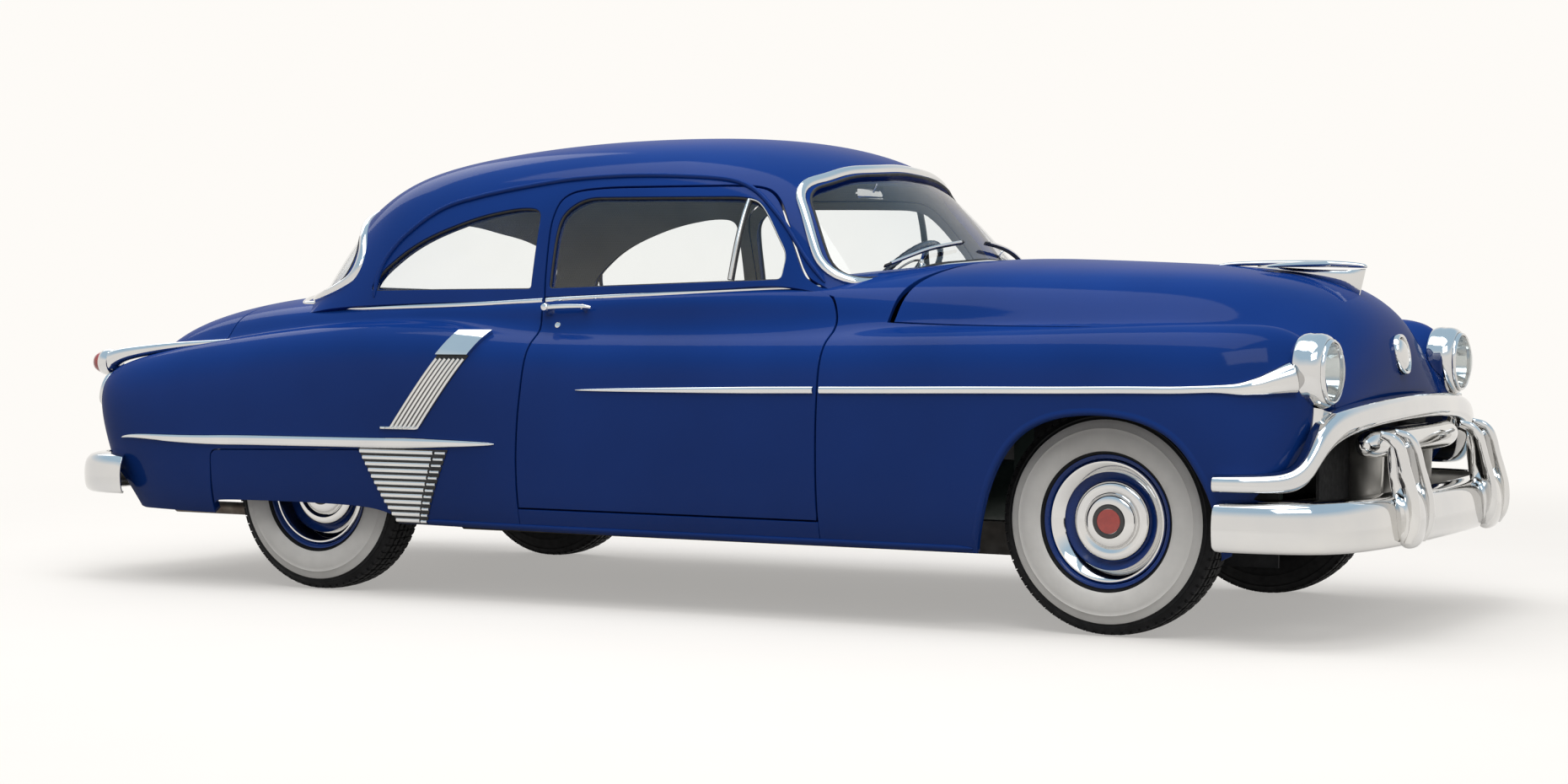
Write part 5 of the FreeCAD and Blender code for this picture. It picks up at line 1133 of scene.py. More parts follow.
def tyre_meshes(name, x, y, side, blocks):
    """A tyre with a pale sidewall outboard and a zigzag tread."""
    outer = [(r, side * o) for r, o in TYRE_HALF]
    profile = outer + [(r, -o) for r, o in outer[::-1]]
    marks = [1 if TYRE_WHITE[0] <= i < TYRE_WHITE[1] else 0 for i in range(len(profile) - 1)]
    inner = [(0.1985, -side * 0.0655), (0.205, -side * 0.05), (0.33, -side * 0.08), (0.338, 0),
             (0.33, side * 0.08), (0.205, side * 0.05), (0.1985, side * 0.0655)]
    profile += inner[1:]
    marks += [0] * (len(profile) - 1 - len(marks))
    centre = (x, y, AXLE_HEIGHT)
    shape = lathe(profile, centre, (0, 1, 0), 120, marks)
    carcass = group_mesh(name, [fixed_out(shape)], finishes("rubber", "whitewall"), 40)
    pitch = 2 * math.pi / blocks
    ribs = []
    for k, across in enumerate((-0.052, -0.026, 0.0, 0.026, 0.052)):
        low, high = 0.3495 - abs(across) * 0.02, 0.3579 - abs(across) ** 2 * 1.6
        half = 0.0095 if abs(across) < 0.05 else 0.0115
        shift = 0.0035 * (1 if k % 2 else -1)
        outline = [(-0.46, -half + shift), (0.0, -half - shift), (0.42, -half + shift), (0.42, half + shift),
                   (0.0, half - shift), (-0.46, half + shift)]
        rings = []
        for radius, inset in ((low, 1.0), (high - 0.001, 1.0), (high, 0.86)):
            rings.append([(radius * math.sin(a * pitch * inset), across + w * inset,
                           radius * math.cos(a * pitch * inset)) for a, w in outline])
        ribs.append(loft(rings))
    lugs = []
    for edge in (-1, 1):
        rings = []
        for radius, near, wide in ((0.343, 0.055, 0.0685), (0.3515, 0.0625, 0.0672), (0.3535, 0.0625, 0.062)):
            rings.append([(radius * math.sin(a * pitch), edge * w, radius * math.cos(a * pitch))
                          for a, w in ((-0.42, near), (-0.42, wide), (0.28, wide), (0.28, near))])
        lugs.append(loft(rings))
    block_shape = merged_shapes(ribs + lugs)
    tread = repeated(name + "_tread", block_shape, TREES["ring"],
                     {"Count": blocks, "Centre": centre, "Material": MATERIALS["rubber"]}, 20)
    return joined_meshes(name, [carcass, tread])


def merged_shapes(shapes):
    """Several (vertices, faces) as one."""
    vertices, faces, start = [], [], 0
    for shape in shapes:
        vertices.append(np.asarray(shape[0], float))
        faces += [tuple(i + start for i in f) for f in shape[1]]
        start += len(shape[0])
    return np.vstack(vertices), faces


def fixed_out(shape):
    """A closed shape with its faces turned outwards."""
    vertices, faces = shape[0], shape[1]
    volume = 0.0
    for f in faces:
        for k in range(1, len(f) - 1):
            volume += np.dot(vertices[f[0]], np.cross(vertices[f[k]], vertices[f[k + 1]]))
    if volume < 0:
        faces = [tuple(f)[::-1] for f in faces]
    return (vertices, faces) + tuple(shape[2:])


RIM = [(0.0, 0.0165), (0.060, 0.0165), (0.110, 0.0175), (0.128, 0.0190), (0.140, 0.0235), (0.152, 0.0315),
       (0.162, 0.0360), (0.176, 0.0385), (0.188, 0.0430), (0.1925, 0.0500), (0.1945, 0.0620),
       (0.1965, 0.0715), (0.2005, 0.0765), (0.2055, 0.0790), (0.2090, 0.0785), (0.2100, 0.0755),
       (0.2080, 0.0730), (0.2030, 0.0690), (0.1995, 0.0640), (0.1985, 0.0300), (0.1850, 0.0150),
       (0.1850, -0.0350), (0.1985, -0.0500), (0.1990, -0.0660), (0.2035, -0.0720), (0.2095, -0.0755),
       (0.2085, -0.0790), (0.2020, -0.0770), (0.1950, -0.0700), (0.1925, -0.0500), (0.1790, -0.0330),
       (0.1790, 0.0200), (0.1600, 0.0270), (0.1400, 0.0140), (0.1250, 0.0105), (0.0, 0.0105)]
BEAUTY_RING = [(0.1915, 0.0525), (0.1925, 0.0640), (0.1915, 0.0700), (0.1880, 0.0738), (0.1830, 0.0735),
               (0.1770, 0.0690), (0.1690, 0.0615), (0.1600, 0.0530), (0.1540, 0.0460), (0.1535, 0.0410),
               (0.1570, 0.0395), (0.1880, 0.0440)]
HUB_CAP = [(0.1285, 0.0195), (0.1300, 0.0245), (0.1290, 0.0310), (0.1260, 0.0380), (0.1205, 0.0440),
           (0.1130, 0.0480), (0.1050, 0.0490), (0.0985, 0.0470), (0.0930, 0.0440), (0.0890, 0.0425),
           (0.0865, 0.0440), (0.0850, 0.0480), (0.0825, 0.0520), (0.0770, 0.0560), (0.0690, 0.0590),
           (0.0600, 0.0608), (0.0540, 0.0615), (0.0525, 0.0600), (0.0, 0.0600), (0.0, 0.0200)]
CAP_BAND = [(0.0525, 0.0595), (0.0528, 0.0625), (0.0510, 0.0645), (0.0470, 0.0655), (0.0420, 0.0652),
            (0.0395, 0.0640), (0.0390, 0.0595)]
CAP_DISC = [(0.0, 0.0660), (0.012, 0.0658), (0.024, 0.0652), (0.033, 0.0644), (0.0385, 0.0636),
            (0.0385, 0.0595), (0.0, 0.0595)]
DRUM = [(0.0, -0.0395), (0.090, -0.0395), (0.140, -0.0388), (0.1500, -0.0370), (0.1520, -0.0310),
        (0.1490, -0.0290), (0.1490, -0.0255), (0.1520, -0.0235), (0.1520, -0.0180), (0.1490, -0.0160),
        (0.1490, -0.0125), (0.1520, -0.0100), (0.1500, 0.0000), (0.1300, 0.0100), (0.0, 0.0100)]


def wheel_mesh(name, x, y, side):
    """A painted wheel with a bright ring, a cap with a raised middle and its brake drum."""
    centre, axis = (x, y, AXLE_HEIGHT), (0, side, 0)
    shapes = []
    for number, (profile, segments) in enumerate(((RIM, 120), (BEAUTY_RING, 120), (HUB_CAP, 96),
                                                  (CAP_BAND, 72), (CAP_DISC, 72), (DRUM, 72))):
        if number in (1, 3):
            profile = profile + profile[:1]
        shapes.append(turned(profile, centre, axis, segments, number))
    return group_mesh(name, shapes, finishes("wheel", "chrome", "chrome", "black", "red", "iron"), 32)


def welded(shape):
    """A shape whose coinciding vertices are one, without the faces that this closes up."""
    vertices, faces = np.round(np.asarray(shape[0], float), 7), shape[1]
    unique, back = np.unique(vertices, axis=0, return_inverse=True)
    back = back.ravel()
    kept, marks = [], []
    for number, f in enumerate(faces):
        corners = []
        for i in f:
            if back[i] not in corners:
                corners.append(int(back[i]))
        if len(corners) > 2:
            kept.append(tuple(corners))
            marks.append(shape[2][number] if len(shape) > 2 else 0)
    return unique, kept, marks


def turned(profile, centre, axis, segments, mark=0):
    """A turned shape with one material mark."""
    return welded(marked(fixed_out(lathe(profile, centre, axis, segments)), mark))


def marked(shape, mark):
    """A shape's vertices and faces, with one material mark for all its faces."""
    return tuple(shape[:2]) + ([mark] * len(shape[1]),)


# Bright trim that follows the body

def trim_frame(surface, line):
    """Points and outward directions under a line of stations and rows."""
    return surface.at(line[:, 0], line[:, 1]), surface.normal(line[:, 0], line[:, 1])


def spot_on(surface, line):
    """The point and the outward direction at the first of some stations and rows."""
    spots, normal = trim_frame(surface, line)
    return spots[0], normal[0]


def moulding(surface, line, section, height=0.0, scale=None, closed=False):
    """A section (across, up) carried along a line of stations and rows on a surface."""
    spots, normal = trim_frame(surface, line)
    return sweep(spots + normal * height, section, normal, scale, closed)


def half_round(wide, high, count=14, sink=0.003):
    """A half-round bar's section, with its foot sunk a little."""
    a = np.linspace(0, math.pi, count)
    top = [(math.cos(t) * wide / 2, math.sin(t) * high) for t in a]
    return top + [(-wide / 2, -sink), (wide / 2, -sink)]


def tapered(count, start, end, middle=1.0, lead=0.15, trail=0.15):
    """A width share along a line that comes to a point at either end."""
    t = np.linspace(0, 1, count)
    share = np.full(count, float(middle))
    if lead:
        share = np.where(t < lead, start + (middle - start) * np.sqrt(np.clip(t / lead, 0, 1)), share)
    if trail:
        share = np.where(t > 1 - trail, end + (middle - end) * np.sqrt(np.clip((1 - t) / trail, 0, 1)), share)
    return share


def resampled(line, surface, step):
    """A line of stations and rows with even steps on the surface."""
    spots = surface.at(line[:, 0], line[:, 1])
    run = np.concatenate(([0], np.cumsum(np.linalg.norm(np.diff(spots, axis=0), axis=1))))
    count = max(4, int(run[-1] / step))
    wanted = np.linspace(0, run[-1], count)
    return np.stack((np.interp(wanted, run, line[:, 0]), np.interp(wanted, run, line[:, 1])), 1)


# Bumpers and grille

FRONT_BAR = [(20.60, 9.60), (21.60, 9.62), (23.30, 9.45), (24.70, 8.20), (25.15, 5.40), (25.30, 2.60),
             (25.34, 0)]
FRONT_SECTION = [(0.75, 2.93), (0.30, 2.87), (0.05, 2.98), (0.0, 3.30), (-0.02, 3.60), (0.0, 3.95),
                 (0.10, 4.34), (0.40, 4.50), (0.90, 4.52)]
REAR_BAR = [(-21.80, 9.60), (-22.90, 9.60), (-24.30, 9.10), (-25.05, 7.30), (-25.25, 4.80), (-25.30, 2.30),
            (-25.30, 0)]
REAR_SECTION = [(0.70, 3.24), (0.30, 3.19), (0.05, 3.30), (0.0, 3.60), (-0.02, 3.90), (0.0, 4.20),
                (0.10, 4.55), (0.40, 4.70), (0.85, 4.72)]
ARCH_LINE = [(20.60, 9.61, 4.98, 0.70), (21.30, 9.60, 4.98, 0.72), (22.20, 9.32, 4.98, 0.76),
             (22.95, 8.86, 5.02, 0.85), (23.35, 8.42, 5.38, 1.10), (23.58, 8.02, 6.05, 1.25),
             (23.78, 7.40, 6.52, 1.18), (23.98, 6.10, 6.78, 1.06), (24.12, 4.10, 6.94, 1.0),
             (24.25, 1.80, 7.02, 1.0), (24.27, 0, 7.03, 1.0)]
ARCH_SECTION = [(0.55, -0.34), (0.22, -0.40), (0.03, -0.34), (-0.01, -0.12), (0.0, 0.10), (0.08, 0.32),
                (0.30, 0.42), (0.62, 0.40)]


FRONT_ARM = [(2.1203, 0.3575), (2.30, 0.3575), (2.42, 0.3575), (2.515, 0.3600)]
REAR_ARM = [(-2.2003, 0.3775), (-2.33, 0.3775), (-2.44, 0.3775), (-2.518, 0.3800)]


def bar_surface(line, section):
    """The face of a bar that wraps round the car's end, from its plan's right half and its section."""
    plan = np.array([(p[0], -p[1], p[2] if len(p) > 2 else 0.0) for p in line]) * SPACE
    plan = np.vstack((plan, plan[-2::-1] * (1, -1, 1)))
    tall = [p[3] if len(p) > 3 else 1.0 for p in line]
    tall += tall[-2::-1]
    net = []
    for i, point in enumerate(plan):
        along = plan[min(i + 1, len(plan) - 1)] - plan[max(i - 1, 0)]
        inward = unit(np.array([-along[1], along[0], 0.0]))
        if np.dot(inward, point) > 0:
            inward = -inward
        net.append([point + inward * inset * SPACE + np.array([0, 0, z * tall[i] * SPACE])
                    for inset, z in section])
    return Surface(net)


def bar_loop(surface, end_round, inset=0.0):
    """The outline of a bar with rounded ends."""
    u, v = surface.spans
    corner = np.array([(inset, 0.0), (inset, v), (u - inset, v), (u - inset, 0.0)], float)
    metric = np.array([0.30, 0.045])
    line = rounded(corner * metric, end_round, True, 14) / metric
    return line if bar_turn(surface) > 0 else line[::-1]


def bar_turn(surface):
    """Whether the surface's own normal points away from the car's middle."""
    u, v = np.array([surface.spans[0] / 2.0]), np.array([surface.spans[1] / 2.0])
    return float(np.sign(np.sum(surface.normal(u, v) * surface.at(u, v))))


class Turned:
    """A surface seen from its other side, so that its normal points out."""

    def __init__(self, surface):
        self.surface, self.spans = surface, surface.spans

    def at(self, u, v):
        """Points, with the stations counted from the other end."""
        return self.surface.at(self.spans[0] - np.asarray(u), v)

    def slopes(self, u, v):
        """How fast the point moves along the stations and the rows."""
        along, across = self.surface.slopes(self.spans[0] - np.asarray(u), v)
        return -along, across

    def normal(self, u, v):
        """The outward direction."""
        return -self.surface.normal(self.spans[0] - np.asarray(u), v)

    def raised(self, u, v, height):
        """Points at a height over the surface."""
        return self.at(u, v) + self.normal(u, v) * np.asarray(height, float)[..., None]


def outward(surface):
    """The surface with its normal pointing away from the car's middle."""
    return surface if bar_turn(surface) > 0 else Turned(surface)


def plate_side(outline, y_from, y_to, bevel=0.006):
    """A side-view outline (x, z) with thickness in y and softened edges."""
    outline = np.asarray(outline, float)
    area = np.sum(outline[:, 0] * np.roll(outline[:, 1], -1) - np.roll(outline[:, 0], -1) * outline[:, 1])
    if area < 0:
        outline = outline[::-1]
    after = unit(np.roll(outline, -1, 0) - outline)
    before = np.roll(after, 1, 0)
    out = unit(np.stack((before[:, 1] + after[:, 1], -before[:, 0] - after[:, 0]), 1))
    rings = []
    for inset, y in ((bevel, y_from), (bevel * 0.3, y_from + bevel * 0.3), (0, y_from + bevel),
                     (0, y_to - bevel), (bevel * 0.3, y_to - bevel * 0.3), (bevel, y_to)):
        ring = outline - out * inset
        rings.append(np.stack((ring[:, 0], np.full(len(ring), y), ring[:, 1]), 1))
    return fixed_out(loft(rings))


def guard_shapes(y, front=True):
    """A bumper guard: two curved fins with a recessed plate between them, and a swelling over the bar."""
    sign = 1 if front else -1
    shapes = []
    if front:
        edge = smooth_line([(2.440, 0.646), (2.480, 0.636), (2.508, 0.612), (2.522, 0.578), (2.534, 0.530),
                            (2.5500, 0.478), (2.5620, 0.430), (2.5650, 0.380), (2.5560, 0.335),
                            (2.5350, 0.300)], 5)
        back = [(2.5150, 0.300), (2.5200, 0.360), (2.5200, 0.420), (2.5100, 0.455), (2.492, 0.500),
                (2.486, 0.560), (2.478, 0.592), (2.460, 0.612), (2.436, 0.622)]
        hump = [(2.484, 0.470), (2.510, 0.468), (2.536, 0.452), (2.5500, 0.420), (2.5560, 0.380),
                (2.5520, 0.335), (2.5400, 0.300), (2.5200, 0.284), (2.500, 0.290), (2.490, 0.330)]
        plate = [(2.470, 0.450), (2.492, 0.450), (2.490, 0.560), (2.484, 0.594), (2.464, 0.600),
                 (2.456, 0.560)]
    else:
        edge = smooth_line([(-2.480, 0.520), (-2.510, 0.516), (-2.540, 0.500), (-2.556, 0.470),
                            (-2.5640, 0.420), (-2.5620, 0.370), (-2.5480, 0.335)], 5)
        back = [(-2.5200, 0.330), (-2.5200, 0.400), (-2.5180, 0.450), (-2.505, 0.485), (-2.482, 0.500)]
        hump = [(-2.490, 0.486), (-2.520, 0.482), (-2.544, 0.462), (-2.5520, 0.420), (-2.5540, 0.380),
                (-2.5450, 0.340), (-2.5250, 0.322), (-2.500, 0.330)]
        plate = None
    fin = np.vstack((edge, back))
    for offset in (-0.074, 0.074):
        shapes.append(plate_side(fin, y + offset - 0.013, y + offset + 0.013, 0.009))
    across = np.linspace(-1, 1, 15)
    rings = []
    hump = smooth_line(hump, 4, True)
    middle = hump.mean(0)
    for t in across:
        grow = (1 - abs(t) ** 2.6 * 0.42) if abs(t) < 1 else 0.5
        ring = middle + (hump - middle) * grow
        ring[:, 0] -= sign * 0.012 * abs(t) ** 2
        rings.append(np.stack((ring[:, 0], np.full(len(ring), y + t * 0.098), ring[:, 1]), 1))
    shapes.append(fixed_out(loft(rings)))
    if plate:
        shapes.append(plate_side(smooth_line(plate, 3, True), y - 0.066, y + 0.066, 0.004))
    return shapes


def bumper_object(front):
    """The front or rear bumper with its guards and arms."""
    surface = outward(bar_surface(FRONT_BAR, FRONT_SECTION) if front else bar_surface(REAR_BAR, REAR_SECTION))
    loop = bar_loop(surface, 0.065)
    shapes = [slab(surface, [loop], 0.006, 0.016, marks=(0, 1))[:3]]
    for side in (-1, 1):
        shapes += [marked(s, 0) for s in guard_shapes(side * 0.43, front)]
    places = FRONT_ARM if front else REAR_ARM
    for side in (-1, 1):
        line = smooth_line([(x, side * 0.382, z) for x, z in places], 6)
        shapes.append(marked(fixed_out(sweep(line, ring_points(12, 0.030, 0.055, 6.0), (0, 0, 1))), 2))
    name = "front_bumper_bar" if front else "rear_bumper_bar"
    mesh = group_mesh(name, shapes, finishes("chrome", "steel", "chassis"), 42)
    return place_object(name, mesh, "car", ("front_bumper" if front else "rear_bumper",))


def grille_object():
    """The bright arch over the opening, the bar with bullet ends, its uprights, and behind them a near-black
    sheet of painted shade.
    """
    arch = outward(bar_surface(ARCH_LINE, ARCH_SECTION))
    loop = bar_loop(arch, 0.036)
    shapes = [slab(arch, [loop], 0.007, 0.013, marks=(0, 1))[:3]]
    half = 0.475
    t = np.linspace(0, 1, 12)
    profile = [(0.0, -half)] + [(0.045 * math.sin(a * math.pi / 2) ** 0.75,
                                 -half + 0.11 * (1 - math.cos(a * math.pi / 2))) for a in t[1:]]
    profile += [(0.0465, 0.0)] + [(r, -along) for r, along in profile[::-1]]
    bar = lathe(profile, (2.372, 0, 0.598), (0, 1, 0), 32)
    shapes.append(welded(fixed_out(bar)))
    upright = [(2.262, 0.386), (2.366, 0.400), (2.372, 0.56), (2.366, 0.636), (2.262, 0.640)]
    shapes += [marked(plate_side(upright, y - 0.012, y + 0.012, 0.004), 1) for y in (-0.26, 0.0, 0.26)]
    # A near-black sheet behind the bar and uprights: painted shade of the grille's opening.
    shapes.append(marked(block((2.252, -0.56, 0.3853), (2.262, 0.56, 0.66)), 2))
    mesh = group_mesh("grille_work", shapes, finishes("chrome", "steel", "void"), 42)
    return place_object("grille_work", mesh, "car", ("grille",))


# Lamps

HEAD_CENTRE = (2.282, 0.690, 0.830)


def headlight_shapes(side):
    """A headlight: bucket, stepped bright rings, reflector, bulb and domed lens."""
    centre = (HEAD_CENTRE[0], side * HEAD_CENTRE[1], HEAD_CENTRE[2])
    bezel = [(0.0895, -0.030), (0.112, -0.028), (0.1175, -0.016), (0.1185, 0.000), (0.1165, 0.012),
             (0.1175, 0.020), (0.1160, 0.034), (0.1120, 0.046), (0.1060, 0.055), (0.1010, 0.0585),
             (0.0985, 0.0560), (0.1000, 0.0610), (0.0980, 0.0680), (0.0935, 0.0715), (0.0895, 0.0690),
             (0.0885, 0.0600), (0.0880, 0.020), (0.0885, -0.030)]
    lens = [(0.0, 0.0950), (0.018, 0.0943), (0.036, 0.0920), (0.054, 0.0880), (0.070, 0.0820),
            (0.082, 0.0750), (0.0878, 0.0680), (0.0870, 0.0640), (0.080, 0.0715), (0.060, 0.0825),
            (0.030, 0.0890), (0.0, 0.0905)]
    mirror = [(0.0, -0.040), (0.012, -0.039), (0.030, -0.032), (0.050, -0.018), (0.068, 0.004),
              (0.080, 0.032), (0.0865, 0.058), (0.0878, 0.058), (0.083, 0.030), (0.072, 0.000),
              (0.054, -0.024), (0.030, -0.040), (0.0, -0.047)]
    bulb = [(0.0, 0.020), (0.006, 0.018), (0.010, 0.010), (0.0105, 0.000), (0.008, -0.012), (0.008, -0.038),
            (0.0, -0.038)]
    bucket = [(0.0, -0.128), (0.060, -0.127), (0.080, -0.115), (0.088, -0.080), (0.0885, -0.030),
              (0.0865, -0.030), (0.080, -0.100), (0.0, -0.110)]
    shapes = []
    for number, profile in enumerate((bezel + bezel[:1], lens, mirror, bulb, bucket)):
        shapes.append(turned(profile, centre, (1, 0, 0), 72, number))
    return shapes


def parking_shape(side):
    """The tapering lamp housing from the headlight's ring down to its rounded tip, and its lens."""
    uv = found(BODY, [(-0.705, 0.715), (-0.722, 0.575)], (0.0, 7.0), end_view, (0.0, 3.0))
    line = np.stack((np.linspace(uv[0][0], uv[1][0], 24), np.linspace(uv[0][1], uv[1][1], 24)), 1)
    spots, normal = trim_frame(BODY, line)
    t = np.linspace(0, 1, 24)
    wide = 1.0 - 0.45 * t
    wide = np.where(t > 0.86, wide * np.sqrt(np.clip(1 - ((t - 0.86) / 0.14) ** 2, 0.004, 1)), wide)
    high = np.where(t > 0.9, np.sqrt(np.clip(1 - ((t - 0.9) / 0.1) ** 2, 0.01, 1)), 1.0)
    section = [(-0.5, -0.10), (-0.5, 0.25), (-0.46, 0.62), (-0.40, 0.85), (-0.34, 0.90), (-0.29, 0.78),
               (-0.27, 0.62), (0.0, 0.58), (0.27, 0.62), (0.29, 0.78), (0.34, 0.90), (0.40, 0.85),
               (0.46, 0.62), (0.5, 0.25), (0.5, -0.10)]
    section = np.array(section) * (0.088, 0.030)
    housing = fixed_out(sweep(spots, section, normal, np.stack((wide, high), 1)))
    part = slice(12, 21)
    lens = fixed_out(sweep(spots[part] + normal[part] * 0.0155, ring_points(16, 0.040, 0.020), normal[part],
                           np.stack((wide[part] * tapered(9, 0.2, 0.2), tapered(9, 0.2, 0.2)), 1)))
    flip = (lambda s: s) if side < 0 else mirrored
    return [flip(marked(housing, 0)), flip(marked(lens, 5))]


def headlight_object():
    """Both headlights with their housings."""
    shapes = []
    for side in (-1, 1):
        shapes += headlight_shapes(side) + parking_shape(side)
    names = ("chrome", "lamp", "chrome", "lamp", "steel", "amber")
    mesh = group_mesh("headlight_pair", shapes, finishes(*names), 38)
    return place_object("headlight_pair", mesh, "car", ("headlights",))


def tail_light_object():
    """Both tail lights: a long bright spear over the fender's crown, widening to the red lens."""
    shapes = []
    line = smooth_line([(-1.700, 0.905), (-1.90, 0.896), (-2.10, 0.884), (-2.27, 0.868), (-2.345, 0.856),
                        (-2.372, 0.846)], 8)
    t = np.linspace(0, 1, len(line))
    spots, sizes = [], []
    for (x, z), k in zip(line, t):
        spots.append((x, -0.790 - 0.010 * (1 - k) + 0.017 * k, z - 0.012 - 0.030 * k))
        sizes.append((0.10 + 0.90 * k ** 1.1, 0.16 + 0.84 * k ** 1.2))
    spear = fixed_out(sweep(np.array(spots), ring_points(20, 0.094, 0.078), (0, 0, 1), np.array(sizes)))
    centre = (-2.372, -0.773, 0.802)
    rim = [(0.030, -0.010), (0.046, -0.006), (0.0495, 0.006), (0.0490, 0.022), (0.0470, 0.034),
           (0.0430, 0.038), (0.0400, 0.034), (0.0395, 0.020), (0.0300, 0.000)]
    lens = [(0.0, 0.082), (0.010, 0.0815), (0.022, 0.077), (0.032, 0.068), (0.0385, 0.054), (0.0405, 0.036),
            (0.0400, 0.018), (0.0, 0.014)]
    for number, profile in enumerate((rim + rim[:1], lens)):
        shapes.append(turned(profile, centre, (-1, 0, 0), 48, number))
    shapes.append(marked(spear, 0))
    edge = side_line(BODY, [(-2.352, 0.765), (-2.372, 0.70), (-2.376, 0.645)], (1.0, 5.5), 0, (17.0, 20.0))
    edge = resampled(smooth_line(edge, 6), BODY, 0.012)
    strip = fixed_out(moulding(BODY, edge, half_round(0.016, 0.010), 0, tapered(len(edge), 0.3, 0.15)))
    shapes.append(marked(strip, 0))
    shapes += [mirrored(s) for s in shapes]
    mesh = group_mesh("tail_light_pair", shapes, finishes("chrome", "lens"), 40)
    return place_object("tail_light_pair", mesh, "car", ("tail_lights",))


def ornament_object():
    """The hood ornament: a flat jet shape with swept wings on a low foot."""
    line = np.array([(2.231, 1.150), (2.215, 1.1545), (2.16, 1.1585), (2.08, 1.1620), (1.98, 1.1640),
                     (1.88, 1.1640), (1.78, 1.1615), (1.727, 1.1560)])
    line = smooth_line(line, 6)
    spots = np.stack((line[:, 0], 0 * line[:, 0], line[:, 1]), 1)
    t = np.linspace(0, 1, len(spots))
    size = np.stack((np.clip(np.sin(np.clip(t * 1.35 + 0.06, 0, 1) * math.pi * 0.62), 0.12, 1)
                     * (1 - 0.45 * t), np.clip(np.sin(np.clip(t * 1.6 + 0.10, 0, 1) * math.pi * 0.55), 0.15,
                                               1) * (1 - 0.62 * t)), 1)
    shapes = [fixed_out(sweep(spots, ring_points(20, 0.046, 0.030), (0, 0, 1), size))]
    span_y = np.linspace(-1, 1, 41)
    rings = []
    for k in span_y:
        a = abs(k)
        front = 2.140 - 0.150 * a ** 0.9
        back = 1.930 - 0.010 * a
        thick = 0.012 * (1 - a ** 2) + 0.0025
        chord = (front - back) * (1 - 0.62 * a ** 1.5)
        z = 1.160 - 0.008 * a ** 2
        ring = [(back + chord * (0.5 + 0.5 * math.cos(q)), k * 0.149,
                 z + math.sin(q) * thick * (0.6 + 0.4 * math.cos(q)))
                for q in np.linspace(0, 2 * math.pi, 18, endpoint=False)]
        rings.append(ring)
    shapes.append(fixed_out(loft(rings)))
    foot_line = np.array([(2.215, 0, 1.140), (2.150, 0, 1.136), (2.05, 0, 1.138), (1.95, 0, 1.144),
                          (1.86, 0, 1.150)])
    down = []
    for x, _, z in foot_line:
        u = found(BODY, [(x, 0.0)], (10.9, 11.0), x_view, (0.0, 8.0))
        surface_z = BODY.at(np.array([u[0][0]]), np.array([11.0]))[0][2]
        down.append((x, 0.0, (z + surface_z) / 2))
    high = [(p[2] - d[2]) * 2 + 0.012 for p, d in zip(foot_line, down)]
    size = smooth_line(np.stack(([0.3, 1.0, 1.0, 0.8, 0.3], high), 1), 5)
    foot = sweep(smooth_line(down, 5), ring_points(16, 0.030, 1.0, 3.0), (0, 0, 1), size)
    shapes.append(fixed_out(foot))
    mesh = group_mesh("hood_bird", shapes, finishes("chrome"), 40)
    return place_object("hood_bird", mesh, "hood_body", ("hood_ornament",))


# Side trim

def cut_between(line, low, high):
    """The part of a side strip between two x places."""
    x = BODY.at(line[:, 0], line[:, 1])[:, 0]
    return line[(x > low) & (x < high)]


def strip_shape(line, width, high):
    """A half-round strip along stations and rows of the body."""
    return fixed_out(moulding(BODY, line, half_round(width, high)))


def front_spear_line():
    """The front side strip's line, from behind the headlight back over the door."""
    points = [(2.255, 0.812), (2.215, 0.799), (2.17, 0.787), (2.10, 0.779), (1.95, 0.775), (1.68, 0.771),
              (1.20, 0.763), (0.748, 0.755), (0.30, 0.747), (-0.214, 0.739)]
    return resampled(smooth_line(side_line(BODY, points, (2.0, 5.5), 0, (0.9, 12.5)), 6), BODY, 0.012)


def rear_spear_line():
    """The rear side strip's line, from the tail forward onto the door."""
    points = [(-2.200, 0.532), (-1.90, 0.535), (-1.56, 0.538), (-1.10, 0.542), (-0.80, 0.546),
              (-0.535, 0.549)]
    return resampled(smooth_line(side_line(BODY, points, (0.8, 4.0), 0, (11.8, 19.0)), 6), BODY, 0.012)


def side_trim():
    """The right side's trim, sorted by the body it rides on: fender, door, quarter; and the quarter's dark
    plates."""
    front, door, rear = [], [], []
    line = front_spear_line()
    front_cut = 0.703
    on_fender = cut_between(line, front_cut + 0.003, 3.0)
    on_door = cut_between(line, -3.0, front_cut - 0.006)
    x = BODY.at(on_fender[:, 0], on_fender[:, 1])[:, 0]
    flare = 1 + np.clip((x - 2.03) / 0.225, 0, 1) ** 1.8 * 2.9
    front.append(fixed_out(moulding(BODY, on_fender, half_round(0.026, 0.012), 0,
                                    np.stack((flare, 1 + (flare - 1) * 0.9), 1))))
    size = tapered(len(on_door), 1.0, 0.10, 1.0, 0.0, 0.75)
    door.append(fixed_out(moulding(BODY, on_door, half_round(0.026, 0.012), 0,
                                   np.stack((size, size ** 0.6), 1))))
    line = rear_spear_line()
    size = tapered(len(line), 0.08, 0.06, 1.0, 0.30, 0.22)
    rear.append(fixed_out(moulding(BODY, line, half_round(0.040, 0.016), 0,
                                   np.stack((size, size ** 0.6), 1))))
    sash, shield = sash_shapes(), shield_shapes()
    return front, door, rear + sash[1:] + shield[1:], [sash[0], shield[0]]


def quad_patch(corners, nu, nv, rows):
    """A patch of the body's side inside four side-view corners (bottom rear, bottom front, top front, top
    rear)."""
    a, b, c, d = (np.array(p, float) for p in corners)
    points = []
    for i in range(nu):
        s = i / (nu - 1)
        for j in range(nv):
            t = j / (nv - 1)
            points.append((a * (1 - s) + b * s) * (1 - t) + (d * (1 - s) + c * s) * t)
    uv = side_line(BODY, np.array(points), rows, 0, (11.0, 17.0))
    return uv.reshape(nu, nv, 2)


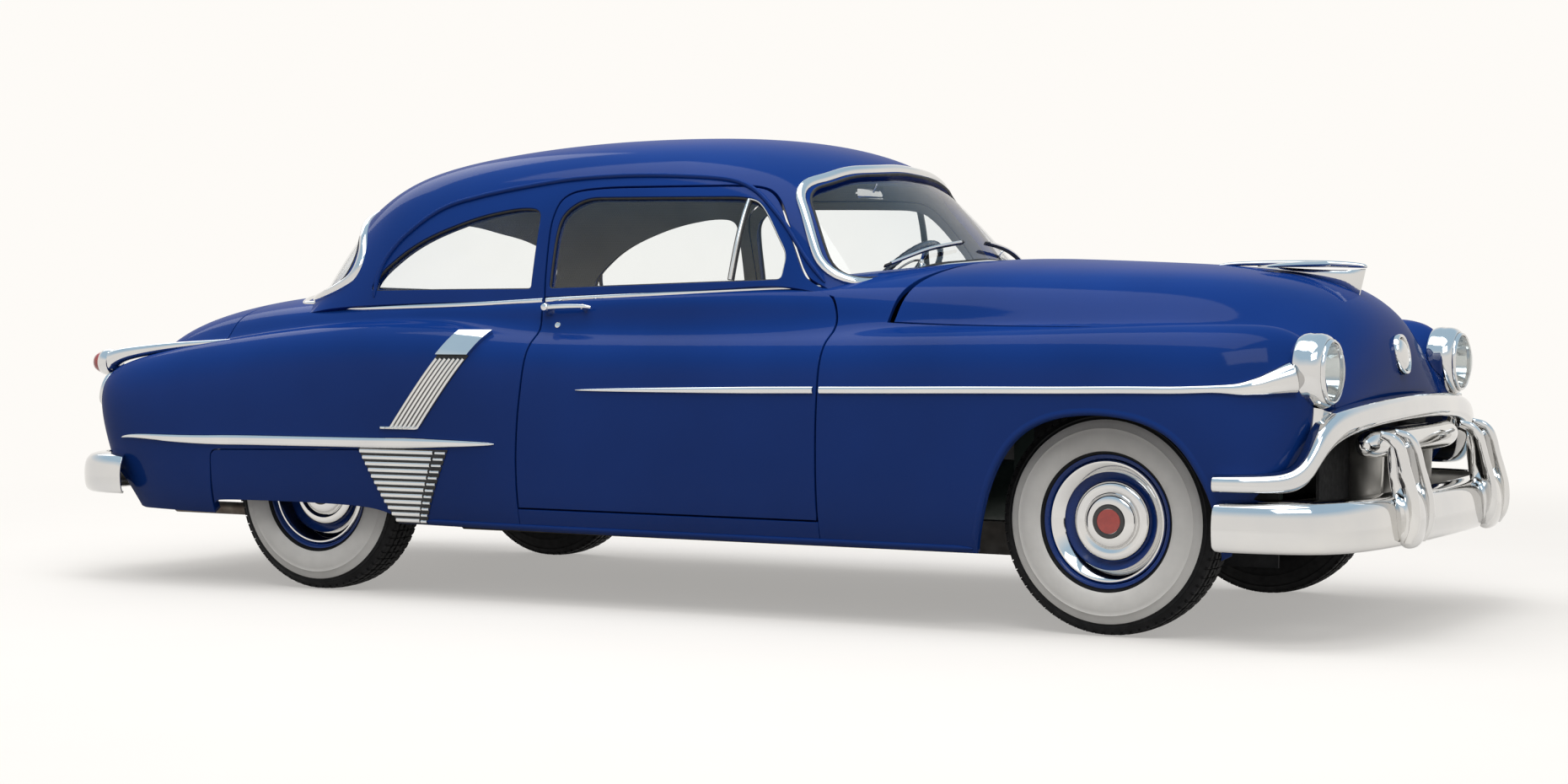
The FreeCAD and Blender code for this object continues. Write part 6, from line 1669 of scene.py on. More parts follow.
def plate_on_side(corners, nu, nv, thick, rows, sink=0.004):
    """A plate on the body's side within four side-view corners."""
    flat = quad_patch(corners, nu, nv, rows).reshape(-1, 2)
    top, bottom = (BODY.raised(flat[:, 0], flat[:, 1], np.full(len(flat), height))
                   for height in (thick, -sink))
    faces, count = grid_faces(nu, nv), nu * nv
    rim = ([i * nv for i in range(nu)] + [(nu - 1) * nv + j for j in range(1, nv)]
           + [i * nv + nv - 1 for i in range(nu - 2, -1, -1)] + [j for j in range(nv - 2, 0, -1)])
    covers = faces + [tuple(k + count for k in f[::-1]) for f in faces]
    vertices = np.vstack((top, bottom))
    center = vertices.mean(0)
    first = vertices[list(faces[0])]
    normal = np.cross(first[1] - first[0], first[2] - first[0])
    if np.dot(normal, BODY.normal(flat[:1, 0], flat[:1, 1])[0]) < 0:
        covers = [f[::-1] for f in covers]
    walls = []
    for here, after in zip(rim, rim[1:] + rim[:1]):
        wall = (here, after, after + count, here + count)
        p = vertices[list(wall)]
        outside = np.dot(np.cross(p[1] - p[0], p[2] - p[0]), p.mean(0) - center) > 0
        walls.append(wall if outside else wall[::-1])
    return vertices, covers + walls


SASH = [(-1.004, 0.541), (-0.878, 0.541), (-0.596, 0.925), (-0.722, 0.925)]
SHIELD = [(-0.962, 0.262), (-0.840, 0.262), (-0.722, 0.524), (-1.095, 0.524)]


def sash_shapes():
    """The slanted sash: first its dark plate, then the bright lengthwise ribs and the plain cap at its
    top."""
    a, b, c, d = (np.array(p) for p in SASH)
    cap_low = 0.80
    low_r, low_f = a + (d - a) * cap_low, b + (c - b) * cap_low
    shapes = [plate_on_side([a, b, low_f, low_r], 8, 16, 0.003, (2.0, 6.8))]
    for k in range(7):
        s = (k + 0.5) / 7
        start, stop = a + (b - a) * s, low_r + (low_f - low_r) * s
        stop = stop + (start - stop) * 0.035
        line = side_line(BODY, np.linspace(start, stop, 22), (2.0, 6.8), 0, (11.5, 15.0))
        shapes.append(strip_shape(line, 0.0125, 0.009))
    cap = plate_on_side([low_r, low_f, c, d], 9, 9, 0.016, (4.0, 7.4))
    shapes.append(cap)
    return shapes


def shield_shapes():
    """The stone shield ahead of the rear wheel: first its dark plate, then level ribs and a stepped front
    strip."""
    a, b, c, d = (np.array(p) for p in SHIELD)
    inner_b, inner_c = b + (a - b) * 0.26, c + (d - c) * 0.15
    shapes = [plate_on_side([a, b, c, d], 10, 10, 0.003, (0.0, 3.0))]
    count = 12
    for k in range(count):
        t = (k + 0.5) / count
        left, right = a + (d - a) * t, inner_b + (inner_c - inner_b) * t
        line = side_line(BODY, np.linspace(left + (right - left) * 0.01, right, 14), (0.0, 3.0), 0,
                         (12.0, 16.0))
        shapes.append(strip_shape(line, 0.0165, 0.008))
        left, right = inner_b + (inner_c - inner_b) * t, b + (c - b) * t
        gap = (right - left) * 0.22
        line = side_line(BODY, np.linspace(left + gap, right - gap * 0.1, 8), (0.0, 3.0), 0, (12.0, 16.0))
        shapes.append(strip_shape(line, 0.0130, 0.012))
    return shapes


# Body panels

WIND_SIGHT = [(-5.62, 14.12), (-3.25, 14.66), (0, 14.82), (3.25, 14.66), (5.62, 14.12), (6.52, 12.60),
              (6.96, 11.34), (6.40, 11.10), (3.20, 11.66), (0, 11.82), (-3.20, 11.66), (-6.40, 11.10),
              (-6.96, 11.34), (-6.52, 12.60)]
REAR_SIGHT = [(-5.40, 12.90), (-3.10, 13.46), (0, 13.64), (3.10, 13.46), (5.40, 12.90), (6.40, 12.30),
              (6.86, 11.60), (7.08, 10.90), (6.60, 10.54), (3.00, 10.72), (0, 10.80), (-3.00, 10.72),
              (-6.60, 10.54), (-7.08, 10.90), (-6.86, 11.60), (-6.40, 12.30)]
SKIRT_LOW = [(-17.72, 3.02), (-17.20, 3.16), (-13.60, 3.20), (-10.90, 3.12), (-9.68, 2.86)]
DRIP = [(7.39, 0.06), (7.40, 0.21), (7.31, 0.36), (7.12, 0.52), (6.89, 0.67), (6.30, 1.00), (5.75, 1.13),
        (5.07, 1.25), (4.55, 1.34), (3.95, 1.385), (3.29, 1.385), (2.58, 1.34), (2.12, 1.17), (1.50, 0.80),
        (0.76, 0.42), (0.25, 0.22)]
BELT_SIDE = [(8.72, 8.95), (8.86, 8.72), (9.67, 8.62), (10.47, 8.53), (11.48, 8.45), (11.94, 8.38),
             (13.16, 8.30), (14.23, 8.33), (14.70, 8.48)]
BELT_PLAN = [(-14.70, -6.55), (-15.75, -6.20), (-16.55, -5.10), (-17.30, -3.60), (-17.82, -1.90),
             (-17.98, 0.0)]
LINES = {}


def plan_view(points):
    """The view from above."""
    return np.stack((points[..., 0], points[..., 1]), -1)


def window_lines():
    """The window openings and glass edges as stations and rows of the roof, worked out once."""
    if not LINES:
        LINES["door"] = side_line(ROOF, dense(WINDOW_LINE, closed=True), (0.0, 4.0))
        LINES["quarter"] = side_line(ROOF, dense(QUARTER_LINE, closed=True), (0.0, 4.0), 0.0, (4.6, 9.0))
        for name, sight, stations, radius in (("wind", WIND_SIGHT, (0.0, 4.0), 0.07),
                                              ("rear", REAR_SIGHT, (6.0, 9.0), 0.07)):
            outline = rounded(metres(sight), radius)
            LINES[name] = found(ROOF, dense(outline, closed=True), (0.0, 8.0), end_view, stations)
            LINES[name + "_frame"] = found(ROOF, dense(grown(outline, 0.0165), 0.02, True), (0.0, 8.0),
                                           end_view, stations)
    return LINES


def cross_panel(first, last, gap, spacing):
    """A panel across the car between two stations, with a gap to the valley on either side."""
    loop = patch(first, last, VALLEY + gap, BODY_ROWS - VALLEY - gap)
    return [slab(BODY, [loop], SKIN_DEPTH, spacing, marks=(0, 1))]


def skirt_loop(shrink):
    """The right rear wheel's skirt: its upper outline, and a lower edge that lets the tyre show."""
    top = rounded(grown(metres(SKIRT), -shrink), [0, 0.03, 0.03, 0.02, 0], False)
    top = top[top[:, 1] > 0.315]
    low = smooth_line(metres(SKIRT_LOW), 6)
    line = np.vstack((top, low[::-1]))
    return side_line(BODY, dense(line, 0.02, True), (0.0, 7.0), 0.0, (12.0, 18.5))


def rocker_loop():
    """The sill under the right door, between the fender and the quarter."""
    front, rear = (door_edge(True, end, SILL_TOP, 0.34)[0] for end in (True, False))
    top = side_line(BODY, np.stack((np.linspace(0.692, -0.466, 50), np.full(50, 0.327)), 1), (0.0, 2.0),
                    DOOR_SKEW)
    top[0, 0], top[-1, 0] = front[0] + 0.004, rear[0] - 0.004
    return np.vstack((top, along_row(0.0, rear[0] - 0.004, front[0] + 0.004)))


def both(loop, rows=BODY_ROWS):
    """A loop of the right side and its mirror image."""
    return loop, flipped(loop, rows)


def sill_strip():
    """The rolled edge that runs along the foot of the body between the wheels, on both sides."""
    front = found(BODY, [(1.250, 0.0)], (0.0, 0.3), x_view, (5.0, 9.0))[0][0]
    rear = found(BODY, [(-0.845, 0.0)], (0.0, 0.3), x_view, (11.0, 15.0))[0][0]
    line = along_row(0.10, front, rear, 130)
    size = tapered(len(line), 0.3, 0.3, 1.0, 0.03, 0.03)
    bar = fixed_out(moulding(BODY, line, half_round(0.020, 0.0065), 0, size))
    return [bar, mirrored(bar)]


def drip_rails():
    """The raised rails over the side windows, body-coloured, from the belt round and down the front
    pillar."""
    line = resampled(smooth_line(DRIP, 8), ROOF, 0.012)
    size = tapered(len(line), 0.35, 0.35, 1.0, 0.04, 0.03)
    bar = fixed_out(moulding(ROOF, line, half_round(0.017, 0.0115, 10), 0, size))
    return [bar, mirrored(bar)]


def belt_lines():
    """The belt strip on the right: its whole line, from the windshield's foot round to the rear window's
    middle."""
    side = smooth_line(BELT_SIDE, 10)
    back = smooth_line(metres(BELT_PLAN), 8)
    back = found(BODY, back, (8.0, 11.0), plan_view, (14.0, 18.0))
    line = np.vstack((side, back))
    return resampled(smooth_line(resampled(line, BODY, 0.12), 8), BODY, 0.014)


def split_belt(line):
    """The belt strip in three: on the cowl, on the door, and behind it."""
    x = BODY.at(line[:, 0], line[:, 1])[:, 0]
    return line[x > 0.634], line[(x <= 0.626) & (x >= -0.4275)], line[x < -0.4345]


def door_hardware():
    """The right door's outside handle: a grip on two feet with a round button at its rear."""
    def spot(x, z, out):
        at, outside = spot_on(BODY, side_line(BODY, [(x, z)], (6.0, 9.0)))
        return at + outside * out
    grip = smooth_line([spot(-0.400, 1.006, 0.030), spot(-0.375, 1.007, 0.033), spot(-0.320, 1.009, 0.035),
                        spot(-0.265, 1.011, 0.031), spot(-0.240, 1.012, 0.024), spot(-0.226, 1.012, 0.014)],
                       8)
    t = np.linspace(0, 1, len(grip))
    size = np.stack((1.0 - 0.45 * t, 1.0 - 0.3 * t), 1)
    shapes = [sweep(grip, ring_points(16, 0.019, 0.012, 2.6), (0, -1, 0.2), size)]
    normal = unit(spot(-0.395, 1.006, 1) - spot(-0.395, 1.006, 0))
    knob = [(0.0, 0.044), (0.008, 0.0435), (0.0125, 0.041), (0.0150, 0.036), (0.0158, 0.028), (0.0150, 0.014),
            (0.0185, 0.006), (0.0205, 0.0), (0.0, -0.004)]
    shapes.append(turned(knob, spot(-0.398, 1.006, 0), normal, 32)[:2])
    shapes.append(sweep([spot(-0.250, 1.0115, -0.004), spot(-0.250, 1.0115, 0.012),
                         spot(-0.252, 1.0115, 0.027)], ring_points(14, 0.024, 0.014), (1, 0, 0.01),
                        [[1.25, 1.25], [0.9, 0.9], [0.8, 0.8]]))
    place, outside = spot_on(BODY, side_line(BODY, [(-0.355, 0.955)], (6.0, 9.0)))
    lock = [(0.0, 0.004), (0.0075, 0.0038), (0.0105, 0.0028), (0.0118, 0.0), (0.0, -0.003)]
    shapes.append(turned(lock, place, outside, 24)[:2])
    return [fixed_out(s) for s in shapes]


def oval_rings(centre, normal, up, profile, count=48):
    """An oval body on a surface from (width, height, out) rows."""
    normal = unit(np.asarray(normal, float))
    side = unit(np.cross(up, normal))
    upright = np.cross(normal, side)
    a = np.linspace(0, 2 * math.pi, count, endpoint=False)[:, None]
    rings = [np.asarray(centre) + side * np.cos(a) * w + upright * np.sin(a) * h + normal * out
             for w, h, out in profile]
    return fixed_out(loft(rings))


def nose_boss():
    """The plain bright boss on the hood's nose: a ring round a smooth dome."""
    uv = found(BODY, [(0.0, 0.868)], (10.9, 11.0), end_view, (0.0, 4.0))
    at, normal = BODY.at(uv[:, 0], np.array([11.0]))[0], BODY.normal(uv[:, 0], np.array([11.0]))[0]
    ring = [(0.0560, 0.0590, -0.008), (0.0640, 0.0660, -0.004), (0.0645, 0.0665, 0.008),
            (0.0620, 0.0640, 0.0135), (0.0570, 0.0595, 0.0150), (0.0520, 0.0550, 0.0120),
            (0.0500, 0.0535, 0.0060), (0.0500, 0.0535, -0.004)]
    dome = [(0.0498, 0.0533, -0.006), (0.0490, 0.0525, 0.0045), (0.0440, 0.0470, 0.0110),
            (0.0350, 0.0375, 0.0165), (0.0230, 0.0245, 0.0205), (0.0115, 0.0120, 0.0225),
            (0.0010, 0.0015, 0.0230)]
    return [oval_rings(at, normal, (0, 0, 1), ring + ring[:1])[:2], oval_rings(at, normal, (0, 0, 1), dome)]


def wiper_shapes():
    """Both wipers, parked along the windshield's foot: arms and their blades."""
    arms, blades = [], []
    for sign in (-1, 1):
        y = sign * 0.30
        line = found(ROOF, [(sign * 0.09, 1.232), (sign * 0.20, 1.222), (sign * 0.33, 1.205),
                            (sign * 0.46, 1.176), (sign * 0.555, 1.150)], (0.0, 8.0), end_view, (0.0, 3.0))
        line = resampled(smooth_line(line, 6), ROOF, 0.012)
        blades.append(fixed_out(moulding(ROOF, line, [(-0.0025, 0.0), (0.0025, 0.0), (0.004, 0.010),
                                                      (0.003, 0.014), (-0.003, 0.014), (-0.004, 0.010)],
                                         0.0005)))
        arms.append(fixed_out(moulding(ROOF, line[2:-2], half_round(0.010, 0.004, 8, 0.001), 0.0145)))
        middle = ROOF.raised(line[len(line) // 2, 0:1], line[len(line) // 2, 1:2], np.array([0.018]))[0]
        foot, normal = spot_on(BODY, found(BODY, [(0.775, y)], (8.0, 14.0), plan_view, (8.0, 9.6)))
        post = [(0.0, 0.026), (0.006, 0.0255), (0.0085, 0.022), (0.0085, 0.012), (0.012, 0.008),
                (0.0155, 0.0), (0.0, -0.004)]
        arms.append(turned(post, foot, normal, 24))
        arm = smooth_line([foot + normal * 0.020, foot * 0.55 + middle * 0.45 + normal * 0.028, middle], 8)
        arms.append(fixed_out(sweep(arm, ring_points(10, 0.009, 0.005), normal,
                                    np.linspace(1.2, 0.7, len(arm)))))
    return arms, blades


def plate_shapes():
    """The blank rear plate on its bracket, with a bright rim and two bolts."""
    x, z = -2.452, 0.690
    corners = rounded([(-0.1525, -0.076), (0.1525, -0.076), (0.1525, 0.076), (-0.1525, 0.076)], 0.014)
    rings = [np.stack((np.full(len(corners), x + dx), corners[:, 0] * s, z + corners[:, 1] * s), 1)
             for dx, s in ((0.0, 0.985), (-0.0012, 1.0), (-0.0024, 0.985))]
    plate = fixed_out(loft(rings))
    outline = np.stack((np.full(len(corners), x - 0.001), corners[:, 0], z + corners[:, 1]), 1)
    rim = fixed_out(sweep(spaced(outline, 0.02, True, lambda q: q), ring_points(10, 0.008, 0.009), (-1, 0, 0),
                          None, True))
    bolts, bracket = [], []
    for sign in (-1, 1):
        head = [(0.0, 0.0065), (0.004, 0.006), (0.0068, 0.0045), (0.0078, 0.002), (0.0078, 0.0), (0.0, 0.0)]
        bolts.append(turned(head, (x - 0.0024, sign * 0.089, 0.700), (-1, 0, 0), 20))
        bracket.append(fixed_out(sweep([(x, sign * 0.089, 0.700), (-2.43, sign * 0.089, 0.700),
                                        (-2.402, sign * 0.089, 0.700)], ring_points(12, 0.020, 0.020),
                                       (0, 0, 1))))
    return plate, rim, bolts, bracket


def lid_handle():
    """The trunk lid's handle: a bright upright that stands off the lid and tapers to its ends."""
    line = [(0.0, u) for u in (18.35, 18.45, 18.60, 18.75, 18.84)]
    u = np.array([p[1] for p in line])
    spots, normal = BODY.at(u, 11 + 0 * u), BODY.normal(u, 11 + 0 * u)
    out = np.array([0.004, 0.014, 0.020, 0.015, 0.004])[:, None]
    bar = smooth_line(spots + normal * out, 6)
    size = tapered(len(bar), 0.5, 0.5, 1.0, 0.25, 0.25)
    return [fixed_out(sweep(bar, ring_points(16, 0.042, 0.020, 2.4), smooth_line(normal, 6), size))]


# One function for each group of pieces

def build_panels(s):
    """The painted body: fenders and cowl, hood, quarters and shelf, lid, tail, skirts, sills, doors and
    roof."""
    step = s.panel_spacing
    lines = window_lines()
    panel_object("front_body", [slab(BODY, [other_half(front_body_half(), BODY_ROWS)], SKIN_DEPTH, step,
                                     arch_lift, (0, 1))], finishes("paint", "inner"), "car",
                 ("front_fenders", "cowl"))
    panel_object("rear_body", [slab(BODY, [other_half(rear_body_half(), BODY_ROWS)], REAR_DEPTH, step,
                                    marks=(0, 1))], finishes("paint", "inner"), "car",
                 ("quarter_panels", "rear_shelf"))
    panel_object("tail_skin", cross_panel(DECK_REAR + 0.03, LAST, 0.004, step), finishes("paint", "inner"),
                 "car", ("tail_panel",))
    panel_object("skirt_pair", [slab(BODY, [loop], REAR_DEPTH, step, marks=(0, 1))
                                for loop in both(skirt_loop(0.0015))], finishes("paint", "inner"), "car",
                 ("fender_skirts",))
    panel_object("sill_pair", [slab(BODY, [loop], SILL_DEPTH, step, marks=(0, 1))
                               for loop in both(rocker_loop())], finishes("paint", "inner"), "car",
                 ("rocker_panels",))
    panel_object("hood_panel", cross_panel(0, HOOD_REAR - SHUT, LID_GAP, step), finishes("paint", "inner"),
                 "hood_body", ("hood",))
    panel_object("deck_lid_panel", cross_panel(DECK_FRONT + SHUT / 3, DECK_REAR, LID_GAP, step),
                 finishes("paint", "inner"), "deck_lid_body", ("deck_lid",))
    lower, window_frame = door_outlines()
    for side, turn, _ in SIDES:
        parts = [slab(BODY, [turn(lower, BODY_ROWS)], DOOR_DEPTH, step, marks=(0, 1)),
                 slab(ROOF, [turn(window_frame, ROOF_ROWS), turn(lines["door"], ROOF_ROWS)], ROOF_DEPTH,
                      step * 0.8, marks=(0, 1))]
        panel_object("door_%s_panel" % side, parts, finishes("paint", "liner"), "door_%s_body" % side,
                     ("door_%s" % side,))
    quarter = lines["quarter"]
    loops = [other_half(roof_half(), ROOF_ROWS), lines["wind"], lines["rear"], quarter,
             flipped(quarter, ROOF_ROWS)]
    panel_object("roof_skin", [slab(ROOF, loops, ROOF_DEPTH, step * 0.9, marks=(0, 1))],
                 finishes("paint", "liner"), "car", ("roof_shell",))
    mesh = group_mesh("rail_and_sill_edges", drip_rails() + sill_strip(), finishes("paint"), 50)
    place_object("rail_and_sill_edges", mesh, "car")


def widened(loop, share=0.004):
    """A closed line a little larger about its middle."""
    middle = loop.mean(0)
    return middle + (loop - middle) * (1 + share)


def build_glass():
    """The panes, set in the openings, with black seals; the doors' panes ride on the doors."""
    lines = window_lines()
    inside_layer = Layer(ROOF, -0.014)
    seal = [(-0.0045, -0.004), (0.0045, -0.004), (0.0045, 0.002), (0.002, 0.0045), (-0.002, 0.0045),
            (-0.0045, 0.002)]
    seals = []
    for name, node_name, height in (("quarter", "quarter_glass", -0.009),
                                    ("wind", "windshield_glass", -0.002), ("rear", "rear_glass", -0.002)):
        loop = widened(lines[name])
        ring = fixed_out(moulding(ROOF, lines[name], seal, height, None, True))
        paired = name == "quarter"
        parts = [slab(inside_layer, [one], PANE_DEPTH, 0.04)
                 for one in (both(loop, ROOF_ROWS) if paired else [loop])]
        panel_object(node_name + "_pane", parts, finishes("glass"), "car", (node_name,))
        seals += [ring, mirrored(ring)] if paired else [ring]
    mesh = group_mesh("fixed_seals", seals, finishes("seal"), 50)
    place_object("fixed_seals", mesh, "car")
    divider = side_line(ROOF, np.linspace((0.286, 1.112), (0.303, 1.388), 30), (0.0, 4.0))
    vent = [p for p in dense(WINDOW_LINE, 0.015, True) if p[0] > 0.30 and p[1] > 1.115]
    vent = side_line(ROOF, vent, (0.0, 4.0))
    for side, turn, flip in SIDES:
        parts = [slab(inside_layer, [turn(widened(lines["door"]), ROOF_ROWS)], PANE_DEPTH, 0.04)]
        panel_object("door_%s_pane" % side, parts, finishes("glass"), "door_%s_body" % side,
                     ("door_glass_%s" % side,))
        ring = fixed_out(moulding(ROOF, lines["door"], seal, -0.009, None, True))
        bar = fixed_out(moulding(ROOF, divider, half_round(0.015, 0.009, 10, 0.008), -0.012))
        dark = fixed_out(moulding(ROOF, divider, half_round(0.023, 0.004, 6, 0.008), -0.012))
        edge = fixed_out(moulding(ROOF, vent, half_round(0.007, 0.004, 8), -0.0065))
        shapes = [marked(ring, 0), marked(dark, 0), marked(bar, 1), marked(edge, 1)]
        mesh = group_mesh("door_%s_window_trim" % side, [flip(s) for s in shapes], finishes("seal", "chrome"),
                          50)
        place_object("door_%s_window_trim" % side, mesh, "door_%s_body" % side)


def build_bright_trim():
    """The bright trim that follows the body: belt, window frames, side spears, sash, shield, handles, wipers
    and the rear plate with its bracket."""
    front, door, rear, dark = side_trim()
    lines = window_lines()
    section = half_round(0.022, 0.009, 12)
    cowl_belt, door_belt, rear_belt = [fixed_out(moulding(BODY, line, section))
                                       for line in split_belt(belt_lines())]
    frame_section = [(-0.0185, -0.003), (-0.0185, 0.004), (-0.0165, 0.0085), (-0.011, 0.0125),
                     (-0.002, 0.0145), (0.007, 0.0130), (0.0125, 0.0085), (0.0165, 0.0040), (0.0185, -0.003)]
    frames = []
    for name in ("wind_frame", "rear_frame"):
        frames.append(fixed_out(moulding(ROOF, lines[name], frame_section, 0, None, True)))
    arms, blades = wiper_shapes()
    plate, rim, bolts, bracket = plate_shapes()
    grouped = [(k, 0) for k in frames + arms + [rim]
               + bolts] + [(k, 1) for k in blades] + [(plate, 2)] + [(k, 3) for k in bracket]
    for shape in front + rear + [cowl_belt, rear_belt]:
        grouped += [(shape, 0), (mirrored(shape), 0)]
    for shape in dark:
        grouped += [(shape, 1), (mirrored(shape), 1)]
    shapes = [marked(shape, mark) for shape, mark in grouped]
    materials = finishes("chrome", "seal", "plate", "chassis")
    mesh = group_mesh("body_bright_trim", shapes, materials, 40)
    place_object("body_bright_trim", mesh, "car")
    handle = door_hardware()
    for side, _, flip in SIDES:
        mesh = group_mesh("door_%s_bright_trim" % side, [flip(s) for s in door + [door_belt] + handle],
                          finishes("chrome"), 40)
        place_object("door_%s_bright_trim" % side, mesh, "door_%s_body" % side)


def build_badges():
    """The boss on the hood's nose and the trunk lid's handle."""
    mesh = group_mesh("nose_boss", nose_boss(), finishes("chrome"), 40)
    place_object("nose_boss", mesh, "hood_body")
    mesh = group_mesh("lid_handle", lid_handle(), finishes("chrome"), 40)
    place_object("lid_handle", mesh, "deck_lid_body")


def build_wheels(s):
    """The four wheels and tyres."""
    for end, x, half_track in AXLES:
        for side, name in ((-1, "right"), (1, "left")):
            body = "wheel_%s_%s_body" % (end, name)
            mesh = wheel_mesh("road_wheel_%s_%s" % (end, name), x, side * half_track, side)
            place_object(mesh.name, mesh, body, ("wheel_%s_%s" % (end, name),))
            mesh = tyre_meshes("tread_tyre_%s_%s" % (end, name), x, side * half_track, side, s.tread_blocks)
            place_object(mesh.name, mesh, body, ("tyre_%s_%s" % (end, name),))


# Seats

FRONT_CUSHION = [(2.55, 3.10), (2.72, 5.30), (2.32, 6.05), (-2.95, 5.78), (-2.95, 3.10)]
FRONT_BACK = [(-2.42, 4.40), (-1.98, 6.00), (-3.44, 9.48), (-4.05, 9.60), (-4.50, 8.95), (-3.85, 4.40)]
REAR_CUSHION = [(-7.08, 3.10), (-6.90, 5.15), (-7.28, 5.88), (-10.9, 5.66), (-9.60, 5.45), (-9.52, 3.10)]
REAR_BACK = [(-10.70, 5.80), (-12.66, 9.40), (-13.38, 9.68), (-13.70, 9.15), (-12.42, 5.80)]


def stuffed(name, outline, y_low, y_high, face, channels, spacing, voxel, swell):
    """A seat part: a side outline with thickness, swelled as cloth over its stuffing, then with
    sewn channels pressed into the side that faces a direction."""
    ring = spaced(rounded(metres(outline), 0.045, True, 6), 0.03, True, lambda q: np.pad(q, ((0, 0), (0, 1))))
    middle = ring.mean(0)
    rings = []
    for inset, y in ((0.62, y_low + 0.004), (0.82, y_low + 0.006), (0.94, y_low + 0.020),
                     (0.985, y_low + 0.045), (1.0, y_low + 0.09)):
        rings.append((inset, y))
    rings += [(1.0, y) for y in np.linspace(y_low + 0.09, y_high - 0.09,
                                            max(3, int((y_high - y_low) / 0.08)))[1:-1]]
    rings += [(inset, y_low + y_high - y) for inset, y in ((1.0, y_low + 0.09), (0.985, y_low + 0.045),
                                                           (0.94, y_low + 0.020), (0.82, y_low + 0.006),
                                                           (0.62, y_low + 0.004))]
    loops = [np.stack((middle[0] + (ring[:, 0] - middle[0]) * s, np.full(len(ring), y),
                       middle[1] + (ring[:, 1] - middle[1]) * s), 1) for s, y in rings]
    vertices, faces = fixed_out(loft(loops))
    mesh = mesh_of(name, vertices, faces, finishes("seat"))
    pad = bpy.data.objects.new(name, mesh)
    bpy.context.scene.collection.objects.link(pad)
    remesh = pad.modifiers.new("even", "REMESH")
    remesh.mode, remesh.voxel_size = "VOXEL", voxel
    applied(pad)
    start = points_of(pad.data)
    cloth_sim = pad.modifiers.new("stuffing", "CLOTH")
    settings = cloth_sim.settings
    settings.use_pressure, settings.uniform_pressure_force = True, 4.0
    settings.effector_weights.gravity = 0
    settings.quality = 4
    cloth_sim.point_cache.frame_start, cloth_sim.point_cache.frame_end = 1, 20
    for number in range(1, 21):
        bpy.context.scene.frame_set(number)
    moved = points_of(pad.evaluated_get(bpy.context.evaluated_depsgraph_get()).data)
    pad.modifiers.remove(cloth_sim)
    bpy.context.scene.frame_set(1)
    move = moved - start
    far = np.linalg.norm(move, axis=1, keepdims=True)
    start = start + move * np.minimum(1, swell / np.maximum(far, 1e-9))
    pad.data.vertices.foreach_set("co", start.ravel())
    smooth = pad.modifiers.new("soft", "SUBSURF")
    smooth.levels = smooth.render_levels = 1
    applied(pad)
    press_channels(pad.data, face, y_low, y_high, channels, spacing)
    mesh = pad.data
    bpy.data.objects.remove(pad)
    mesh.polygons.foreach_set("use_smooth", np.ones(len(mesh.polygons), bool))
    if not mesh.materials:
        mesh.materials.append(MATERIALS["seat"])
    return mesh


def applied(obj):
    """Make an object's modifiers part of its mesh."""
    bpy.context.view_layer.update()
    mesh = bpy.data.meshes.new_from_object(obj.evaluated_get(bpy.context.evaluated_depsgraph_get()))
    obj.modifiers.clear()
    old, obj.data = obj.data, mesh
    bpy.data.meshes.remove(old)


def points_of(mesh):
    """A mesh's vertices as an array."""
    out = np.empty(len(mesh.vertices) * 3, np.float32)
    mesh.vertices.foreach_get("co", out)
    return out.reshape(-1, 3).astype(float)


def press_channels(mesh, face, y_low, y_high, share, spacing):
    """Press sewn channels into the face, and seams round it."""
    spots = points_of(mesh)
    out = np.empty(len(mesh.vertices) * 3, np.float32)
    mesh.vertex_normals.foreach_get("vector", out)
    out = out.reshape(-1, 3).astype(float)
    face = unit(np.asarray(face, float))
    facing = np.clip((out @ face - 0.55) / 0.3, 0, 1)
    middle, half = (y_low + y_high) / 2, (y_high - y_low) / 2
    across = np.abs(spots[:, 1] - middle) / half
    edge = 0.86
    within = np.clip((edge - across) / 0.02, 0, 1)
    count = max(1, round(2 * half * edge / spacing))
    phase = (spots[:, 1] - middle + half * edge) / (2 * half * edge) * count
    valley = np.exp(-((phase - np.round(phase)) * spacing / 0.0055) ** 2)
    along_face = spots @ unit(np.cross(face, (0, 1, 0)))
    low, high = along_face[facing > 0.5].min(), along_face[facing > 0.5].max()
    reach = np.minimum(along_face - low, high - along_face) / (high - low)
    panel = np.clip((reach - share) / 0.03, 0, 1)
    border = np.exp(-((np.minimum(reach - share, (edge - across) * half / (high - low)))
                      * (high - low) / 0.006) ** 2)
    border *= (across < edge + 0.01) * (reach > share - 0.01)
    press = (valley * within * panel * 0.009 + border * 0.008) * facing
    mesh.vertices.foreach_set("co", (spots - out * press[:, None]).ravel())
    mesh.update()


def mirror_mesh(mesh, name):
    """A mesh on the car's other side."""
    made = bmesh.new()
    made.from_mesh(mesh)
    for vertex in made.verts:
        vertex.co.y = -vertex.co.y
    bmesh.ops.reverse_faces(made, faces=made.faces)
    other = bpy.data.meshes.new(name)
    made.to_mesh(other)
    made.free()
    for item in mesh.materials:
        other.materials.append(item)
    return other


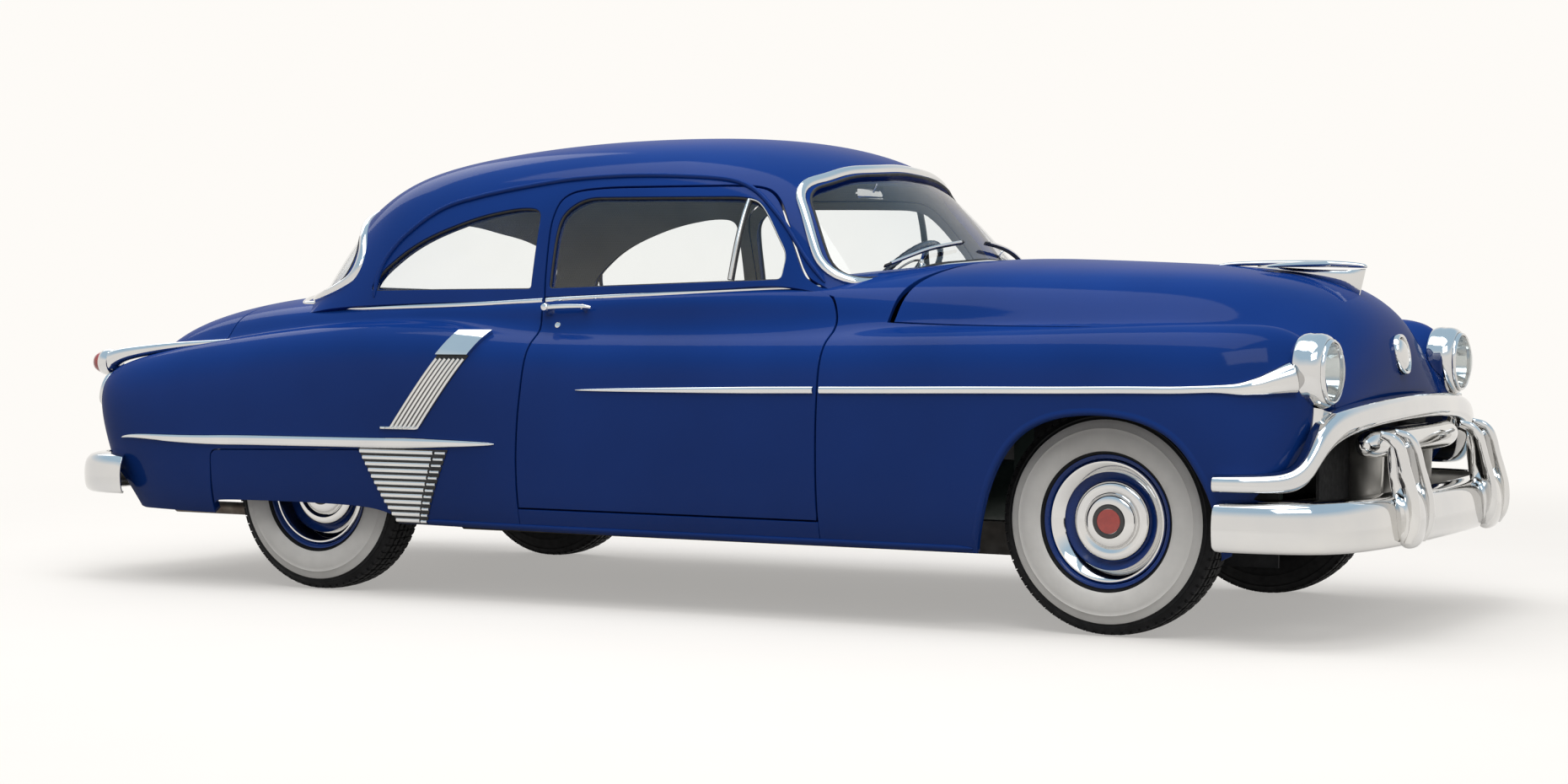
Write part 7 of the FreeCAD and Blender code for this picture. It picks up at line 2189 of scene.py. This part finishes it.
def build_seats(s):
    """The front bench with its two backs, and the rear bench."""
    back = stuffed("front_back_right", FRONT_BACK, -0.694, -0.006, (1, 0, 0.42), 0.10, s.channel_spacing,
                   s.pad_voxel, 0.022)
    pads = {"front_back_right": (back, "front_seat"),
            "front_back_left": (mirror_mesh(back, "front_back_left"), "front_seat")}
    for name, outline, half, face, ribs, swell in (("front_cushion", FRONT_CUSHION, 0.694, (0.05, 0, 1), 0.12,
                                                    0.022), ("rear_cushion", REAR_CUSHION, 0.588,
                                                             (0.05, 0, 1), 0.12, 0.018),
                                                   ("rear_back", REAR_BACK, 0.588, (1, 0, 0.45), 0.10,
                                                    0.018)):
        mesh = stuffed(name, outline, -half, half, face, ribs, s.channel_spacing, s.pad_voxel, swell)
        pads[name] = mesh, "front_seat" if name.startswith("front") else "rear_seat"
    for name, (mesh, stands_for) in pads.items():
        pad = place_object(name, mesh, "car", (stands_for,))


# Cabin

DASH_SIDE = [(0.650, 0.842), (0.545, 0.848), (0.515, 0.868), (0.498, 0.905), (0.486, 0.950), (0.484, 0.985),
             (0.496, 1.010), (0.520, 1.032), (0.560, 1.046), (0.620, 1.0535), (0.690, 1.0545),
             (0.757, 1.0535), (0.757, 0.865)]
# Across, height and size of each dial, and the way they face
DIALS = ((0.380, 0.972, 1.0), (0.222, 0.968, 0.52), (0.538, 0.968, 0.52), (0.0, 0.972, 0.50))
DASH_LOOK = unit(np.array([-1.0, 0, 0.12]))
WHEEL_MIDDLE = np.array([0.345, 0.380, 1.080])
WHEEL_AXIS = np.array([-0.76345, 0.0, 0.64588])


def dash_face(y, z):
    """A place on the dashboard's face."""
    side = np.array(DASH_SIDE[2:9])
    order = np.argsort(side[:, 1])
    return np.array([np.interp(z, side[order, 1], side[order, 0]), y, z])


def tick_shapes():
    """The marks round the dials, every fourth of them longer."""
    ticks = []
    for y, z, size in DIALS:
        spot = dash_face(y, z) + DASH_LOOK * 0.0042
        for k in range(25):
            a = math.radians(-210 + k * 10)
            way = np.array([0.12 * math.sin(a), -math.cos(a), math.sin(a)])
            long = 0.012 if k % 4 == 0 else 0.006
            ends = [spot + way * (0.074 - long) * size, spot + way * 0.074 * size]
            ticks.append(fixed_out(sweep(ends, [(-0.0009, 0), (0.0009, 0), (0.0009, 0.0006),
                                                (-0.0009, 0.0006)], DASH_LOOK)))
    return ticks


def dash_shapes():
    """The dashboard with its bright bands, dials, knobs and glovebox lid."""
    shapes = [marked(plate_side(smooth_line(DASH_SIDE, 4, True), -0.664, 0.664, 0.010), 0)]
    look = DASH_LOOK
    for z, wide in ((0.912, 0.010), (0.936, 0.005)):
        line = [dash_face(y, z) - (0.001, 0, 0) for y in np.linspace(-0.655, 0.655, 40)]
        shapes.append(marked(fixed_out(sweep(line, half_round(wide, 0.005, 8), (-1, 0, 0.1))), 1))
    rim = [(0.086, -0.010), (0.090, 0.000), (0.090, 0.012), (0.087, 0.017), (0.082, 0.015), (0.080, 0.004),
           (0.080, -0.010)]
    for y, z, size in DIALS:
        spot = dash_face(y, z)
        grown_rim = [(r * size, o * (0.5 + 0.5 * size)) for r, o in rim]
        shapes.append(turned(grown_rim + grown_rim[:1], spot, look, 48, 1))
        shapes.append(turned([(0.0, 0.0035), (0.079 * size, 0.0035), (0.081 * size, -0.006), (0.0, -0.006)],
                             spot, look, 48, 2))
        shapes.append(turned([(0.0, 0.0085), (0.006 * size + 0.001, 0.008), (0.007 * size + 0.001, 0.0035),
                              (0.0, 0.0035)], spot, look, 20, 1))
        hand = fixed_out(sweep([spot + look * 0.0065, spot + look * 0.0065 + np.array([0.01, 0.6, 0.8])
                                * 0.066 * size], [(-0.0018, -0.0006), (0.0018, -0.0006), (0.0018, 0.0006),
                                                  (-0.0018, 0.0006)], look))
        shapes.append(marked(hand, 3))
    for y in (-0.10, -0.06, 0.06, 0.10, 0.205, 0.255, 0.50, 0.55):
        spot = dash_face(y, 0.890)
        shapes.append(turned([(0.0, 0.024), (0.006, 0.0235), (0.0095, 0.020), (0.0100, 0.013),
                              (0.0070, 0.009), (0.0065, 0.0), (0.0, -0.006)], spot, look, 24, 1))
    lid = rounded([(-0.58, 0.925), (-0.30, 0.925), (-0.30, 1.005), (-0.58, 1.005)], 0.018)
    groove = [dash_face(y, z) + look * 0.0005 for y, z in dense(lid, 0.02, True)]
    line = fixed_out(sweep(groove, ring_points(8, 0.004, 0.004), look, None, True))
    shapes.append(marked(line, 3))
    shapes.append(turned([(0.0, 0.014), (0.008, 0.0135), (0.012, 0.010), (0.012, 0.0), (0.0, -0.006)],
                         dash_face(-0.440, 0.985), look, 28, 1))
    return shapes


def finger_grips(angle):
    """How thick the steering wheel's rim is round its turn."""
    return 1.0 - 0.10 * (0.5 + 0.5 * np.cos(angle * 44)) ** 6


def ring_on(centre, axis, radius, wide, high, count=96, swell=None):
    """A ring of an oval bar about an axis."""
    side = unit(np.cross(axis, (0, 1, 0)))
    other = np.cross(axis, side)
    a = np.linspace(0, 2 * math.pi, count, endpoint=False)
    spokes = np.cos(a)[:, None] * side + np.sin(a)[:, None] * other
    size = None if swell is None else swell(a)
    return fixed_out(sweep(centre + spokes * radius, ring_points(14, wide, high), axis, size, True))


def steering_shapes():
    """The steering wheel: rim with finger grips, spokes, bright horn ring and hub."""
    rim = ring_on(WHEEL_MIDDLE, WHEEL_AXIS, 0.2128, 0.0240, 0.0240, 264, finger_grips)
    shapes = [marked(rim, 0)]
    down = unit(np.cross(WHEEL_AXIS, (0, 1, 0)))
    if down[2] > 0:
        down = -down
    for turn in (math.radians(62), -math.radians(62), math.pi):
        way = down * math.cos(turn) + np.array([0, 1.0, 0]) * math.sin(turn)
        line = [WHEEL_MIDDLE + way * r + WHEEL_AXIS * h for r, h in ((0.025, -0.006), (0.08, -0.010),
                                                                     (0.15, -0.006), (0.208, 0.0))]
        spoke = fixed_out(sweep(smooth_line(line, 6), ring_points(14, 0.030, 0.013), WHEEL_AXIS,
                                np.stack((np.linspace(1.25, 0.55, 19), np.linspace(1.1, 0.8, 19)), 1)))
        shapes.append(marked(spoke, 0))
    horn = ring_on(WHEEL_MIDDLE + WHEEL_AXIS * 0.006, WHEEL_AXIS, 0.128, 0.009, 0.007, 96)
    shapes.append(marked(horn, 1))
    for side in (-1, 1):
        line = [WHEEL_MIDDLE + np.array([0, side * r, 0]) + WHEEL_AXIS * h
                for r, h in ((0.030, 0.016), (0.075, 0.014), (0.128, 0.006))]
        link = fixed_out(sweep(smooth_line(line, 6), ring_points(12, 0.016, 0.006), WHEEL_AXIS))
        shapes.append(marked(link, 1))
    hub = [(0.0, 0.0285), (0.012, 0.028), (0.024, 0.0255), (0.0325, 0.021), (0.0365, 0.0150), (0.0370, 0.011)]
    cap = [(0.0370, 0.011), (0.0400, 0.010), (0.0440, 0.004), (0.0445, -0.008), (0.0400, -0.020),
           (0.0320, -0.029), (0.0, -0.0295)]
    shapes.append(turned(hub + [(0.0, 0.008)], WHEEL_MIDDLE, WHEEL_AXIS, 48, 1))
    shapes.append(turned([(0.0, 0.0105)] + cap, WHEEL_MIDDLE, WHEEL_AXIS, 48, 0))
    return shapes


def card_loop(outline, stations):
    """A trim card's outline on the body's inner side."""
    line = dense(rounded(metres(outline), 0.05), 0.02, True)
    return side_line(BODY, line, (0.3, 8.3), 0.0, stations)


# How thick a trim card is, and how far in from the door's outside its face lies
CARD_DEPTH = 0.006
CARD_FACE = DOOR_DEPTH + 0.0005 + CARD_DEPTH
DOOR_CARD = [(-3.95, 4.20), (6.20, 4.20), (6.30, 9.95), (-3.75, 9.95)]
QUARTER_CARD = [(-12.6, 5.60), (-9.9, 5.60), (-9.3, 4.20), (-5.20, 4.20), (-4.95, 9.75), (-12.6, 9.55)]


def crank_shapes(x, z, inset, knob):
    """A window crank or inner door handle on the right door's card."""
    place, outside = spot_on(BODY, side_line(BODY, [(x, z)], (3.0, 9.0)))
    normal = -outside
    spot = place + normal * inset
    shapes = [turned([(0.0, 0.020), (0.010, 0.0195), (0.014, 0.016), (0.0155, 0.009), (0.022, 0.004),
                      (0.023, 0.0), (0.0, -0.004)], spot, normal, 32, 1)]
    far = np.array([0.105 if knob else -0.095, 0.0, -0.035 if knob else 0.010])
    line = smooth_line([spot + normal * 0.014, spot + normal * 0.022 + far * 0.45,
                        spot + normal * 0.020 + far], 6)
    arm = fixed_out(sweep(line, ring_points(12, 0.015, 0.007), normal, np.linspace(1.1, 0.8, len(line))))
    shapes.append(marked(arm, 1))
    if knob:
        shapes.append(turned([(0.0, 0.030), (0.008, 0.029), (0.0115, 0.024), (0.0110, 0.014), (0.008, 0.004),
                              (0.0, 0.0)], spot + normal * 0.020 + far, normal, 24, 2))
    return shapes


def build_cabin():
    """The dashboard, steering wheel with its lever, trim cards, visors and mirror."""
    mesh = group_mesh("dash_work", dash_shapes(), finishes("dash", "chrome", "dial", "black"), 35)
    mesh = joined_meshes("dash_work", [mesh, group_mesh("dash_ticks", tick_shapes(), finishes("black"), 30)])
    place_object("dash_work", mesh, "car", ("dashboard",))
    mesh = group_mesh("steering_rim", steering_shapes(), finishes("plastic", "chrome"), 40)
    place_object("steering_rim", mesh, "steering_wheel_body", ("steering_wheel",))
    under = WHEEL_MIDDLE - WHEEL_AXIS * 0.080
    lever = smooth_line([under + (0.01, -0.020, 0.0), under + (0.010, -0.07, 0.020),
                         under + (0.0, -0.15, 0.050), under + (-0.010, -0.20, 0.070)], 6)
    arm = fixed_out(sweep(lever, ring_points(12, 0.010, 0.010), (0, 0, 1)))
    shapes = [marked(arm, 0), turned([(0.0, 0.014), (0.008, 0.012), (0.0125, 0.004), (0.0125, -0.004),
                                      (0.007, -0.013), (0.0, -0.015)], lever[-1], lever[-1] - lever[-2], 24,
                                     1)]
    shapes += [marked(visor, 2) for visor in visor_shapes()] + mirror_shapes()
    mesh = group_mesh("cabin_fittings", shapes, finishes("chrome", "plastic", "liner", "black"), 40)
    place_object("cabin_fittings", mesh, "car")
    door_lining, rear_lining = Layer(BODY, -DOOR_DEPTH - 0.0005), Layer(BODY, -REAR_DEPTH - 0.0005)
    card = card_loop(DOOR_CARD, (7.5, 13.0))
    parts = [slab(rear_lining, [loop], CARD_DEPTH, 0.04) for loop in both(card_loop(QUARTER_CARD,
                                                                                    (11.0, 16.5)))]
    panel_object("quarter_cards", parts, finishes("card"), "car", ())
    fittings = crank_shapes(0.215, 0.745, CARD_FACE, True) + crank_shapes(0.330, 0.855, CARD_FACE,
                                                                          False) + rest_shapes()
    for side, turn, flip in SIDES:
        card_shape = slab(door_lining, [turn(card, BODY_ROWS)], CARD_DEPTH, 0.04)
        shapes = [marked(card_shape, 0)] + [flip(f) for f in fittings]
        mesh = group_mesh("door_%s_card" % side, shapes, finishes("card", "chrome", "plastic"), 40)
        place_object("door_%s_card" % side, mesh, "door_%s_body" % side)


def rest_shapes():
    """The armrest on the right door's card, and the card's two bright strips."""
    shapes = []
    line = side_line(BODY, np.linspace((-0.24, 0.675), (0.13, 0.680), 20), (3.0, 8.0))
    spots, normal = BODY.at(line[:, 0], line[:, 1]), -BODY.normal(line[:, 0], line[:, 1])
    size = tapered(20, 0.35, 0.35, 1.0, 0.2, 0.2)
    rest = fixed_out(sweep(spots + normal * 0.094, ring_points(18, 0.055, 0.052, 3.0), normal, size))
    shapes.append(marked(rest, 0))
    for z in (0.56, 0.80):
        line = side_line(BODY, np.linspace((-0.37, z), (0.60, z + 0.01), 60), (2.0, 8.0))
        spots, normal = BODY.at(line[:, 0], line[:, 1]), -BODY.normal(line[:, 0], line[:, 1])
        strip = fixed_out(sweep(spots + normal * CARD_FACE, half_round(0.010, 0.004, 8, 0.002), normal))
        shapes.append(marked(strip, 1))
    return shapes


def visor_shapes():
    """Two sun visors over the windshield."""
    shapes = []
    for side in (-1, 1):
        outline = rounded([(-0.20, -0.07), (0.20, -0.07), (0.20, 0.07), (-0.20, 0.07)], 0.035)
        rings = []
        for out, scale in ((-0.008, 0.93), (-0.004, 0.99), (0.004, 0.99), (0.008, 0.93)):
            rings.append([(0.325 + 0.94 * b * scale - 0.34 * out, side * 0.335 + a * scale,
                           1.497 - 0.34 * b * scale - 0.94 * out - abs(a) * 0.12) for a, b in outline])
        shapes.append(fixed_out(loft(rings)))
    return shapes


def mirror_shapes():
    """The inside mirror on its stem."""
    outline = rounded([(-0.105, -0.022), (0.105, -0.022), (0.105, 0.022), (-0.105, 0.022)], 0.021)
    rings = [[(0.425 + out, a * scale, 1.418 + b * scale) for a, b in outline]
             for out, scale in ((-0.006, 0.93), (-0.0045, 0.99), (0.003, 1.0), (0.010, 0.80), (0.013, 0.45))]
    back = fixed_out(loft(rings))
    glass = fixed_out(loft([[(0.425 + out, a * 0.92, 1.418 + b * 0.90) for a, b in outline]
                            for out in (-0.0072, -0.0055)]))
    stem = fixed_out(sweep(smooth_line([(0.436, 0, 1.418), (0.450, 0, 1.450), (0.452, 0, 1.490)], 6),
                           ring_points(10, 0.009, 0.009), (1, 0, 0)))
    return [marked(back, 0), marked(glass, 0), marked(stem, 0)]


CAD_FINISHES = {"frame": "chassis", "floor_pan": "floor", "firewall": "black", "engine_block": "iron",
                "driveline": "iron", "exhaust": "pipe", "rear_axle": "chassis", "front_suspension": "chassis",
                "knuckle_left": "iron", "knuckle_right": "iron", "wheel_houses": "under", "fuel_tank": "pipe",
                "hinge_brackets": "inner", "steering_column": "dash"}


def build_finishes():
    """Finishes for the parts that are shown as they come from the frame."""
    for name, finish_name in CAD_FINISHES.items():
        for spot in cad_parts[name].material_slots:
            spot.material = MATERIALS[finish_name]


# Engine bay

def build_engine():
    """The air cleaner, and the valve covers with their plugs, on the engine block."""
    low, high = [np.array(c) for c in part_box("engine_block")]
    top, middle = high[2], (low[0] + high[0]) / 2
    shapes = [turned([(0.0, 0.070), (0.010, 0.070), (0.013, 0.064), (0.030, 0.060), (0.110, 0.057),
                      (0.146, 0.050), (0.154, 0.038), (0.155, 0.012), (0.148, 0.002), (0.080, -0.004),
                      (0.050, -0.012), (0.050, -0.0295), (0.0, -0.0295)], (middle, 0, top + 0.030), (0, 0, 1),
                     72, 0)]
    for side in (-1, 1):
        outline = rounded([(-0.28, -0.055), (0.28, -0.055), (0.28, 0.055), (-0.28, 0.055)], 0.03)
        rings = [[(middle + a * size, side * 0.200 + b * size, top + up) for a, b in outline]
                 for up, size in ((0.0005, 1.0), (0.018, 0.985), (0.026, 0.93), (0.0285, 0.80))]
        cover = fixed_out(loft(rings))
        shapes.append(marked(cover, 1))
        for k in range(4):
            plug = [(0.0, 0.040), (0.005, 0.040), (0.0055, 0.030), (0.009, 0.028), (0.009, 0.016),
                    (0.013, 0.014), (0.013, 0.0005), (0.0, 0.0005)]
            shapes.append(turned(plug, (middle - 0.21 + 0.14 * k, side * 0.245, top + 0.0285), (0, 0, 1), 16,
                                 2))
    mesh = group_mesh("engine_dressing", shapes, finishes("black", "iron", "rubber"), 35)
    place_object("engine_dressing", mesh, "car")


# Studio

def ground(color, backdrop):
    """A matt floor that keeps the car's shadow and fades into the backdrop far out; it throws
    less light up at the car than the camera sees."""
    made, tree, shader = new_material("floor_paper")
    seen = seen_rays(tree)
    pale = blended(tree, span(tree, noise(tree, 1.5, 3.0), 0, 1), color, times(color, 0.985))
    tree.links.new(blended(tree, seen, (0.22, 0.215, 0.21), pale), shader.inputs["Base Color"])
    shader.inputs["Roughness"].default_value = 0.9
    shader.inputs["Specular IOR Level"].default_value = 0.0
    place = node(tree, "ShaderNodeTexCoord").outputs["Object"]
    far = node(tree, "ShaderNodeVectorMath", {0: place}, operation="LENGTH").outputs["Value"]
    fade = node(tree, "ShaderNodeMapRange", {"Value": far, "From Min": 3.2, "From Max": 7.5},
                interpolation_type="SMOOTHSTEP").outputs[0]
    fade = span(tree, fade, 0.38, 1.0, 0.0, 1.0)
    glow = node(tree, "ShaderNodeEmission", {"Color": tuple(backdrop) + (1.0,)})
    surface = mixed(tree, maths(tree, "MULTIPLY", fade, seen), shader.outputs[0], glow.outputs[0])
    tree.links.new(surface, tree.nodes["Material Output"].inputs["Surface"])
    return made


def seen_rays(tree):
    """One for what the camera, metal and glass show, and nought for what only lights the car."""
    path = node(tree, "ShaderNodeLightPath").outputs
    metal = maths(tree, "MAXIMUM", path["Is Camera Ray"], path["Is Glossy Ray"])
    return maths(tree, "MAXIMUM", metal, path["Is Transmission Ray"])


def build_stage(s):
    """The floor, the lamps, the sky and the camera at the photograph's view."""
    scene = bpy.context.scene
    half = 30.0
    mesh = mesh_of("studio_floor", [(-half, -half, 0), (half, -half, 0), (half, half, 0), (-half, half, 0)],
                   [(0, 1, 2, 3)], [ground(s.floor_color, s.backdrop_color)])
    place_object("studio_floor", mesh, None)
    world = bpy.data.worlds.new("studio_sky")
    scene.world = world
    world.use_nodes = True
    tree = world.node_tree
    tree.nodes.clear()
    seen = seen_rays(tree)
    place = node(tree, "ShaderNodeTexCoord").outputs["Generated"]
    height = node(tree, "ShaderNodeSeparateXYZ", {0: place}).outputs["Z"]
    rise = node(tree, "ShaderNodeMapRange", {"Value": height, "From Min": -0.05, "From Max": 0.9,
                                             "To Min": 0.12, "To Max": 0.85}).outputs[0]
    soft = node(tree, "ShaderNodeBackground", {"Color": (1, 1, 1, 1)})
    tree.links.new(rise, soft.inputs["Strength"])
    rise = node(tree, "ShaderNodeMapRange", {"Value": height, "From Min": 0.28, "From Max": 0.62}).outputs[0]
    backdrop = node(tree, "ShaderNodeBackground", {"Strength": 1.0})
    tree.links.new(blended(tree, rise, s.backdrop_color, (0.50, 0.68, 0.84)), backdrop.inputs["Color"])
    node(tree, "ShaderNodeOutputWorld", {"Surface": mixed(tree, seen, soft.outputs[0], backdrop.outputs[0])})
    for name, spot, target, size, power in (("key_lamp", (4.5, -6.0, 7.0), (0.5, 0, 0.6), (5.0, 3.0),
                                             s.key_power), ("roof_lamp", (-0.5, -1.0, 7.5), (0, 0, 0),
                                                            (9.0, 4.0), s.roof_power),
                                            ("rear_lamp", (-6.5, 4.0, 5.0), (0, 0, 0.8), (4.0, 3.0),
                                             s.rear_power)):
        lamp = bpy.data.lights.new(name, "AREA")
        lamp.shape, lamp.size, lamp.size_y, lamp.energy = "RECTANGLE", size[0], size[1], power
        holder = bpy.data.objects.new(name, lamp)
        holder.location = spot
        holder.rotation_euler = (Vector(target) - Vector(spot)).to_track_quat("-Z", "Y").to_euler()
        scene.collection.objects.link(holder)
    azimuth, pitch = s.camera_azimuth, s.camera_pitch
    way = Vector((-math.sin(azimuth) * math.cos(pitch), math.cos(azimuth) * math.cos(pitch),
                  -math.sin(pitch)))
    lens = bpy.data.cameras.new("photo_camera")
    lens.sensor_width, lens.lens = 36.0, s.camera_lens
    holder = bpy.data.objects.new("photo_camera", lens)
    holder.location = s.camera_place
    holder.rotation_euler = way.to_track_quat("-Z", "Y").to_euler()
    scene.collection.objects.link(holder)
    scene.camera = holder
    scene.view_settings.view_transform = "Standard"


# Add-on

class SedanSettings(PropertyGroup):
    """Colours and sizes of the sedan."""

    paint: FloatVectorProperty(name="Body paint", description="Blue enamel of the body and wheels",
                               subtype="COLOR", size=3, default=(0.0070, 0.042, 0.235), min=0, max=1)
    whitewall: FloatVectorProperty(name="Whitewall", description="Pale band of the tyres", subtype="COLOR",
                                   size=3, default=(0.90, 0.88, 0.84), min=0, max=1)
    trim_gray: FloatVectorProperty(name="Trim gray", description="Dashboard, headliner and trim cards",
                                   subtype="COLOR", size=3, default=(0.22, 0.215, 0.19), min=0, max=1)
    seat_gray: FloatVectorProperty(name="Seat gray", description="Woven seat cloth", subtype="COLOR", size=3,
                                   default=(0.24, 0.23, 0.20), min=0, max=1)
    panel_spacing: FloatProperty(name="Panel spacing", description="Distance between a panel's vertices",
                                 subtype="DISTANCE", unit="LENGTH", default=0.025, min=0.015, max=0.06)
    tread_blocks: IntProperty(name="Tread blocks", description="Tread blocks round each tyre", default=72,
                              min=40, max=100)
    channel_spacing: FloatProperty(name="Seat channels",
                                   description="Distance between the sewn channels of the seats",
                                   subtype="DISTANCE", unit="LENGTH", default=0.062, min=0.03, max=0.15)
    pad_voxel: FloatProperty(name="Seat fineness",
                             description="Size of the grid that the seats are swelled on", subtype="DISTANCE",
                             unit="LENGTH", default=0.012, min=0.006, max=0.03)


class StudioSettings(PropertyGroup):
    """The floor, the lamps and the camera."""

    floor_color: FloatVectorProperty(name="Floor", description="Colour of the floor", subtype="COLOR", size=3,
                                     default=(0.88, 0.86, 0.83), min=0, max=1)
    backdrop_color: FloatVectorProperty(name="Backdrop", description="Colour behind the car", subtype="COLOR",
                                        size=3, default=(0.99, 0.965, 0.93), min=0, max=1)
    key_power: FloatProperty(name="Key lamp", description="Power of the lamp before the car", default=175.0,
                             min=0, unit="POWER")
    roof_power: FloatProperty(name="Roof lamp", description="Power of the lamp over the car", default=300.0,
                              min=0, unit="POWER")
    rear_power: FloatProperty(name="Rear lamp", description="Power of the lamp behind the car", default=80.0,
                              min=0, unit="POWER")
    camera_place: FloatVectorProperty(name="Camera place", description="Where the camera stands",
                                      subtype="TRANSLATION", unit="LENGTH", size=3,
                                      default=(5.215, -9.367, 1.096))
    camera_azimuth: FloatProperty(name="Camera azimuth",
                                  description="How far the camera looks from straight across to the rear",
                                  subtype="ANGLE", unit="ROTATION", default=math.radians(28.74))
    camera_pitch: FloatProperty(name="Camera pitch", description="How far the camera looks down",
                                subtype="ANGLE", unit="ROTATION", default=math.radians(2.08))
    camera_lens: FloatProperty(name="Camera lens", description="Focal length on a 36 mm sensor",
                               unit="CAMERA", default=3533 / 1860 * 36.0, min=10)


class SEDAN_OT_finishes(Operator):
    """Make the finishes and give them to the frame's own parts"""

    bl_idname = "sedan.finishes"
    bl_label = "Finishes"

    def execute(self, context):
        make_materials(context.scene.sedan)
        make_trees()
        build_finishes()
        return {"FINISHED"}


class SEDAN_OT_panels(Operator):
    """Make the painted panels, doors and roof"""

    bl_idname = "sedan.panels"
    bl_label = "Painted panels"

    def execute(self, context):
        build_panels(context.scene.sedan)
        return {"FINISHED"}


class SEDAN_OT_glass(Operator):
    """Make the window panes and their seals"""

    bl_idname = "sedan.glass"
    bl_label = "Glass"

    def execute(self, context):
        build_glass()
        return {"FINISHED"}


class SEDAN_OT_trim(Operator):
    """Make the bright trim of the body and doors"""

    bl_idname = "sedan.trim"
    bl_label = "Bright trim"

    def execute(self, context):
        build_bright_trim()
        return {"FINISHED"}


class SEDAN_OT_bumpers(Operator):
    """Make both bumpers with their guards, and the grille"""

    bl_idname = "sedan.bumpers"
    bl_label = "Bumpers and grille"

    def execute(self, context):
        bumper_object(True)
        bumper_object(False)
        grille_object()
        return {"FINISHED"}


class SEDAN_OT_lamps(Operator):
    """Make the head lamps and the tail lamps"""

    bl_idname = "sedan.lamps"
    bl_label = "Lamps"

    def execute(self, context):
        headlight_object()
        tail_light_object()
        return {"FINISHED"}


class SEDAN_OT_ornaments(Operator):
    """Make the hood's ornament and boss, and the trunk lid's handle"""

    bl_idname = "sedan.ornaments"
    bl_label = "Ornaments"

    def execute(self, context):
        ornament_object()
        build_badges()
        return {"FINISHED"}


class SEDAN_OT_wheels(Operator):
    """Make the four wheels and their tyres"""

    bl_idname = "sedan.wheels"
    bl_label = "Wheels and tyres"

    def execute(self, context):
        build_wheels(context.scene.sedan)
        return {"FINISHED"}


class SEDAN_OT_seats(Operator):
    """Make the front and rear seats"""

    bl_idname = "sedan.seats"
    bl_label = "Seats"

    def execute(self, context):
        build_seats(context.scene.sedan)
        return {"FINISHED"}


class SEDAN_OT_cabin(Operator):
    """Make the dashboard, steering wheel, trim cards and cabin fittings"""

    bl_idname = "sedan.cabin"
    bl_label = "Cabin"

    def execute(self, context):
        build_cabin()
        return {"FINISHED"}


class SEDAN_OT_engine(Operator):
    """Make what a raised hood shows on the engine"""

    bl_idname = "sedan.engine"
    bl_label = "Engine bay"

    def execute(self, context):
        build_engine()
        return {"FINISHED"}


class SEDAN_OT_studio(Operator):
    """Make the floor, the lamps, the sky and the camera"""

    bl_idname = "sedan.studio"
    bl_label = "Studio"

    def execute(self, context):
        build_stage(context.scene.sedan_studio)
        return {"FINISHED"}


OPERATORS = (SEDAN_OT_finishes, SEDAN_OT_panels, SEDAN_OT_glass, SEDAN_OT_trim, SEDAN_OT_bumpers,
             SEDAN_OT_lamps, SEDAN_OT_ornaments, SEDAN_OT_wheels, SEDAN_OT_seats, SEDAN_OT_cabin,
             SEDAN_OT_engine, SEDAN_OT_studio)


class SEDAN_PT_maker(Panel):
    """The sedan's settings and makers"""

    bl_idname = "SEDAN_PT_maker"
    bl_label = "Sedan"
    bl_space_type = "VIEW_3D"
    bl_region_type = "UI"
    bl_category = "Sedan"

    def draw(self, context):
        layout = self.layout
        for owner in (context.scene.sedan, context.scene.sedan_studio):
            box = layout.box()
            for name in owner.__annotations__:
                box.prop(owner, name)
        for item in OPERATORS:
            layout.operator(item.bl_idname)


CLASSES = (SedanSettings, StudioSettings) + OPERATORS + (SEDAN_PT_maker,)


def register():
    """Add the settings, operators and panel."""
    for item in CLASSES:
        bpy.utils.register_class(item)
    bpy.types.Scene.sedan = PointerProperty(type=SedanSettings)
    bpy.types.Scene.sedan_studio = PointerProperty(type=StudioSettings)


def unregister():
    """Take them away again."""
    del bpy.types.Scene.sedan_studio
    del bpy.types.Scene.sedan
    for item in reversed(CLASSES):
        bpy.utils.unregister_class(item)


def main():
    """Make the whole sedan and its studio."""
    register()
    bpy.ops.sedan.studio()
    bpy.ops.sedan.finishes()
    bpy.ops.sedan.panels()
    bpy.ops.sedan.glass()
    bpy.ops.sedan.trim()
    bpy.ops.sedan.bumpers()
    bpy.ops.sedan.lamps()
    bpy.ops.sedan.ornaments()
    bpy.ops.sedan.wheels()
    bpy.ops.sedan.seats()
    bpy.ops.sedan.cabin()
    bpy.ops.sedan.engine()


if __name__ == "__main__":
    main()
